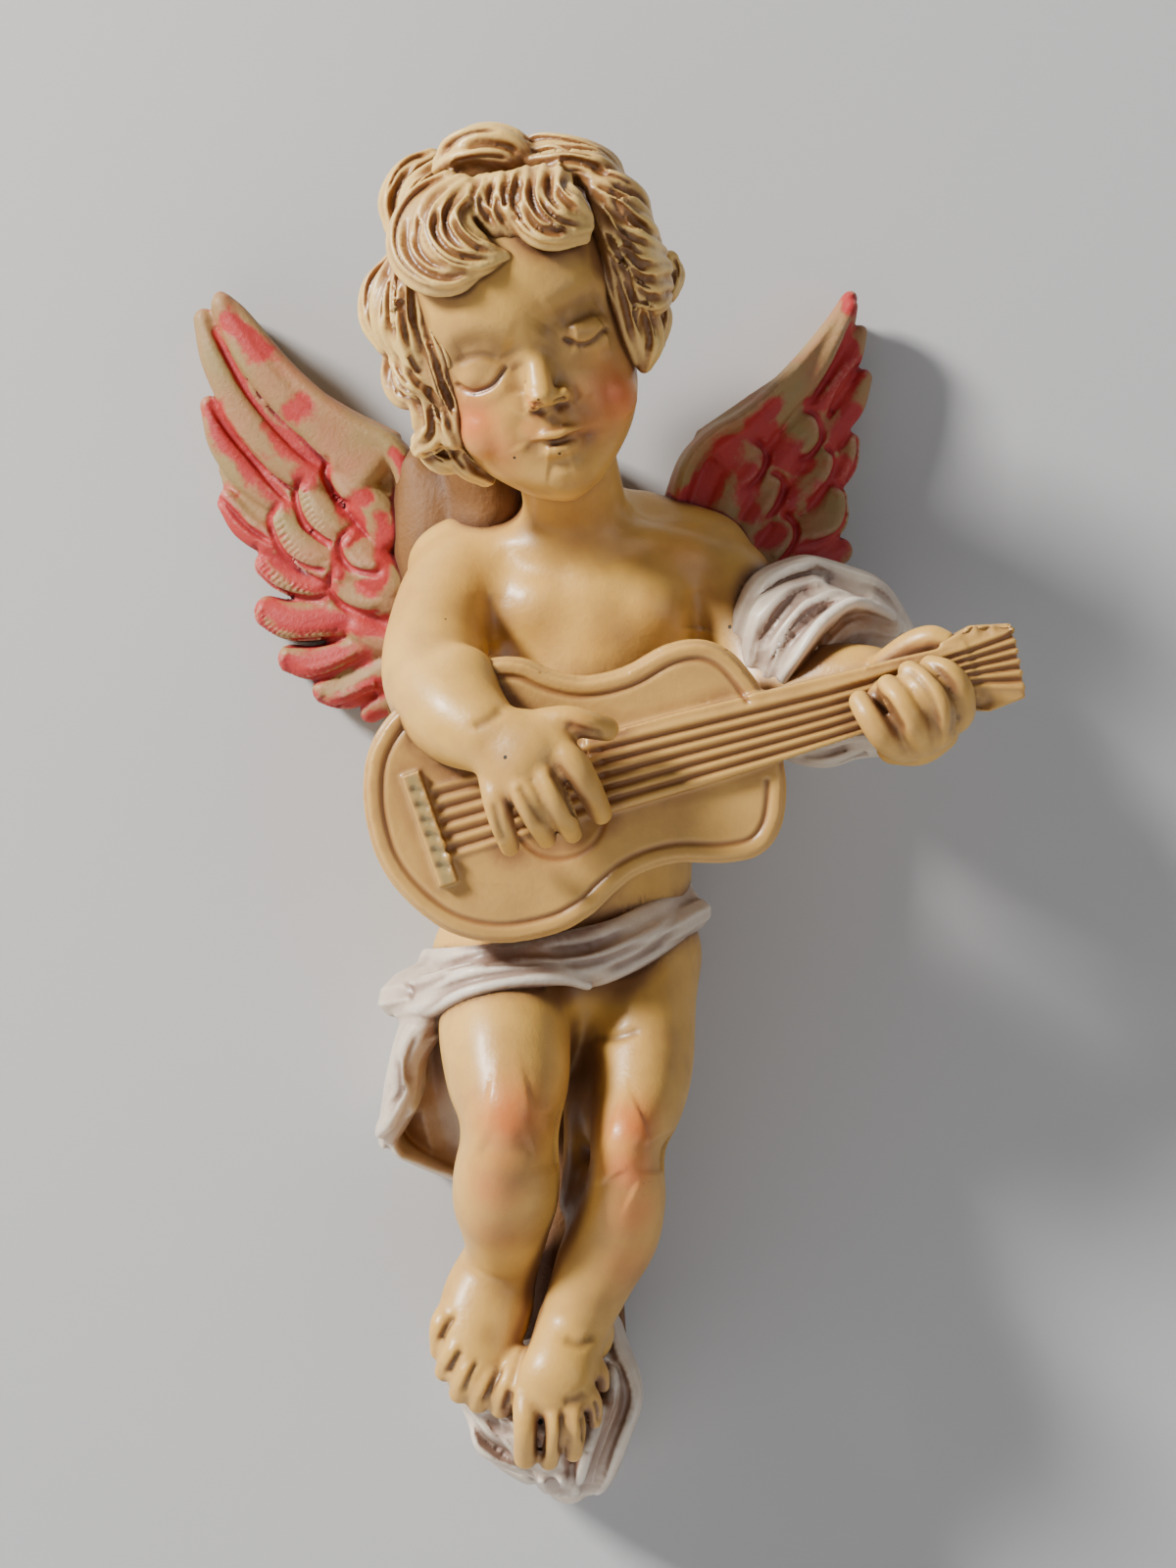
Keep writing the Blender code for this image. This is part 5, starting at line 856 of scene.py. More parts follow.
# the cloth across the hips, its knot and its hanging end
WAIST_FOLDS = [
    [(-23.7, 14, -70.3, 5, 12), (-13.1, 24, -67.5, 5, 12), (-0.6, 27, -65, 4.2, 11), (10.1, 25, -61.8, 4.2, 11),
        (18.7, 18, -58.2, 3.5, 9)],
    # folds from hip to hip
    [(-24.4, 14, -66.4, 1.6, 3), (-17.6, 34.5, -64.3, 1.5, 2.5), (-8.9, 38.5, -62.9, 1.5, 2.4),
        (-4.7, 38.5, -61.9, 1.5, 2.2), (1.9, 37, -60.8, 1.5, 2.2), (8.7, 36, -59.2, 1.5, 2.4),
        (15.3, 30, -56, 1.5, 2.4), (20, 19, -52.8, 1.5, 2)],
    [(-26.2, 14, -69.7, 1.8, 3), (-21.6, 24, -67, 1.7, 2.5), (-13.7, 38.5, -64.7, 1.6, 2.4),
        (-4.3, 40.5, -64.4, 1.4, 2.2), (0.1, 39.5, -64.1, 1.2, 2), (6.7, 37.5, -62.7, 1.4, 2.2),
        (13.9, 33, -59.4, 1.5, 2.4), (20.6, 20, -54.8, 1.7, 2)],
    [(-26.8, 20, -71, 1.9, 3), (-22.3, 31, -69, 1.9, 2.6), (-15.7, 40.5, -66.6, 1.9, 2.5),
        (-7.6, 42, -65.9, 1.8, 2.3), (-0.5, 40.5, -65.6, 1.6, 2.2), (6.7, 37.5, -64.6, 1.4, 2.2),
        (13.9, 33, -61.7, 1.5, 2.4), (20.8, 20, -57.1, 1.6, 2)],
    [(-26.9, 22, -73.4, 1.9, 3), (-22.6, 31, -71.9, 2, 3), (-18.6, 38.5, -70, 1.8, 2.6), (-14, 42.5, -68, 1.5, 2.4),
        (-7.6, 42.5, -66.9, 1.3, 2.2), (-0.5, 40.5, -66.8, 1.1, 2), (3.2, 39, -67.8, 0.9, 2)],
    [(3, 36.5, -67.7, 1, 2), (6.7, 36.5, -66.4, 1.4, 2.2), (12.4, 33, -63.9, 1.5, 2.4), (17.5, 26, -61.1, 1.5, 2.4),
        (20.3, 20, -59.5, 1.4, 2)],
    # the gathered knot at the hip
    [(-24.6, 16, -67.5, 1.8, 3), (-26.7, 19, -68.6, 1.9, 3), (-27.7, 20, -69.7, 1.8, 3)],
    [(-24, 25, -70.1, 2, 3), (-26.1, 24, -71.2, 2.1, 3), (-27.2, 22, -72.5, 1.9, 3)],
    [(-22.5, 28, -71.5, 2, 3), (-24.5, 27, -73.3, 2.1, 3), (-26.2, 24, -75.2, 1.9, 3)],
    # the hanging end
    [(-22.8, 29, -73.7, 2.2, 3), (-25.4, 28, -77.1, 2.4, 3.4), (-27.4, 26, -81.9, 2.2, 4), (-27.7, 24, -86.1, 2.2, 4),
        (-29.3, 21, -90.5, 2, 5), (-30.9, 18, -93.1, 1.6, 4)],
    [(-26, 20, -74.6, 2.2, 9), (-27.7, 18, -79.1, 2, 10), (-29.3, 14, -85, 2, 10), (-30.4, 11, -90.4, 2, 9),
        (-31.2, 9, -94.5, 1.8, 8)],
    [(-21.6, 26, -75.7, 1.4, 5), (-24.8, 23, -80.3, 1.6, 6), (-26, 20, -85.3, 1.6, 7), (-26.5, 18, -88.2, 1.6, 7),
        (-29.1, 14, -93.1, 1.8, 7)],
    [(-31.2, 12, -94.1, 1.4, 7), (-29.4, 10, -97.8, 1.5, 7), (-25.4, 8, -100.8, 1.5, 6), (-20.4, 6, -103.2, 1.5, 5)],
    [(-29.3, 3, -92.8, 4, 7), (-26.1, 3, -97.7, 4, 6), (-21.2, 3, -100.5, 4, 6)],
    [(-24.3, 4, -76.7, 5, 9), (-26.1, 4, -87.2, 5, 8), (-24.3, 4, -97.6, 5, 6)],
    [(-19.1, 4, -75, 6, 12), (-20, 4, -87.2, 6, 8), (-18.3, 3, -100.3, 5, 6)],
]


# the cloth over the viewer-right arm and hanging below the neck of the guitar
SLEEVE_FOLDS = [
    [(28.7, 24, -11.4, 2.4, 5), (30.2, 27, -6.6, 2.8, 6), (32.4, 28, -2.4, 2.8, 7), (36.6, 26, 0, 2.8, 8),
        (40.7, 24, 0.9, 2.8, 8), (46.9, 22, -0.5, 2.8, 8), (51.6, 20, -2.1, 2.6, 8), (55, 18, -5.4, 2.4, 8),
        (57.4, 18, -8.9, 2.2, 7)],
    [(31.1, 28, -14.6, 2.4, 5), (32.2, 32, -9.9, 2.8, 6), (34.4, 33, -6.1, 2.8, 6), (37.4, 32, -3.7, 2.6, 6),
        (41.5, 30, -2.6, 2.6, 6), (45.9, 28, -3.1, 2.6, 6), (50.5, 25, -4.7, 2.4, 6), (54.2, 22, -7.3, 2, 6)],
    [(33.3, 30, -17.6, 2.4, 5), (34.6, 34, -13.3, 2.6, 5), (36.4, 36, -9.2, 2.6, 5), (39.4, 35, -6.2, 2.4, 5),
        (43.5, 33, -4.4, 2.2, 5), (47.9, 31, -4.6, 2.2, 5), (52.2, 28, -6.1, 1.8, 4)],
    [(34.6, 30, -19.6, 2.2, 5), (36.5, 35, -16.9, 2.4, 4), (38.2, 38, -13.2, 2.4, 4), (40.8, 38, -9.3, 2.2, 4),
        (44.8, 36, -6.3, 1.8, 4), (48.3, 34, -5.2, 1.4, 3)],
    [(30.3, 20, -12.9, 2.4, 8), (32, 20, -7.5, 3, 9), (34.7, 20, -3.5, 3, 9)],
    # the hollow of the sleeve
    [(42.1, 34, -12.9, 2.5, 4), (45.2, 32, -9.7, 3.5, 4), (49.1, 29, -8.1, 3.5, 4), (53.1, 26, -8.6, 2.5, 4)],
    # below the neck of the guitar
    [(36.9, 26, -28.7, 2.2, 6), (40.4, 27, -30.1, 2, 6), (44, 28, -30.4, 1.9, 6), (47.9, 28, -29.2, 1.8, 6),
        (52.3, 27, -28.7, 1.8, 6)],
    [(37.6, 30, -26.5, 2.4, 5), (42, 31, -28, 2.3, 5), (47.6, 31, -27, 2.2, 5), (52.9, 30, -27, 2, 5)],
    [(36.9, 26, -24.4, 3.2, 7), (43.1, 27, -25.1, 3.2, 7), (49.7, 27, -24.3, 3, 7)],
    # plain mass behind the arm, narrowing to the wall
    [(45.2, 22, -15, 13, 11), (41.9, 12, -14.5, 12, 11), (38.4, 2, -14, 11, 8)],
    [(44.9, 16, -6.2, 7, 8), (40.5, 8, -7.4, 7, 8), (36.8, 1, -7, 7, 6)],
    [(45.4, 20, -23.3, 6, 8), (42.1, 10, -22.1, 6, 8), (38.5, 1, -21, 6, 6)],
    [(32.7, 10, -16.1, 12, 11), (20.7, 10, -17.8, 12, 11)],
]


# the cloth under the feet
BASE_FOLDS = [
    [(7.9, 16, -128.4, 1.6, 8), (9.2, 20, -132.2, 1.8, 9), (10.5, 22, -135.8, 2, 9), (10.7, 23, -139.5, 2, 9),
        (8.5, 24, -144.9, 2, 9), (7, 22, -150.1, 2, 6), (5.4, 18, -154.6, 1.8, 3)],
    [(6.5, 24, -133, 2, 7), (7.8, 27, -137.2, 2.2, 7), (6.3, 28, -142.2, 2.2, 7), (4.5, 27, -147.8, 2.2, 5),
        (3.5, 22, -153.1, 2, 3)],
    [(4.5, 29, -140, 2.2, 7), (3.5, 30, -144.7, 2.2, 7), (1.9, 27, -150.1, 2, 4), (1.2, 22, -153.8, 2, 3)],
    [(-0.6, 30, -148, 1.8, 5), (-1.1, 27, -151.1, 1.8, 3), (-1.5, 21, -154.4, 1.8, 2.5)],
    [(-3.4, 28, -148.5, 2, 5), (-3.8, 25, -151.3, 2, 3), (-3.5, 20, -154, 2, 2.5)],
    [(-16.1, 20, -140.6, 1.6, 8), (-14.8, 23, -143.2, 1.7, 8), (-13.1, 25, -146.3, 1.8, 8),
        (-9.4, 26, -148.4, 1.8, 6), (-5.9, 25, -150, 1.8, 4)],
    [(-13.8, 27, -139.9, 2.2, 8), (-10.9, 30, -143, 2.4, 6), (-7.9, 31, -145.1, 2.4, 5)],
    [(-10.9, 30, -139.1, 2.4, 8), (-8.5, 33, -140.6, 2.4, 6), (-6.3, 33, -143.6, 2.4, 5)],
    # the mass behind the folds
    [(-6.4, 28, -138.6, 6, 9), (-3.1, 28, -143.6, 6, 8), (-0.5, 22, -149.4, 5, 6)],
    [(-15.5, 22, -135.4, 4.5, 11), (-11.4, 24, -137.9, 5.5, 11), (-3.2, 22, -135.1, 8, 11)],
    [(2.8, 18, -131, 5, 11), (4.8, 20, -138.9, 5, 11)],
    [(-13.8, 6, -138.8, 4, 10), (-13.1, 7, -145.5, 4, 10), (-11, 8, -150.4, 4, 9), (-6, 9, -153.6, 4, 9)],
    [(-3.4, 6, -135.4, 9, 10), (-1.7, 7, -145.5, 10, 10), (-0.3, 8, -153.9, 7, 9), (0.1, 8, -156.6, 4.5, 8)],
    [(5.2, 6, -130.2, 4, 9), (7.6, 7, -138.6, 4, 10), (6.6, 8, -145.3, 4, 10), (4.5, 8, -152.2, 4.5, 9),
        (3.5, 8, -155.6, 4, 8)],
]


# plain mass behind the neck, between the wings, and behind the legs
BACK_MASSES = [
    [(1.8, 6, -62.7, 17, 9), (0, 6, -76.5, 16, 9), (-0.8, 6, -90.4, 14, 9), (-1.7, 6, -107.7, 12.5, 9),
        (-2.6, 6, -121.5, 12.5, 9), (-2.6, 6, -135.4, 13, 9)],
    [(-0.8, 10, -71, 9, 12), (0.4, 12, -86.2, 8, 12), (0.8, 12, -103.3, 8, 12), (-0.8, 12, -120.4, 8, 12),
        (-3.3, 14, -133.6, 8, 14)],
    [(0.1, 8, 1.2, 18, 10), (-3.4, 8, 9.8, 14, 10), (-4.6, 7, 16.8, 12, 9), (-5.5, 7, 22, 9, 8)],
    [(0.1, 10, 2.7, 14, 11), (-10.2, 10, 8.7, 12, 11), (-18.8, 10, 13, 9, 10), (-24.3, 9, 16.6, 6, 9)],
    [(-18.8, 10, 1, 11, 10), (-22.2, 10, 9.6, 9, 10), (-25.7, 9, 19.1, 5, 8)],
    [(10.4, 10, 1.9, 12, 11), (20.7, 9, 4.2, 9, 9), (21.8, 8, 5.7, 5, 6)],
    [(-16.5, 22, 23.4, 5, 9), (-14.3, 16, 17.4, 7, 12), (-13.6, 12, 11.1, 9, 12)],
    [(-19, 6, -0.4, 12, 9), (-17.3, 6, -14.2, 12, 9), (-12.1, 6, -28.1, 10, 9)],
    [(3.5, 5, -3.8, 18, 9), (4.2, 5, -28.1, 17.5, 9), (3.5, 5, -52.3, 18, 9), (0.9, 5, -66.2, 18, 9)],
]


# strokes in the body: reach, height, layer and lines
BODY_STROKES = (
    # collar bones and armpits
    (2.4, -0.5, None, [[(-11.6, 29.3, 4.4), (-6.3, 31.8, 1.2), (1.2, 33.2, 0.1)], [(5.4, 33.2, 0.4),
        (11.6, 31.9, 3.1), (17.3, 29.7, 6.3)], [(-12, 31.9, -11.4), (-12.7, 33.3, -7.4), (-12.5, 32.1, -3.1)],
        [(21, 50.1, -12.4), (22.2, 29.4, -6.3), (21.2, 29.8, -2.2)]]),
    # wrist, thigh, knees and ankles
    (0.9, -0.4, "line2", [[(-14.4, 60.8, -26.2), (-12, 60.8, -25), (-9.6, 58.7, -23.1)], [(3.5, 32.4, -77.5),
        (8, 37.6, -76.6), (12.3, 38.4, -75.1)], [(-0.6, 42.7, -124.7), (2.4, 42.8, -125.8), (4.9, 40.5, -125)],
        [(-0.6, 45.5, -134.6), (1.6, 44.9, -134.2), (3.3, 43.8, -133.2)]]),
    (4.2, 0.8, None, [[(-12.6, 53.4, -84.2), (-8.8, 54.5, -84.6), (-5.5, 53.2, -83.9)], [(7.6, 45.8, -88.6),
        (10.1, 47.5, -89.3), (12.3, 46.2, -88.5)]]),
    (2.8, -0.8, None, [[(-14.1, 53.3, -91.6), (-11.1, 55, -92.9), (-7.6, 55.2, -93.2), (-4.5, 53.9, -91.8)],
        [(-1.8, 50, -86.5), (-2.4, 51.3, -91.7), (-2.7, 49.6, -97.4)], [(6.9, 47.8, -97.7), (8.5, 47.9, -100),
        (10.6, 47.7, -101.2)], [(14.2, 46.1, -91.7), (14.7, 45.4, -94.9), (14.2, 46.3, -97.9)]]),
    # between the toes
    (0.55, -0.65, "line2", [[(-18.5, 38, -122), (-19.8, 38.2, -124.2), (-20.9, 37.5, -126.6)], [(-17.1, 40, -127.2),
        (-18.4, 39.9, -129.3), (-19.6, 38, -131.7)], [(-14.5, 40.4, -129), (-15.8, 41, -131.6), (-17, 39.2, -134.6)],
        [(-10.7, 40.1, -129.9), (-12.1, 41, -132.9), (-13.8, 39, -136.6)], [(-9.1, 42.4, -133.2), (-9.5, 42, -135),
        (-10.1, 39.8, -137.3)], [(-4.2, 44.7, -137.4), (-4.2, 36.7, -142.6), (-4.3, 41.9, -144.4)],
        [(-0.6, 45.4, -135.9), (-0.6, 45.6, -139.3), (-0.9, 42.3, -143.5)], [(2.6, 44.9, -136.7), (2.9, 44.7, -138.9),
        (3, 42.4, -141.8)], [(4.6, 43.4, -134.5), (5.1, 42.7, -136.6), (5.4, 40.1, -139.3)]]),
    # between the fingers
    (0.9, -0.6, "line2", [[(-11.2, 62, -37.7), (-10.4, 61.4, -41.1), (-9.6, 57.9, -44.5)], [(-7.3, 63.7, -35),
        (-5.4, 64.1, -38), (-3, 61.3, -41.5)], [(-2.1, 62.8, -32.3), (0, 63.3, -36.2), (2.4, 48.9, -40.6)],
        [(-0.1, 61.4, -25.6), (2.9, 61, -26.8), (6.1, 59.3, -27.4)], [(52.9, 56.2, -16.7), (54.8, 59.1, -18.8),
        (56.4, 60, -21.6), (58.4, 55.7, -28.1)], [(56.7, 55.6, -16.1), (59.7, 58.2, -19.6), (60.9, 58.2, -24.8),
        (60.5, 54.6, -28.1)], [(48.8, 51.8, -21.3), (50.3, 58, -23.4), (51.4, 58.3, -25.2), (52.4, 57.6, -27.2)]]),
)


def carve_body(skin):
    """Folds of the trunk and limbs, between fingers and toes, then the blush and the painted brown shade."""
    for reach, height, layer, lines in BODY_STROKES:
        skin.carve(lines, reach, height, layer=layer)
    skin.dab("blush", [
        (-8.3, 55.3, -87.6, 6, 0.85), (-10, 55.2, -93.5, 5, 0.4), (-11.5, 52.5, -99.3, 5, 0.55),
        (-10.9, 47.1, -107.2, 5, 0.35), (11, 47.8, -89.9, 5, 0.85), (10.1, 49, -96.7, 5, 0.8),
        (10.9, 46.3, -103.9, 5, 0.6), (9.9, 42.7, -112.8, 5, 0.4), (-35.5, 11.4, -7.6, 4, 0.2),
        (2, 61.4, -25.9, 2.5, 0.25), (19.9, 29.8, 4.3, 4, 0.2),
    ])
    skin.dab("shadow", [
        (-12.7, 39.7, -124.9, 2.2, 0.5), (-4.5, 54, -91.3, 4, 0.55), (-2.1, 50.8, -87.9, 3.5, 0.5),
        (-8.4, 54, -97, 4, 0.5), (-7.5, 46.5, -107.3, 5, 0.55), (-9.1, 36.9, -117.1, 5, 0.5),
        (1.2, 29.9, -80.8, 3.5, 0.6), (1.2, 23.9, -89.8, 4, 0.7), (1.5, 23.9, -99.8, 4.5, 0.75),
        (0.9, 38.7, -107.1, 4.5, 0.7), (4.1, 35.4, -83.5, 3, 0.35), (6.7, 41.1, -119.5, 4.5, 0.35),
        (12.5, 38.3, -115.2, 4, 0.5), (-17.4, 37.7, -6.1, 5, 0.3), (-11.9, 32.8, -9, 3.5, 0.45),
        (21.9, 29, -8.7, 3.5, 0.5), (-2.7, 49.6, 11.8, 5, 0.4), (3.5, 35.7, 10.2, 5, 0.35), (-6.3, 30.9, 7.5, 4, 0.25),
        (18.1, 32.5, -5.7, 3.5, 0.25),
    ])
    skin.dab("shadow", [(1.5, 31, -83.7, 3.5, 0.75), (2.2, 32, -90.4, 3.5, 0.85), (2.2, 33, -98.4, 3.5, 0.85),
        (1.1, 35, -106.2, 3.5, 0.8)])
    skin.dab("specks", [(11.3, 48.1, -99.2, 3.6, 1), (10.1, 37.9, -59.7, 4, 0.5)])


# strokes in the cloth: reach, height and layer of each group
CLOTH_STROKES = {
    "waist_cloth": [
        (0.8, -0.55, "line2", [[(-20.1, 29.4, -65.3), (-16.7, 32.4, -64), (-12, 35.2, -63.1), (-8.2, 37.5, -63)],
            [(-27.9, 26.2, -70.5), (-23.5, 30.6, -68.3), (-19.6, 33.1, -66.2)], [(-0.2, 40.1, -64.2),
            (3.5, 40.1, -64.1), (7.2, 39.4, -63.2), (12.4, 37.1, -61.1)], [(-24.2, 31.4, -72.9), (-17.4, 38.4, -67.7),
            (-7.7, 39.9, -65.4), (-0.5, 40.4, -65)], [(-2.9, 38.4, -62.3), (3.5, 39, -61.9), (9.9, 37.9, -59.1)],
            [(6.7, 39.3, -65.4), (12.4, 37.1, -63), (18.2, 31.6, -59.5)], [(-28.6, 29.2, -80.9), (-28.1, 28.4, -85.6),
            (-29.9, 26, -90.5)], [(-25.1, 31.4, -76.8), (-26.6, 30, -81.5), (-26.3, 27.5, -85.7)]]),
        (0.5, -0.4, "line", [[(-13.9, 37, -64.5), (-11.1, 38.1, -64.4), (-4.8, 39.4, -64.1), (-0.2, 40.1, -64.2)],
            [(-27.7, 24.4, -68.5), (-26.1, 27.8, -69.6), (-26.4, 28.3, -71.5)], [(-29.9, 25.9, -88.9),
            (-28.1, 27.6, -87.4), (-27.1, 28.4, -85.6)]]),
        (1, 0.35, None, [[(-22.6, 31.7, -68.3), (-15.8, 37, -65.6), (-7.7, 38.5, -63.9)], [(-22.5, 33.4, -71),
            (-15.6, 41.5, -68.1), (-7.7, 41.2, -66.5), (-0.5, 40.5, -66.3)], [(3.5, 40.3, -65.3), (9.9, 38.5, -63.1),
            (16.5, 33.4, -59.4)]]),
    ],
    "arm_cloth": [
        (1.3, -1.4, "line2", [[(30.6, 36.4, -13.1), (32.9, 38.4, -9.3), (36.1, 38.6, -5.2), (38.5, 37.7, -3),
            (41.3, 37, -2.6)], [(32.3, 36.8, -16.3), (34.8, 40, -12.3), (38, 40.7, -8.8), (40.7, 40.1, -6.7),
            (44.7, 38.8, -4.9)], [(42.6, 32.5, -0.2), (46.8, 32.4, -1.5), (50.5, 34.6, -4.2)]]),
        (0.8, 0.8, None, [[(29.7, 35.3, -10.3), (32.8, 34.7, -3.1), (36.7, 34.1, 0), (40.4, 32.6, 1.1)],
            [(33.3, 38.5, -14.5), (36.2, 40.6, -10.6), (39.8, 40.1, -7), (42.6, 39.1, -5.2), (46.8, 38.7, -4.9)],
            [(33.6, 51.7, -19.9), (37.3, 41.4, -14.8), (40.6, 42, -9.9), (43.8, 40.9, -6.8), (47.4, 38.6, -5.3),
            (52.3, 33, -6.2), (55.9, 27.5, -8)]]),
        (0.6, -0.5, "line", [[(35.5, 51.9, -20.4), (38.6, 40.2, -15.8), (42.3, 32.2, -11.5), (45.2, 30.7, -8.5),
            (47.4, 36.2, -6.9)], [(38.6, 30.9, -30.9), (42.4, 33.7, -30.5), (47.2, 34.4, -28.8)],
            [(44.4, 30.4, -32.7), (49.2, 31.3, -30.4), (50.2, 56.8, -29.6)]]),
    ],
    "foot_cloth": [
        (1.4, -0.8, "line2", [[(-10.3, 38.3, -138.8), (-9.6, 36.4, -142.5)], [(9.5, 31.3, -134.9),
            (6.9, 34.7, -141.7), (4.2, 30.6, -150.6), (2.8, 24.3, -155)], [(-3.3, 31.8, -150.6), (-2.1, 29.5, -152.7),
            (-1, 24.2, -155.5)], [(-12.6, 37.4, -137.9), (-11.7, 35.4, -143.3), (-9.5, 31.6, -147.5)]]),
        (0.9, -0.6, "line", [[(6.3, 33.6, -129.1), (6.7, 39.6, -131), (6.1, 31.6, -136.9)], [(1.9, 40.4, -145.2),
            (1.2, 33.4, -149.5), (1.5, 29.1, -153.1)]]),
        (1, 0.5, None, [[(8.1, 29.3, -131.6), (5.9, 34.7, -139.1), (2.9, 36.3, -146.4), (2, 25.7, -154.6)],
            [(10.1, 28.2, -131.3), (11.7, 30.4, -136.4), (10, 32.5, -142.4), (7.8, 30.5, -149.5)]]),
    ],
}


# where warm brown painted shade lies inside the cloth
CLOTH_WARM = {
    "waist_cloth": [(-23.7, 24.6, -81.4, 3, 0.8), (-23.9, 10.7, -89.8, 3.5, 0.8), (-25.7, 9.8, -96.8, 4, 0.75),
        (-21.4, 8.9, -100.3, 3.5, 0.7), (-4.5, 39.2, -63.7, 3, 0.6)],
    "arm_cloth": [(41.7, 38, -13.2, 2.5, 0.6), (44.8, 36, -10, 3.2, 0.75), (48.7, 33, -8.3, 3.2, 0.75),
        (52.6, 30, -8.8, 3, 0.7), (40.2, 40.9, -16.5, 2, 0.5)],
    "foot_cloth": [(6.2, 40.3, -130.8, 3, 0.7), (3.5, 36.8, -144.5, 2.5, 0.6), (6.7, 34.4, -138.7, 3, 0.4)],
}


def carve_cloth(skin, name):
    """Folds and creases, and the warm brown painted shade inside the cloth."""
    for reach, height, layer, lines in CLOTH_STROKES[name]:
        skin.carve(lines, reach, height, layer=layer)
    # painted shade: warm brown inside the cloth
    skin.dab("shadow", CLOTH_WARM[name])


# strokes in the face: reach, height, layer and lines, marked where their ends don't fade out
FACE_STROKES = (
    # sockets, upper lids, brows, cheeks, chin and lips
    (2.4, -1.1, None, [[(-18.2, 55.6, 32), (-15.8, 57.3, 33), (-12.7, 58.5, 33.4), (-9.6, 58.9, 32.5),
        (-8.2, 56.6, 30.8)]]),
    (2.6, -1.5, None, [[(-3.5, 58.3, 34.3), (-1.8, 58.7, 36.8), (1.4, 57.8, 38.8), (4.7, 56.4, 40.6),
        (6.6, 54.7, 41.3)]]),
    (2, -0.4, None, [[(-7.8, 56.7, 30.6), (-6.8, 55.8, 28.3), (-6.3, 55.9, 26.1)]]),
    (2.4, 1.5, None, [[(0.4, 57.4, 35.2), (3.2, 56.7, 35.8), (5.5, 55, 37.1)]]),
    (2.2, 0.5, None, [[(-19.2, 56.3, 33.7), (-15.3, 60, 35.2), (-11.1, 60.7, 35.1), (-8, 60.2, 34.1)]]),
    (2.2, 0.6, None, [[(-3.6, 61.1, 38.4), (-1, 60.9, 40.2), (2.3, 59.6, 42.3), (6, 56.4, 44.2)]]),
    (1.3, 0.35, None, [[(-16.7, 52.3, 26.4), (-14.1, 53.7, 25.4), (-11.3, 55.1, 26.1), (-9.1, 55.8, 28.2)],
        [(0.4, 56.3, 32.7), (2.9, 55.8, 32), (6, 54.8, 33.7)]]),
    (2.2, -0.5, None, [[(-3, 52.3, 15.5), (-1.1, 52.6, 15.3), (1, 52.7, 15.9)]]),
    (1.8, -0.5, None, [[(-6.3, 55.4, 22.8), (-7.4, 54.5, 20.5), (-6.7, 53.4, 17.9)], [(2.3, 54.8, 25.4),
        (4.1, 53.8, 23.1), (5.1, 52.1, 20.2)]]),
    (1.5, 0.45, None, [[(-3.3, 53.3, 17.1), (-1.1, 54.1, 17.2), (1, 53.7, 17.8)]]),
    (1, 0.4, None, [[(-4.4, 54.6, 19.2), (-2.7, 55.4, 20.1), (-1, 55.4, 19.9), (0.7, 55.1, 20.7), (2.6, 54, 21)]]),
    # the closed lids and the creases above them
    (0.42, -0.55, "line2", [[(-17.2, 53.5, 27.9), (-15.7, 55.2, 26.9), (-13.9, 55.3, 26.7), (-11.5, 56.1, 27.6),
        (-9.4, 56.5, 30)], [(0, 57, 34.4), (2, 56.9, 33.5), (4.3, 56.6, 34.2), (6.6, 53.8, 36.5)]], "blunt"),
    (0.7, -0.4, "line2", [[(-17.6, 54.9, 31.1), (-15.4, 55.8, 31.7), (-12.7, 57, 31.8), (-10.3, 57, 31.2)],
        [(-0.2, 57.8, 36.4), (2, 57.1, 37.7), (4.1, 55.7, 38.8), (6.1, 54.7, 39)]]),
    # nostrils and the sides and foot of the nose
    (0.7, -0.8, "line2", [[(-4.8, 57.4, 23.5), (-4, 57.8, 23.5)], [(-1.1, 55.9, 24.3), (-0.2, 55.9, 24.8)]], "blunt"),
    (0.8, -0.3, None, [[(0.9, 55.5, 27.4), (1.7, 55.1, 26.1), (1.2, 55.2, 24.7)], [(-5.9, 59.5, 25.3),
        (-6.3, 56.5, 24.5), (-5.9, 56.1, 23.5)]]),
    (0.9, -0.5, None, [[(-2.2, 55.5, 23.3), (-1.6, 55.1, 22.1), (-1, 55.2, 20.9)]]),
    # mouth
    (0.42, -0.45, "line2", [[(-5.6, 53.7, 18.3), (-4.2, 54.5, 18.6), (-2.7, 54.6, 18.6), (-1, 54.4, 18.8),
        (0.6, 54.5, 19.6), (2.1, 53.6, 20.2), (3.7, 53.3, 20.5)]]),
    (1.1, -0.45, "line2", [[(-5.5, 53.8, 18.1), (-4.8, 53.8, 18)], [(3.3, 53, 19.9), (3.8, 52.8, 20.3)]], "blunt"),
)


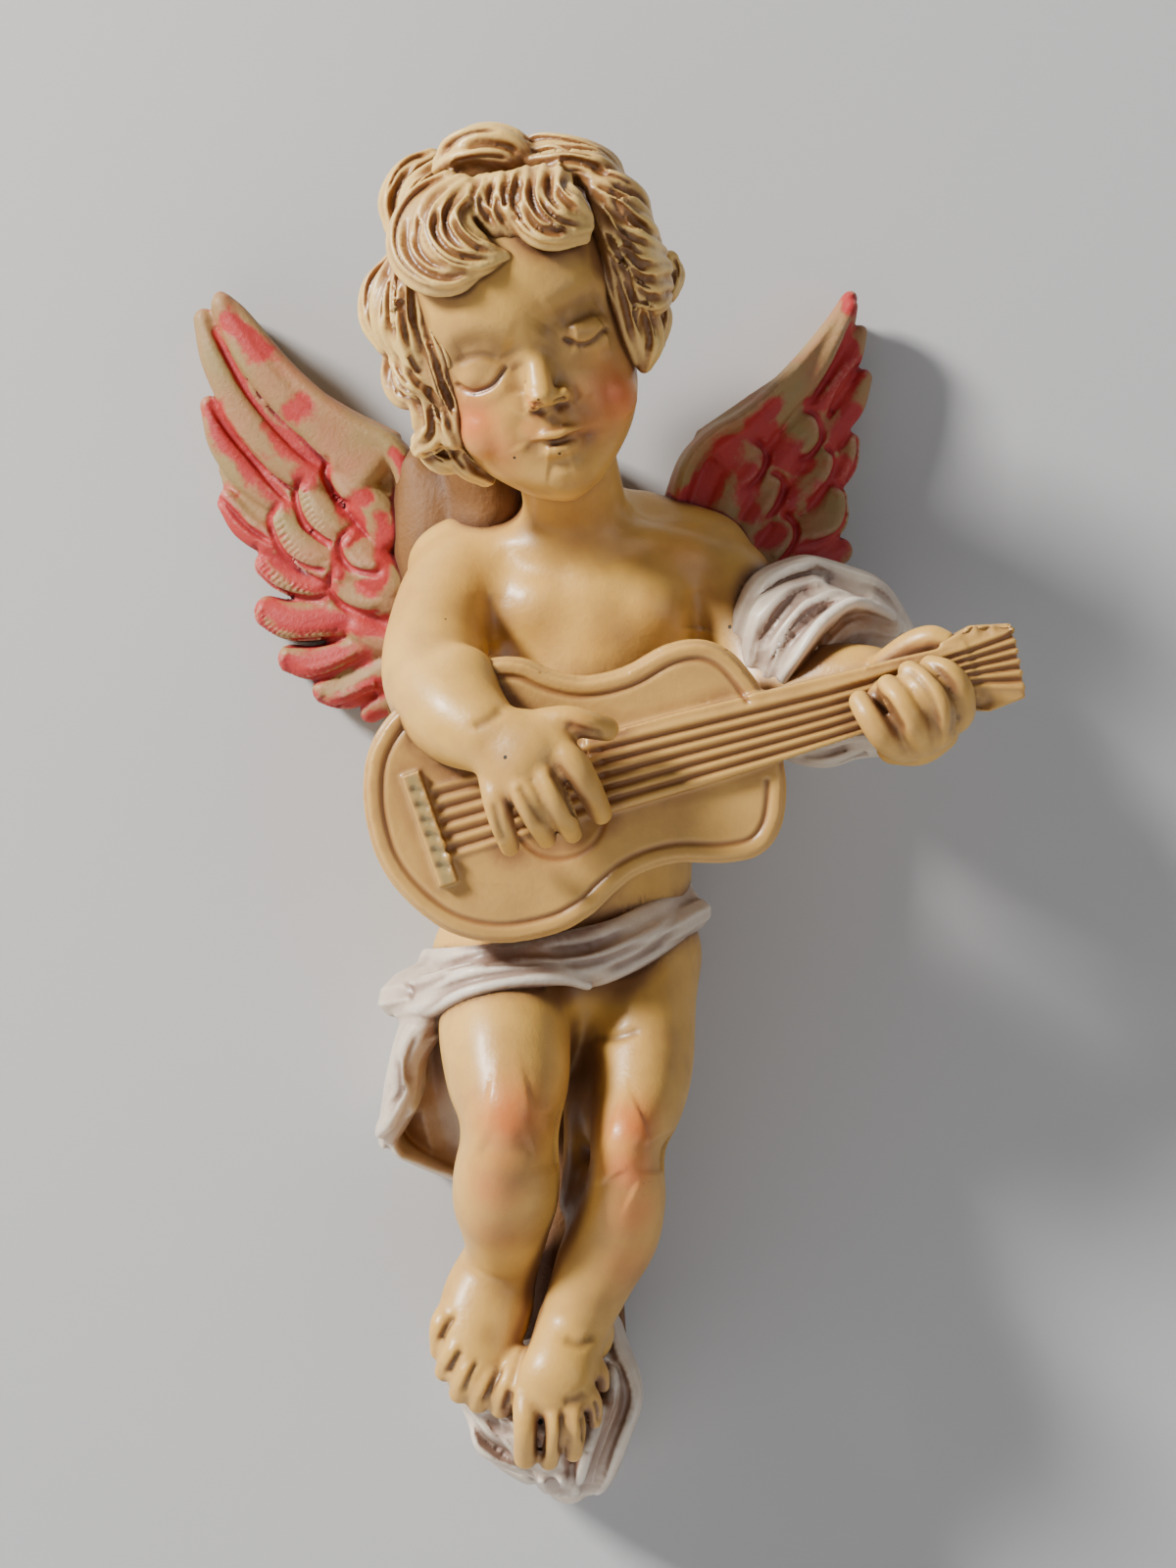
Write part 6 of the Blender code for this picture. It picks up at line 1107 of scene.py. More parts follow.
def carve_face(skin):
    """Sockets, closed lids, nostrils, lips, chin and cheeks, then the blush and the painted shade on them."""
    for reach, height, layer, lines, *blunt in FACE_STROKES:
        skin.carve(lines, reach, height, layer=layer, taper=not blunt)
    skin.dab("blush", [(-14.5, 52.7, 22, 4.6, 0.85), (-12, 52, 18.5, 4.6, 0.6), (7.8, 52.3, 26.4, 5.6, 1),
        (5.4, 53.2, 23.2, 4.6, 0.6), (-5.5, 58.2, 23.9, 1.8, 0.6), (-5.7, 54.8, 20.5, 2.2, 0.4)])
    skin.dab("shadow", [
        (-16.7, 56.5, 32.5, 2.6, 0.5), (-13.9, 58, 33.1, 2.8, 0.55), (-11, 58.7, 33.2, 2.8, 0.5),
        (-9.1, 57, 31.2, 2.4, 0.55), (-3.2, 58.5, 35.5, 2.6, 0.55), (-1.4, 58.9, 37.6, 3, 0.55),
        (2, 57.5, 39.4, 3, 0.45), (5, 56.6, 40.9, 2.6, 0.45), (-2.6, 57.1, 33, 2.4, 0.65), (-2.3, 55.6, 30.8, 2, 0.6),
        (-1.4, 55, 28.4, 2, 0.55), (-0.2, 55.8, 30.8, 3, 0.3), (2, 56.1, 31.9, 2.6, 0.35),
        (-5.2, 53.4, 17.7, 1.8, 0.5), (3.8, 52.7, 19.8, 1.9, 0.5), (-0.5, 55.5, 24, 1.8, 0.6),
        (-1.7, 55.1, 22, 1.4, 0.55), (-1.1, 52.7, 15.5, 2, 0.35), (-6, 54.9, 20.7, 2.4, 0.3),
        (3.5, 54.2, 23.6, 3, 0.25), (7.4, 52.8, 35.4, 3, 0.35), (8.1, 55.2, 41.9, 3.5, 0.4),
        (-17.8, 59.3, 36.6, 3, 0.25), (-2.5, 64.2, 47.7, 4, 0.35), (-5.9, 47.4, 12.1, 3.5, 0.3),
        (3.5, 47.9, 12.3, 3.5, 0.3),
    ])


# which way is outside, the rounded lower edges of the feathers from the tip round, and the nicked ones among them
FEATHER_EDGES = {
    "wing_left": (-1, [
        [(-41.1, 13.3, 21.2), (-41.6, 11.9, 19), (-39.8, 12.4, 15.5), (-37.5, 13.8, 14)],
        [(-45.5, 12.2, 17.4), (-47, 10.7, 15.9), (-45.6, 11, 11.2), (-42.4, 12.7, 8.3), (-40.6, 12.9, 7.4)],
        [(-50.1, 10.4, 13.5), (-51.5, 10.4, 10.9), (-49.3, 10.4, 5.8), (-45.2, 11.9, 3.4), (-42, 12.4, 3)],
        [(-37.1, 12.6, 9.2), (-39.2, 13.2, 6.5), (-37.5, 13.4, 3.3), (-34.2, 14.2, 2.4), (-32.5, 14.1, 2.9)],
        [(-40.2, 12.4, 2.2), (-41.1, 11.4, -0.5), (-38.9, 11.3, -3.2), (-35.4, 12.6, -4.5), (-32.6, 13.1, -4.2)],
        [(-54, 8.5, 6.5), (-54.7, 8, 3.2), (-50.9, 8.7, -0.3), (-45.4, 9.5, -1.7), (-41.7, 10.3, -1.2)],
        [(-54.5, 7.1, -1.9), (-54.5, 7.2, -6.5), (-51, 7.8, -9.1), (-45.5, 9, -9.2), (-39.1, 9.3, -8.7)],
        [(-50.6, 6.5, -10.5), (-50.6, 6.8, -15), (-47.5, 6.8, -16.3), (-41.8, 9.5, -15.1), (-35.6, 10.1, -12)],
        [(-44.8, 7.1, -17.7), (-43.8, 6.7, -21.2), (-40.2, 8.7, -20.9), (-35.6, 9.5, -19), (-28.6, 46.1, -17.5)],
        [(-61.9, 9.9, 46), (-58.7, 10.4, 39.7), (-55.1, 10.4, 33.5), (-50.6, 10.7, 28), (-46.1, 11, 23.5),
            (-42.5, 11.7, 20.9)],
        [(-62, 8.7, 31.9), (-58.9, 8.8, 27.4), (-54.3, 9.8, 22), (-50.7, 9.6, 17.5), (-47.9, 10.3, 14.7)],
        [(-62.3, 6.8, 17), (-59, 8.2, 14.1), (-55.3, 8.7, 10.4), (-51.6, 9.3, 8.1)],
    ], (1, 2, 5, 6, 7, 8)),
    "wing_right": (1, [
        [(40.6, 11.9, 29.5), (42.8, 12.1, 28.7), (43.7, 11, 25.7), (41.8, 11.7, 22.9), (40, 12.5, 22.3)],
        [(44.1, 10.8, 23.7), (46.1, 10.8, 21.8), (45.3, 10.9, 18.6), (41.8, 11.7, 14.7)],
        [(45.9, 9.5, 17.7), (48.3, 9.7, 15.6), (48.1, 10, 11.6), (45.8, 10.7, 8.8), (39.3, 12.1, 6.8)],
        [(36.9, 12.4, 11.7), (38.9, 11.6, 9.9), (38.5, 12.3, 6.8), (34, 32.2, 1.2)],
        [(34.5, 13.6, 18.8), (36.9, 12.8, 17.3), (36, 12.8, 14.1), (33.8, 13.8, 11.2)],
        [(31.6, 15, 24.3), (33.8, 13.5, 22.2), (32.9, 14.2, 19), (30.1, 15.1, 16.2)],
        [(50.3, 7.3, 26.3), (50.5, 8, 23.1), (48.3, 7.8, 17.6)],
        [(49.5, 11.2, 46.9), (45.7, 12, 38.1), (41.7, 12, 31.9)],
        [(51.3, 8.8, 39.8), (47.7, 10.3, 35.3), (45, 10.5, 29.8)],
    ], ()),
}
WING_RED = {
    "wing_left": [
        (1.3, [[(-30.1, 15.2, 22.3), (-28, 16.1, 19.1), (-26.8, 17.9, 13.8), (-26.6, 18.3, 7.9), (-26.3, 27.9, 1.2),
            (-27.3, 33.6, -4.5)], [(-36.6, 13.7, 12.4), (-36.2, 12.4, 9.2), (-38.9, 13.3, 7), (-40.2, 12.1, 4.9),
            (-40.2, 12.3, 1.5)]]),
        (2, [[(-32.3, 14.4, 11.2), (-31.9, 13.9, 7), (-32.3, 14.4, 1.3), (-34.6, 13.2, -0.8)], [(-39, 12.1, 13.1),
            (-35.1, 14.2, 14.6)], [(-52.4, 11.4, 27.6), (-47.9, 11.5, 23.6), (-44, 11.6, 20.9), (-42.4, 11.9, 19.3)],
            [(-59.5, 12.2, 45.9), (-56.7, 12.6, 43.9), (-53.2, 12.8, 40.5)], [(-50, 8.7, 4), (-45.9, 9.7, 0.2),
            (-41.4, 10.7, -1.1)], [(-55.1, 7.5, 4.2), (-53.9, 7.9, -0.4)], [(-37.6, 10.6, -6.6), (-34.8, 11.4, -7.8),
            (-31.9, 11, -7.1)]]),
        (2.4, [[(-62.2, 8.8, 30.2), (-58.2, 9.2, 23.9), (-53.7, 9.6, 18.9), (-49.1, 10.4, 13.8)],
            [(-62.5, 6.8, 16.5), (-59.4, 8.2, 12.5), (-55.5, 8.8, 9), (-53.2, 9.1, 7.4)], [(-47.7, 13.6, 30),
            (-46.7, 13.7, 31)], [(-46.2, 12.2, 18.1), (-45.3, 12.3, 18.9)], [(-54.5, 7.5, -3.1), (-48.2, 9.6, -6),
            (-42.6, 10, -6.5), (-39.2, 10.3, -6.6)], [(-51.8, 6.6, -13.1), (-46.6, 8.5, -15.4), (-40.4, 9.8, -12.5),
            (-35.9, 10, -12.5)], [(-45.7, 7.2, -20.3), (-43.9, 7.5, -23.1), (-39.3, 8.9, -20.9), (-34.3, 9.7, -18.2),
            (-28.6, 45.9, -17)], [(-37.3, 6.9, -25.8), (-34, 6.1, -24.1), (-27.5, 48.9, -22.2)],
            [(-55.2, 7.2, -6.7), (-53, 7.7, -9.1)], [(-60, 7.6, 11.6), (-58.6, 7.6, 9)]]),
    ],
    "wing_right": [
        (1.6, [[(42.4, 11.8, 31.1), (44.9, 11.4, 32), (48.1, 10.3, 36.5), (49.7, 9.6, 41.2)], [(51.5, 8.3, 38.7),
            (50, 8, 35.6), (48.2, 8.6, 32.4)], [(49.2, 9.6, 50.1), (49.4, 11, 47.8)], [(32, 15.4, 26.7),
            (35.2, 15.1, 29.8)]]),
        (2, [[(35.3, 13.3, 21.5), (37.7, 13.2, 21.2), (41.3, 11.4, 20.9)], [(35.7, 12.5, 8.7), (33.8, 12.8, 7.4)],
            [(44, 11.3, 16.6), (42.9, 11, 14.8)], [(49.7, 8.9, 30), (48.2, 9.1, 26.7), (46.6, 9.7, 24.4)],
            [(40.9, 11.6, 6), (43.4, 11, 6.4), (45.9, 9.9, 7.4)], [(33.8, 34.1, -0.1), (36.3, 30.8, 2.4)],
            [(21.7, 22.2, 10.4), (20.4, 17.1, 14.1)]]),
        (2.8, [[(33.7, 14.9, 25.9), (36.9, 12.9, 23.9), (38.4, 13.1, 22.2)], [(27.4, 15.4, 22.8), (26, 12.3, 19.3),
            (24.6, 16, 15.7)], [(32, 14.4, 17.5), (31.4, 14.1, 14.4), (32, 14.1, 12.1)], [(38.5, 12.2, 15.3),
            (37.8, 12.6, 13.8)], [(48.2, 8.7, 20.9), (49.1, 8.1, 19.1), (47.5, 8.7, 18.2)], [(44.8, 28.3, 2.1),
            (47.9, 8.7, 7.1)]]),
    ],
}


def carve_wing(skin, name):
    """A rim and a groove at the edge of each feather, nicks on some, and where the red paint lies."""
    side, edges, nicked = FEATHER_EDGES[name]
    for reach, shift, height, layer in ((0.65, 0.8, -0.8, "red"), (0.9, -0.7, 0.32, None)):
        lines = []
        for edge in edges:
            line = curve(edge, 4)
            run = unit(np.gradient(line[:, [0, 2]], axis=0))
            x, z = line[:, 0] - side * shift * run[:, 1], line[:, 2] + side * shift * run[:, 0]
            lines.append(np.column_stack([x, line[:, 1], z]))
        skin.carve(lines, reach, height, layer=layer)
    for i in nicked:
        line = curve(edges[i], 5)
        nicks = [[tuple(a + (0.3, 0.0, 0.3)), tuple(a + (1.3, 0.0, 0.9))] for a in line[4:-2]]
        skin.carve(nicks, 0.35, -0.3, taper=False)
    for radius, lines in WING_RED[name]:
        skin.carve(lines, radius, 0, layer="red", taper=False, depth=14)


def carve_hair(skin):
    """Lens-shaped grooves along each lock, brown in the bottom."""
    for i, row in enumerate(LOCKS):
        line = curve(row, 5)
        run = unit(np.gradient(line[:, [0, 2]], axis=0))
        grooves = []
        for side, first, last in ((-0.42, 0.08, 0.85), (0.05, 0.3, 0.97), (0.5, 0.0, 0.75)):
            side *= (-1) ** i
            shift = side * line[:, 3, None] * np.stack([-run[:, 1], run[:, 0]], axis=-1)
            out = line[:, 1] + 0.9 * line[:, 3] * math.sqrt(1 - side**2)
            path = np.column_stack([line[:, 0] + shift[:, 0], out, line[:, 2] + shift[:, 1]])
            ends = [int(first * len(path)), max(int(last * len(path)), int(first * len(path)) + 3)]
            grooves.append(path[ends[0]:ends[1]:3])
        skin.carve([g for g in grooves if len(g) > 1], 0.5, -0.75, layer="strand", depth=2.6)


def on_guitar(line, out=0.0):
    """Guitar-local points x and z as rows of x, out and z."""
    rows = [guitar_frame() @ Vector((x, -out, z)) for x, z in line]
    return [(p.x, -p.y, p.z) for p in rows]


# the six strings where they leave the bridge, start on the board, at the hand, and at the end of the headstock
STRINGS = [
    [(-8.6, 5.3), (19.3, 5.3), (55.6, 4.6), (68, 4.8), (77, 4.9), (87.6, 6.2)],
    [(-8.4, 2.9), (19, 3.3), (55, 2.8), (68, 3.2), (77, 3.8), (87.5, 4.4)],
    [(-8.4, 0.7), (18.8, 1.3), (54.6, 1.1), (68, 1.8), (77, 2.6), (87.3, 2.7)],
    [(-8.4, -1.5), (18.3, -0.8), (54.2, -0.6), (68, 0.3), (77, 1.4), (87, 1)],
    [(-8.5, -3.7), (17.8, -2.8), (53.8, -2.2), (68, -1.2), (77, 0.3), (86.6, -0.8)],
    [(-8.7, -6), (17.1, -4.9), (53.4, -3.9), (68, -3), (77, -1), (86, -3)],
]


def carve_guitar(skin):
    """Inlaid line inside the rim, sound hole, strings, and the bridge with its pins."""
    def cut(lines, reach, height, layer=None, out=0.0, **how):
        skin.carve([on_guitar(line, out) for line in lines], reach, height, layer=layer, taper=False, **how)

    def along_rim(inset):
        line = guitar_outline(inset)
        board = (line[:, 0] > 30) & (np.abs(line[:, 1]) < 5.6)
        first, last = np.flatnonzero(board)[[0, -1]]
        return np.vstack([line[last + 1:], line[:first]])

    def round_hole(radius):
        turn = np.linspace(0, 2 * math.pi, 37)
        return np.column_stack([HOLE_AT[0] + radius * np.cos(turn), HOLE_AT[1] + radius * np.sin(turn)])

    cut([along_rim(1.5)], 1.3, 0.2)
    cut([along_rim(3.1)], 0.42, -0.45, "inlay")
    cut([round_hole(5.2)], 1.9, -0.7)
    cut([[(8.0, -3.6), (12.0, -3.6)]], 3.2, -0.7)
    cut([round_hole(7.4)], 0.5, -0.35, "inlay")
    gaps = [[((a + c) / 2, (b + d) / 2) for (a, b), (c, d) in zip(*pair)] for pair in zip(STRINGS[:-1], STRINGS[1:])]
    cut(STRINGS, 0.6, 0.4)
    cut([line[1:] for line in gaps], 0.36, -0.4, "inlay")
    cut([line[:2] for line in gaps], 0.4, -0.25, "inlay")
    cut([[(-11.2, 7.6), (-10.0, -9.4)]], 1.2, 0, "bridge", out=1.5, depth=1.6)
    pins = [(-10.9 + 0.075 * (5.6 - z), z) for z in (5.6, 3.0, 0.5, -2.0, -4.6, -7.2)]
    cut([[(x - 0.5, z + 0.3), (x + 0.5, z - 0.3)] for x, z in pins], 0.55, -0.5, "inlay", out=1.5)
    # chips along the top of the headstock
    chips = [[(62.3, 50.7, -9.2), (63.4, 52, -10.5)], [(65.6, 52, -8.9), (66.2, 52.1, -10.2)], [(68.9, 52.1, -9.7),
        (70.8, 51.9, -10.5)], [(65, 51.3, -22.9), (66.6, 51.3, -22.3)]]
    skin.carve(chips, 1.1, -0.7, taper=False)


def nail_hole(skin):
    """Cut the blind hole out of the flat back."""
    thing = lump("clay", *joined(skin.clay()))
    x, z = NAIL_HOLE_AT
    only_none()
    long = 60
    bpy.ops.mesh.primitive_cylinder_add(
        vertices=48, radius=NAIL_HOLE_WIDE / 2, depth=long,
        location=(x, long / 2 - NAIL_HOLE_DEEP, z), rotation=(math.radians(90), 0, 0))
    cutter = bpy.context.object
    finish_with(thing, "BOOLEAN", operation="DIFFERENCE", solver="MANIFOLD", object=cutter)
    bpy.data.objects.remove(cutter)
    for vert in thing.data.vertices:
        vert.co.y = min(vert.co.y, 0)
    return thing


def body_skin(settings):
    """Trunk, arms and legs with hands and feet, each stage smoothed before the next is added."""
    skin = fused(torso() + arms() + legs(), 0.9)
    skin.relax(passes(30, 0.9, 0.9), ridge=0.15)
    skin = fused(skin.clay() + palms() + feet(), 0.6)
    skin.relax(passes(10, 0.6))
    skin = fused(skin.clay() + tubes(FINGERS + TOES, 14), settings.limbs)
    skin.relax(passes(3, settings.limbs))
    return skin


def head_skin(settings):
    """The egg of the head, then its nose, lids and cheeks, and its lips last so that they stay crisp."""
    soft, crisp = features()
    skin = fused(moved(head(), head_frame()), 0.6)
    skin.relax(passes(20, 0.6))
    skin = fused(skin.clay() + moved(soft, head_frame()), settings.face)
    skin.relax(passes(9, settings.face))
    skin = fused(skin.clay() + moved(crisp, head_frame()), settings.face)
    skin.relax(passes(2, settings.face))
    return skin


def hair_skin(settings):
    """All the locks over a cap, with their strands."""
    skin = fused(locks(settings.strands, 0.3, 36) + back_locks(settings.strands, 0.3, 30), settings.hair)
    skin.relax(2, hollow=0.5)
    return skin


class Value:
    """A number or colour in a material, so that maths on it adds its nodes."""

    def __init__(self, paint, socket):
        self.paint, self.socket = paint, socket

    def maths(self, operation, first, second, clamp=False):
        """A Math node on two numbers or values."""
        settings = {"operation": operation, "use_clamp": clamp}
        return self.paint.node("ShaderNodeMath", settings, {0: first, 1: second})

    def __add__(self, other):
        return self.maths("ADD", self, other)

    def __radd__(self, other):
        return self.maths("ADD", other, self)

    def __sub__(self, other):
        return self.maths("SUBTRACT", self, other)

    def __rsub__(self, other):
        return self.maths("SUBTRACT", other, self)

    def __mul__(self, other):
        return self.maths("MULTIPLY", self, other)

    def __rmul__(self, other):
        return self.maths("MULTIPLY", other, self)

    def between(self, low, high):
        """0 at low and below, 1 at high and above, smooth in between."""
        inputs = {"Value": self, "From Min": low, "From Max": high}
        return self.paint.node("ShaderNodeMapRange", {"interpolation_type": "SMOOTHSTEP"}, inputs, "Result")

    def held(self):
        """Kept from 0 to 1."""
        return self.maths("ADD", self, 0.0, clamp=True)

    def most(self, other):
        """The larger of two."""
        return self.maths("MAXIMUM", self, other)


class Finish:
    """A finish that is put together from nodes, with what is the same all over it set on its shader."""

    def __init__(self, name, **constants):
        self.material = bpy.data.materials.new(name)
        self.material.use_nodes = True
        self.tree = self.material.node_tree
        self.shader = self.tree.nodes["Principled BSDF"]
        self.place = None
        for socket, value in constants.items():
            self.shader.inputs[socket.replace("_", " ")].default_value = value

    def node(self, kind, settings=(), inputs=(), output=0):
        """The output of a new node with these settings, and values or links at its sockets."""
        node = self.tree.nodes.new(kind)
        for key, value in dict(settings).items():
            setattr(node, key, value)
        for key, value in dict(inputs).items():
            if isinstance(value, Value):
                self.tree.links.new(value.socket, node.inputs[key])
            else:
                node.inputs[key].default_value = value
        return Value(self, node.outputs[output])

    def layer(self, name):
        """A painted layer of the mesh, 0 where a piece has none."""
        return self.node("ShaderNodeAttribute", {"attribute_name": name}, output="Fac")

    def noise(self, size, detail=3.0, rough=0.5):
        """Cloudy noise with patches of about that size in millimetres, from 0 to 1."""
        inputs = {"Vector": self.place, "Scale": 1000.0 / size, "Detail": detail, "Roughness": rough}
        return self.node("ShaderNodeTexNoise", inputs=inputs)

    def specks(self, size, share):
        """Scattered small dots of that spacing in millimetres; the share is of the cells that have one."""
        inputs = {"Vector": self.place, "Scale": 1000.0 / size}
        cells = self.node("ShaderNodeTexVoronoi", inputs=inputs)
        tint = {"Color": self.node("ShaderNodeTexVoronoi", inputs=inputs, output="Color")}
        pick = self.node("ShaderNodeSeparateColor", inputs=tint)
        reach = self.node("ShaderNodeSeparateColor", inputs=tint, output=1) * 0.1 + 0.06
        return (reach - cells).between(0.0, 0.02) * (pick - (1.0 - share)).between(0.0, 0.001)

    def mix(self, factor, first, second):
        """A mix of two colours."""
        colours = [value if isinstance(value, Value) else (*value, 1.0) for value in (first, second)]
        inputs = {0: factor, 6: colours[0], 7: colours[1]}
        return self.node("ShaderNodeMix", {"data_type": "RGBA"}, inputs, 2)

    def holes(self, spots):
        """Open air bubbles of the casting, at (x, out, z, radius) in millimetres."""
        total = None
        for x, out, z, radius in spots:
            inputs = {0: self.place, 1: (x * MM, -out * MM, z * MM)}
            gap = self.node("ShaderNodeVectorMath", {"operation": "DISTANCE"}, inputs, "Value")
            dot = gap.between(radius * 1.25 * MM, radius * 0.8 * MM)
            total = dot if total is None else total.most(dot)
        return total

    def done(self, colour, roughness, height):
        """Link colour, roughness and bump to the shader."""
        bump = self.node("ShaderNodeBump", inputs={"Height": height, "Strength": 0.5, "Distance": 0.0006})
        for name, value in (("Base Color", colour), ("Roughness", roughness), ("Normal", bump)):
            self.tree.links.new(value.socket, self.shader.inputs[name])
        return self.material


def painted(name, coat, wax):
    """Paint and wax on resin that lets a little light in."""
    paint = Finish(
        name, Coat_Weight=coat, Coat_Roughness=0.22,
        Subsurface_Weight=wax, Subsurface_Radius=(1.0, 0.5, 0.22), Subsurface_Scale=0.0035)
    paint.place = paint.node("ShaderNodeTexCoord", output="Object")
    return paint


PITS = [
    (-4.2, 60.6, 24.3, 0.36), (-1, 54, 17.2, 0.34), (-14.4, 54.1, 26.3, 0.22), (-8.1, 51.9, 16.7, 0.24),
    (-14.3, 65.6, 49.2, 0.36), (-19.7, 63.9, 50.8, 0.3), (-9.2, 62.8, -30.9, 0.3), (-19.6, 42, -8.3, 0.2),
    (-20, 30.7, -65.7, 0.3), (-14.7, 43.5, -69.4, 0.3), (-4.8, 39.4, -64.1, 0.3), (8.5, 38.4, -59.7, 0.3),
    (-4.4, 36.5, -139.9, 0.45), (27.2, 30.2, -8.8, 0.3), (38.6, 40.6, -8.2, 0.35), (-5.1, 48.6, -44.4, 0.3),
]


def resin(name, colours, light, deep, wash=1.0, coat=0.22, wax=0.14):
    """Resin, darker in random patches and as painted shade in its wide hollows, lighter where raised, with brown wash
    in the creases, and the fine grain of its surface; wash sets the strength of both the painted shade and the brown
    wash.
    """
    paint = painted(name, coat, wax)
    crease = paint.layer("crease")
    hollow = paint.layer("hollow")
    raised = paint.layer("raised")
    cloud = paint.noise(11, 3, 0.55)
    grain = paint.noise(0.9, 4, 0.6)
    # painted shade: the deep colour comes in where the wide hollow layer is high, as well as in random patches, and
    # less where raised
    depth = (hollow * 1.1 + (cloud - 0.5) * 1.6 + 0.15 - raised * 0.8).held()
    colour = paint.mix(depth, light, deep)
    # painted shade: umber in the wide hollows
    shade = (hollow * 1.5 - 0.5 + (cloud - 0.5) * 0.5) * wash
    colour = paint.mix(shade.held() * 0.6, colour, colours.umber)
    lines = paint.layer("line2") * 0.55 + paint.layer("line") * 0.9
    mark = (crease * 1.2 + (grain - 0.5) * 0.25 - 0.12 + lines) * wash
    colour = paint.mix(mark.held(), colour, colours.wash)
    return paint, colour, grain


def pitted(paint, colour, roughness, grain):
    """The finished material with its fine grain and the open air bubbles."""
    pits = paint.holes(PITS)
    return paint.done(paint.mix(pits, colour, BUBBLE), roughness, grain - pits * 3.0)


def skin_finish(colours):
    """The skin, with blush on the cheeks and knees, made once for the body and the head."""
    if "ivory_skin" in bpy.data.materials:
        return bpy.data.materials["ivory_skin"]
    paint, colour, grain = resin("ivory_skin", colours, colours.ivory, colours.amber, coat=0.14)
    patch = paint.noise(3, 3, 0.6)
    blush = paint.layer("blush") * (patch * 0.5 + 0.75)
    colour = paint.mix(blush.held(), colour, colours.blush)
    shadow = paint.layer("shadow") * (patch * 0.6 + 0.6)
    colour = paint.mix(shadow.held(), colour, colours.umber)
    specks = paint.specks(0.7, 0.35) * paint.layer("specks")
    colour = paint.mix(specks.held(), colour, SPECK)
    return pitted(paint, colour, paint.noise(5, 2) * 0.22 + 0.31, grain * 0.25)


def hair_finish(colours):
    """Blonde strands with brown wash between them."""
    paint, colour, grain = resin("blonde_hair", colours, colours.blonde, colours.amber, wash=0.85)
    raised = paint.layer("raised")
    strand = paint.layer("strand")
    low = (strand * 1.1 - raised * 4.0 + (paint.noise(2.5, 3) - 0.5) * 1.2).held()
    colour = paint.mix(low * 0.8, colour, colours.strand)
    colour = paint.mix((strand - 0.55).held() * 1.2, colour, colours.wash)
    return pitted(paint, colour, paint.noise(3, 2) * 0.2 + 0.3, grain * 0.4)


def wing_finish(colours):
    """Olive tan brushed over red, which stays in the hollows and shows where it is worn, with pale edges."""
    paint = painted("painted_feathers", 0.04, 0.02)
    raised = paint.layer("raised")
    crease = paint.layer("crease")
    patch = paint.noise(6, 4, 0.6)
    grain = paint.noise(0.8, 4, 0.65)
    base = paint.mix((paint.noise(9, 2) * 2.2 - 0.75).held(), colours.olive, colours.dusty)
    red = paint.mix((paint.noise(4, 3) * 1.6 - 0.3 - crease * 0.9).held(), colours.red, colours.coral)
    uneven = (patch - 0.5) * 2.6 + (grain - 0.5) * 0.5
    amount = (paint.layer("red") * 1.3 + crease * 0.9 + uneven - raised * 1.6 - 0.12).between(0.05, 0.75)
    colour = paint.mix(amount, base, red)
    colour = paint.mix((crease * 1.5 - 0.35).held() * 0.85, colour, colours.maroon)
    worn = (raised * 3.5 + (grain - 0.5) * 1.1 - 0.35).held()
    colour = paint.mix(worn * 0.55, colour, colours.worn)
    return paint.done(colour, paint.noise(2, 2) * 0.25 + 0.46, grain * 0.5 - amount * 0.3)


def cloth_finish(colours):
    """Cream cloth, lilac grey in the folds and as painted shade in the wide hollows, warm brown painted shade inside
    the cloth, with brown wash in the deepest and pale rubbed edges.
    """
    paint, colour, grain = resin("painted_cloth", colours, colours.cloth, colours.shade, wash=0.55)
    fold = (paint.layer("line2") * 0.7 + (paint.noise(3, 3) - 0.5) * 0.5).held()
    colour = paint.mix(fold, colour, colours.shade)
    # painted shade: warm brown inside the cloth, where the shadow layer lies
    colour = paint.mix((paint.layer("shadow") * 0.9).held(), colour, colours.tan)
    edge = (paint.layer("raised") * 5.0 + (grain - 0.5) * 0.5 - 0.1).held()
    colour = paint.mix(edge * 0.7, colour, colours.cream)
    return pitted(paint, colour, paint.noise(4, 2) * 0.2 + 0.36, grain * 0.35)


def guitar_finish(colours):
    """Cream tan resin, brown in the cut line and between the strings, with an olive gold bridge."""
    paint, colour, grain = resin("painted_guitar", colours, colours.wood, colours.amber, wash=0.6)
    colour = paint.mix((paint.layer("inlay") * 0.8).held(), colour, colours.line)
    colour = paint.mix(paint.layer("bridge"), colour, colours.gold)
    edge = (paint.layer("raised") * 4.0 + (grain - 0.5) * 0.4).held()
    colour = paint.mix(edge * 0.6, colour, colours.ivory)
    return pitted(paint, colour, paint.noise(4, 2) * 0.2 + 0.3, grain * 0.3)


def back_finish(colours):
    """Plain resin of the back, matt, darkened to brown as painted shade, with a faint wash."""
    paint, colour, grain = resin("back_resin_painted_shade", colours, colours.back, colours.back_deep, coat=0.0, wax=0.03)
    return paint.done(colour, paint.noise(4, 2) * 0.2 + 0.55, grain * 0.7)


class Maker:
    """What every step of the making shares."""

    bl_options = {"REGISTER", "UNDO"}

    @staticmethod
    def settings(context):
        return context.scene.cherub_sizes, context.scene.cherub_colours


class CHERUB_OT_body(Maker, bpy.types.Operator):
    """Model the trunk, arms, hands, legs and feet"""

    bl_idname = "cherub.body"
    bl_label = "Body, hands and feet"

    def execute(self, context):
        sizes, colours = self.settings(context)
        skin = body_skin(sizes)
        carve_body(skin)
        piece("body", skin, skin_finish(colours), MOST_TRIANGLES["body"])
        return {"FINISHED"}


class CHERUB_OT_head(Maker, bpy.types.Operator):
    """Model the head with its closed eyes, nose and mouth"""

    bl_idname = "cherub.head"
    bl_label = "Head and face"

    def execute(self, context):
        sizes, colours = self.settings(context)
        skin = head_skin(sizes)
        carve_face(skin)
        piece("head", skin, skin_finish(colours), MOST_TRIANGLES["head"], wall=False)
        return {"FINISHED"}


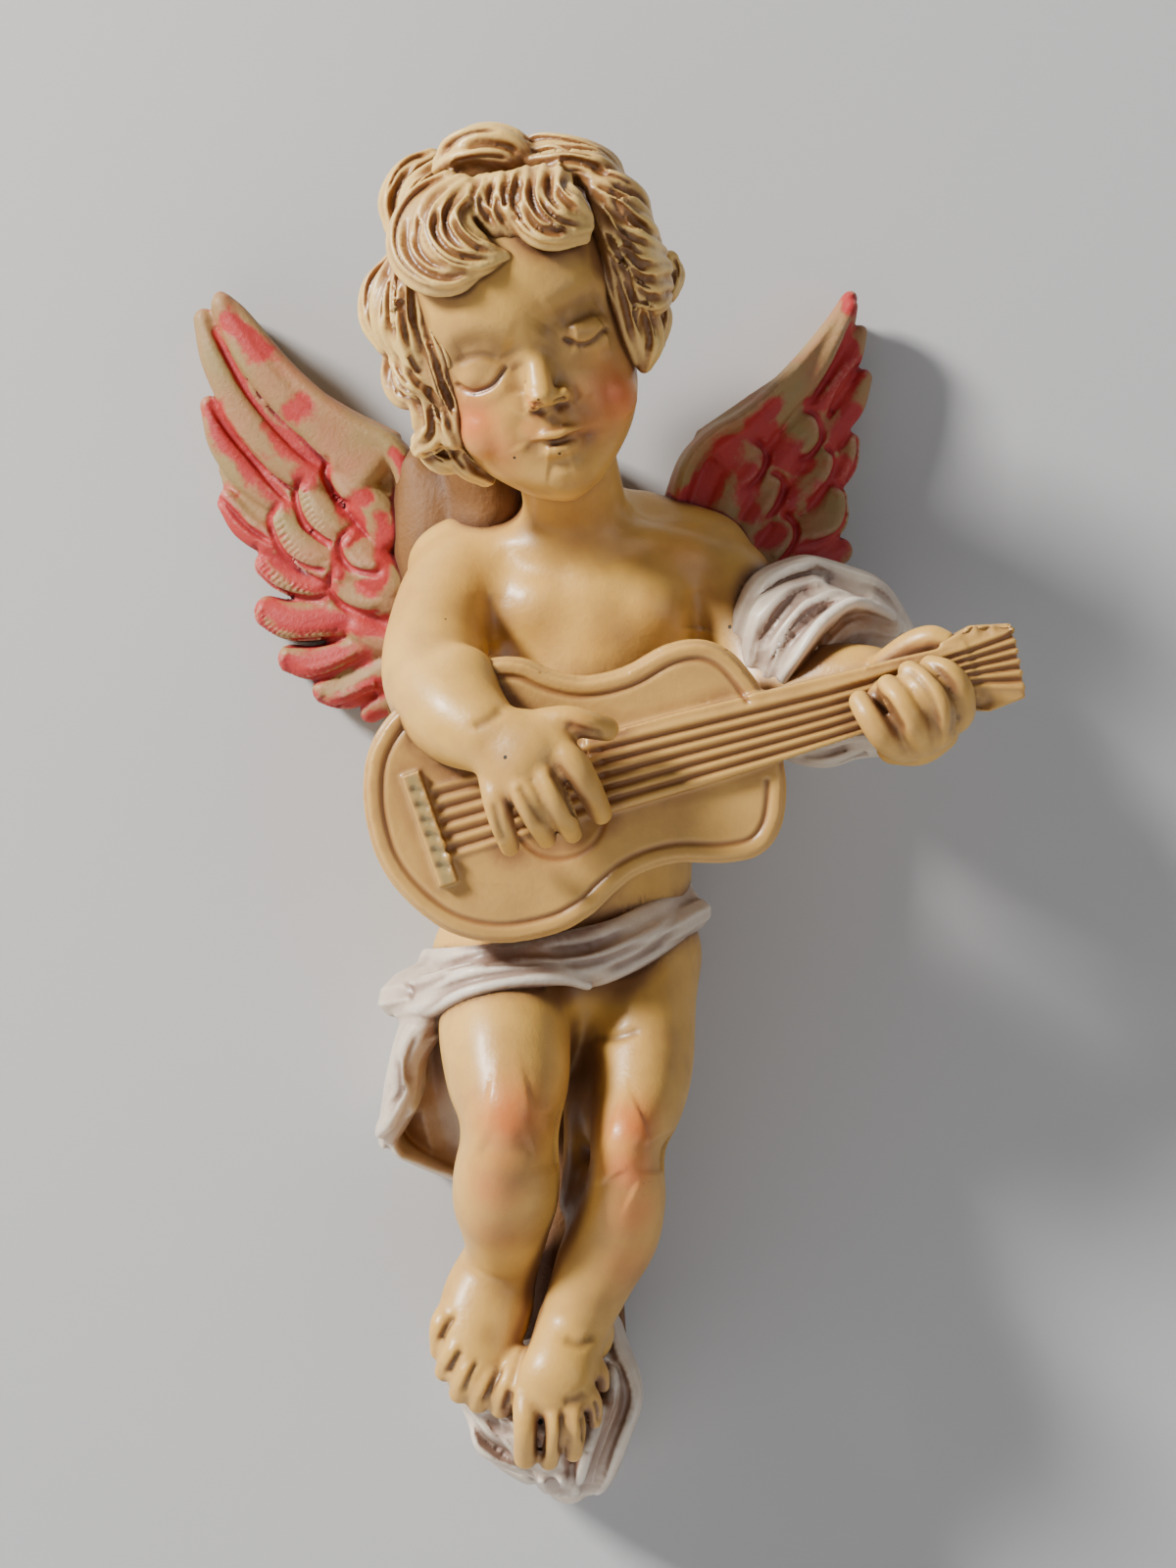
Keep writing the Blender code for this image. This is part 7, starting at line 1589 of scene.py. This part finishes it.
class CHERUB_OT_hair(Maker, bpy.types.Operator):
    """Model the curled locks round the face and the back of the head"""

    bl_idname = "cherub.hair"
    bl_label = "Hair"

    def execute(self, context):
        sizes, colours = self.settings(context)
        skin = hair_skin(sizes)
        carve_hair(skin)
        piece("hair", skin, hair_finish(colours), MOST_TRIANGLES["hair"], wall=False)
        return {"FINISHED"}


class CHERUB_OT_wings(Maker, bpy.types.Operator):
    """Model both wings feather by feather"""

    bl_idname = "cherub.wings"
    bl_label = "Wings"

    def execute(self, context):
        sizes, colours = self.settings(context)
        finish = wing_finish(colours)
        for name, clay in (("wing_left", wing_left()), ("wing_right", wing_right())):
            skin = fused(clay, sizes.wing)
            skin.relax(passes(5, sizes.wing, 0.4))
            carve_wing(skin, name)
            piece(name, skin, finish, MOST_TRIANGLES["wing"])
        return {"FINISHED"}


class CHERUB_OT_guitar(Maker, bpy.types.Operator):
    """Model the guitar with its strings, sound hole and bridge"""

    bl_idname = "cherub.guitar"
    bl_label = "Guitar"

    def execute(self, context):
        sizes, colours = self.settings(context)
        skin = fused(guitar(), sizes.guitar)
        skin.relax(passes(2, sizes.guitar, 0.4))
        carve_guitar(skin)
        piece("guitar", skin, guitar_finish(colours), MOST_TRIANGLES["guitar"], wall=False)
        return {"FINISHED"}


class CHERUB_OT_cloth(Maker, bpy.types.Operator):
    """Model the carved cloth at the hips, on the arm and under the feet"""

    bl_idname = "cherub.cloth"
    bl_label = "Carved cloth"

    def execute(self, context):
        sizes, colours = self.settings(context)
        finish = cloth_finish(colours)
        cloths = {"waist_cloth": WAIST_FOLDS, "arm_cloth": SLEEVE_FOLDS, "foot_cloth": BASE_FOLDS}
        for name, lines in cloths.items():
            skin = fused(tubes(lines, 12), sizes.cloth)
            skin.relax(passes(4, sizes.cloth, 0.4))
            carve_cloth(skin, name)
            piece(name, skin, finish, MOST_TRIANGLES["cloth"])
        return {"FINISHED"}


class CHERUB_OT_backing(Maker, bpy.types.Operator):
    """Model the plain mass at the back with the blind hole for a nail"""

    bl_idname = "cherub.backing"
    bl_label = "Flat back"

    def execute(self, context):
        sizes, colours = self.settings(context)
        skin = fused(tubes(BACK_MASSES, 20), sizes.backing)
        skin.relax(passes(6, sizes.backing))
        thing = nail_hole(skin)
        finish_with(thing, "DECIMATE", ratio=BACK_KEEPS)
        dress(thing, back_finish(colours))
        bpy.ops.object.shade_smooth_by_angle(angle=math.radians(35))
        thing.name = thing.data.name = "backing"
        return {"FINISHED"}


class CHERUB_OT_wash_and_shade(Maker, bpy.types.Operator):
    """Settle the brown wash in the creases, and the painted shade in the wide hollows, between and on all the pieces
    """

    bl_idname = "cherub.wash"
    bl_label = "Antique wash"

    def execute(self, context):
        settle_wash_and_shade([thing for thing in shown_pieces() if thing.get("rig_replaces")])
        return {"FINISHED"}


class CHERUB_OT_stage(Maker, bpy.types.Operator):
    """Set up the pale wall and floor, the lights and the camera"""

    bl_idname = "cherub.stage"
    bl_label = "Stage"

    def execute(self, context):
        build_stage()
        return {"FINISHED"}


STEPS = (
    CHERUB_OT_body, CHERUB_OT_head, CHERUB_OT_hair, CHERUB_OT_wings, CHERUB_OT_guitar,
    CHERUB_OT_cloth, CHERUB_OT_backing, CHERUB_OT_wash_and_shade, CHERUB_OT_stage,
)


class CHERUB_PT_panel(bpy.types.Panel):
    """The steps of the making, in order"""

    bl_idname = "CHERUB_PT_panel"
    bl_label = "Cherub wall plaque"
    bl_space_type = "VIEW_3D"
    bl_region_type = "UI"
    bl_category = "Cherub"

    def draw(self, context):
        for group in (context.scene.cherub_sizes, context.scene.cherub_colours):
            box = self.layout.box()
            for name in group.bl_rna.properties.keys():
                if name not in ("rna_type", "name"):
                    box.prop(group, name)
        for step in STEPS:
            self.layout.operator(step.bl_idname)


CLASSES = (CherubSizes, CherubColours) + STEPS + (CHERUB_PT_panel,)


def register():
    for kind in CLASSES:
        bpy.utils.register_class(kind)
    bpy.types.Scene.cherub_sizes = PointerProperty(type=CherubSizes)
    bpy.types.Scene.cherub_colours = PointerProperty(type=CherubColours)


def unregister():
    del bpy.types.Scene.cherub_sizes
    del bpy.types.Scene.cherub_colours
    for kind in reversed(CLASSES):
        bpy.utils.unregister_class(kind)


def settle_wash_and_shade(things):
    """Layers for how deep each point lies in a narrow crease, for the brown wash, and in a wide hollow, for the
    painted shade.
    """
    clouds, shift = [], 0
    for thing in things:
        mesh = thing.data
        points = np.empty(len(mesh.vertices) * 3)
        mesh.vertices.foreach_get("co", points)
        normals = np.empty(len(mesh.vertices) * 3, dtype=np.float32)
        mesh.vertices.foreach_get("normal", normals)
        mesh.calc_loop_triangles()
        corners = np.empty(len(mesh.loop_triangles) * 3, dtype=np.int64)
        mesh.loop_triangles.foreach_get("vertices", corners)
        clouds.append((points.reshape(-1, 3), normals.reshape(-1, 3), corners.reshape(-1, 3) + shift))
        shift += len(mesh.vertices)
    points = np.vstack([cloud[0] for cloud in clouds])
    faces = np.vstack([cloud[2] for cloud in clouds])
    tree = BVHTree.FromPolygons(points.tolist(), faces.tolist())
    for thing, (points, normals, _) in zip(things, clouds):
        for layer, reach in (("crease", 0.9), ("hollow", 3.6)):
            probes = (points + normals * reach * MM).tolist()
            gaps = [tree.find_nearest(probe, reach * MM * 1.01)[3] for probe in probes]
            open_share = np.array([reach * MM if gap is None else gap for gap in gaps]) / (reach * MM)
            attribute = thing.data.attributes.new(layer, "FLOAT", "POINT")
            attribute.data.foreach_set("value", (1 - open_share).astype(np.float32))


def build_stage():
    """A pale wall that is see-through from behind, a pale floor, soft lights and the camera."""
    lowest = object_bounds()[0].z
    only_none()
    bpy.ops.mesh.primitive_plane_add(size=STAGE_WIDE, location=(0, WALL_BEHIND, 0), rotation=(math.radians(90), 0, 0))
    wall = bpy.context.object
    wall.name = "wall"
    bpy.ops.mesh.primitive_plane_add(size=STAGE_WIDE, location=(0, 0, lowest - FLOOR_BELOW))
    floor = bpy.context.object
    floor.name = "floor"
    floor.data.materials.append(plain("pale_floor", (0.60, 0.60, 0.60)))
    wall.data.materials.append(plain("pale_wall", (0.55, 0.56, 0.58), see_through=True))
    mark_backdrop(wall, floor)
    for row in LAMPS:
        lamp(*row)
    studio = bpy.data.worlds.new("studio")
    studio.use_nodes = True
    air = studio.node_tree.nodes["Background"].inputs
    air["Color"].default_value = (0.93, 0.96, 1.0, 1)
    air["Strength"].default_value = 0.12
    bpy.context.scene.world = studio
    view = bpy.data.cameras.new("camera")
    view.sensor_fit = "AUTO"
    view.sensor_width = 36
    view.lens = view.sensor_width * CAMERA_AT[1] / PICTURE_HIGH
    view.clip_start = 0.01
    camera = bpy.data.objects.new("camera", view)
    bpy.context.scene.collection.objects.link(camera)
    camera.location = Vector(world(CAMERA_AT)) * MM
    camera.rotation_euler = (math.radians(90), 0, 0)
    bpy.context.scene.camera = camera


def only_none():
    """Deselect everything."""
    bpy.ops.object.select_all(action="DESELECT")


def lamp(name, place, power, size, colour):
    """A soft square light aimed at the figure."""
    data = bpy.data.lights.new(name, "AREA")
    data.energy, data.size, data.color = power, size, colour
    thing = bpy.data.objects.new(name, data)
    bpy.context.scene.collection.objects.link(thing)
    thing.location = place
    thing.rotation_euler = (Vector(LIT_POINT) - Vector(place)).to_track_quat("-Z", "Y").to_euler()


def plain(name, colour, see_through=False):
    """A matt pale finish for the stage, which can be open from behind."""
    paint = Finish(name, Base_Color=(*colour, 1), Roughness=0.8)
    if see_through:
        behind = paint.node("ShaderNodeNewGeometry", output="Backfacing")
        clear = paint.node("ShaderNodeBsdfTransparent")
        matt = Value(paint, paint.shader.outputs[0])
        either = paint.node("ShaderNodeMixShader", inputs={0: behind, 1: matt, 2: clear})
        paint.tree.links.new(either.socket, paint.tree.nodes["Material Output"].inputs["Surface"])
    return paint.material


def main():
    """Make every piece and the stage in order."""
    register()
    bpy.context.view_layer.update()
    for step in STEPS:
        group, name = step.bl_idname.split(".")
        getattr(getattr(bpy.ops, group), name)()


if __name__ == "__main__":
    main()
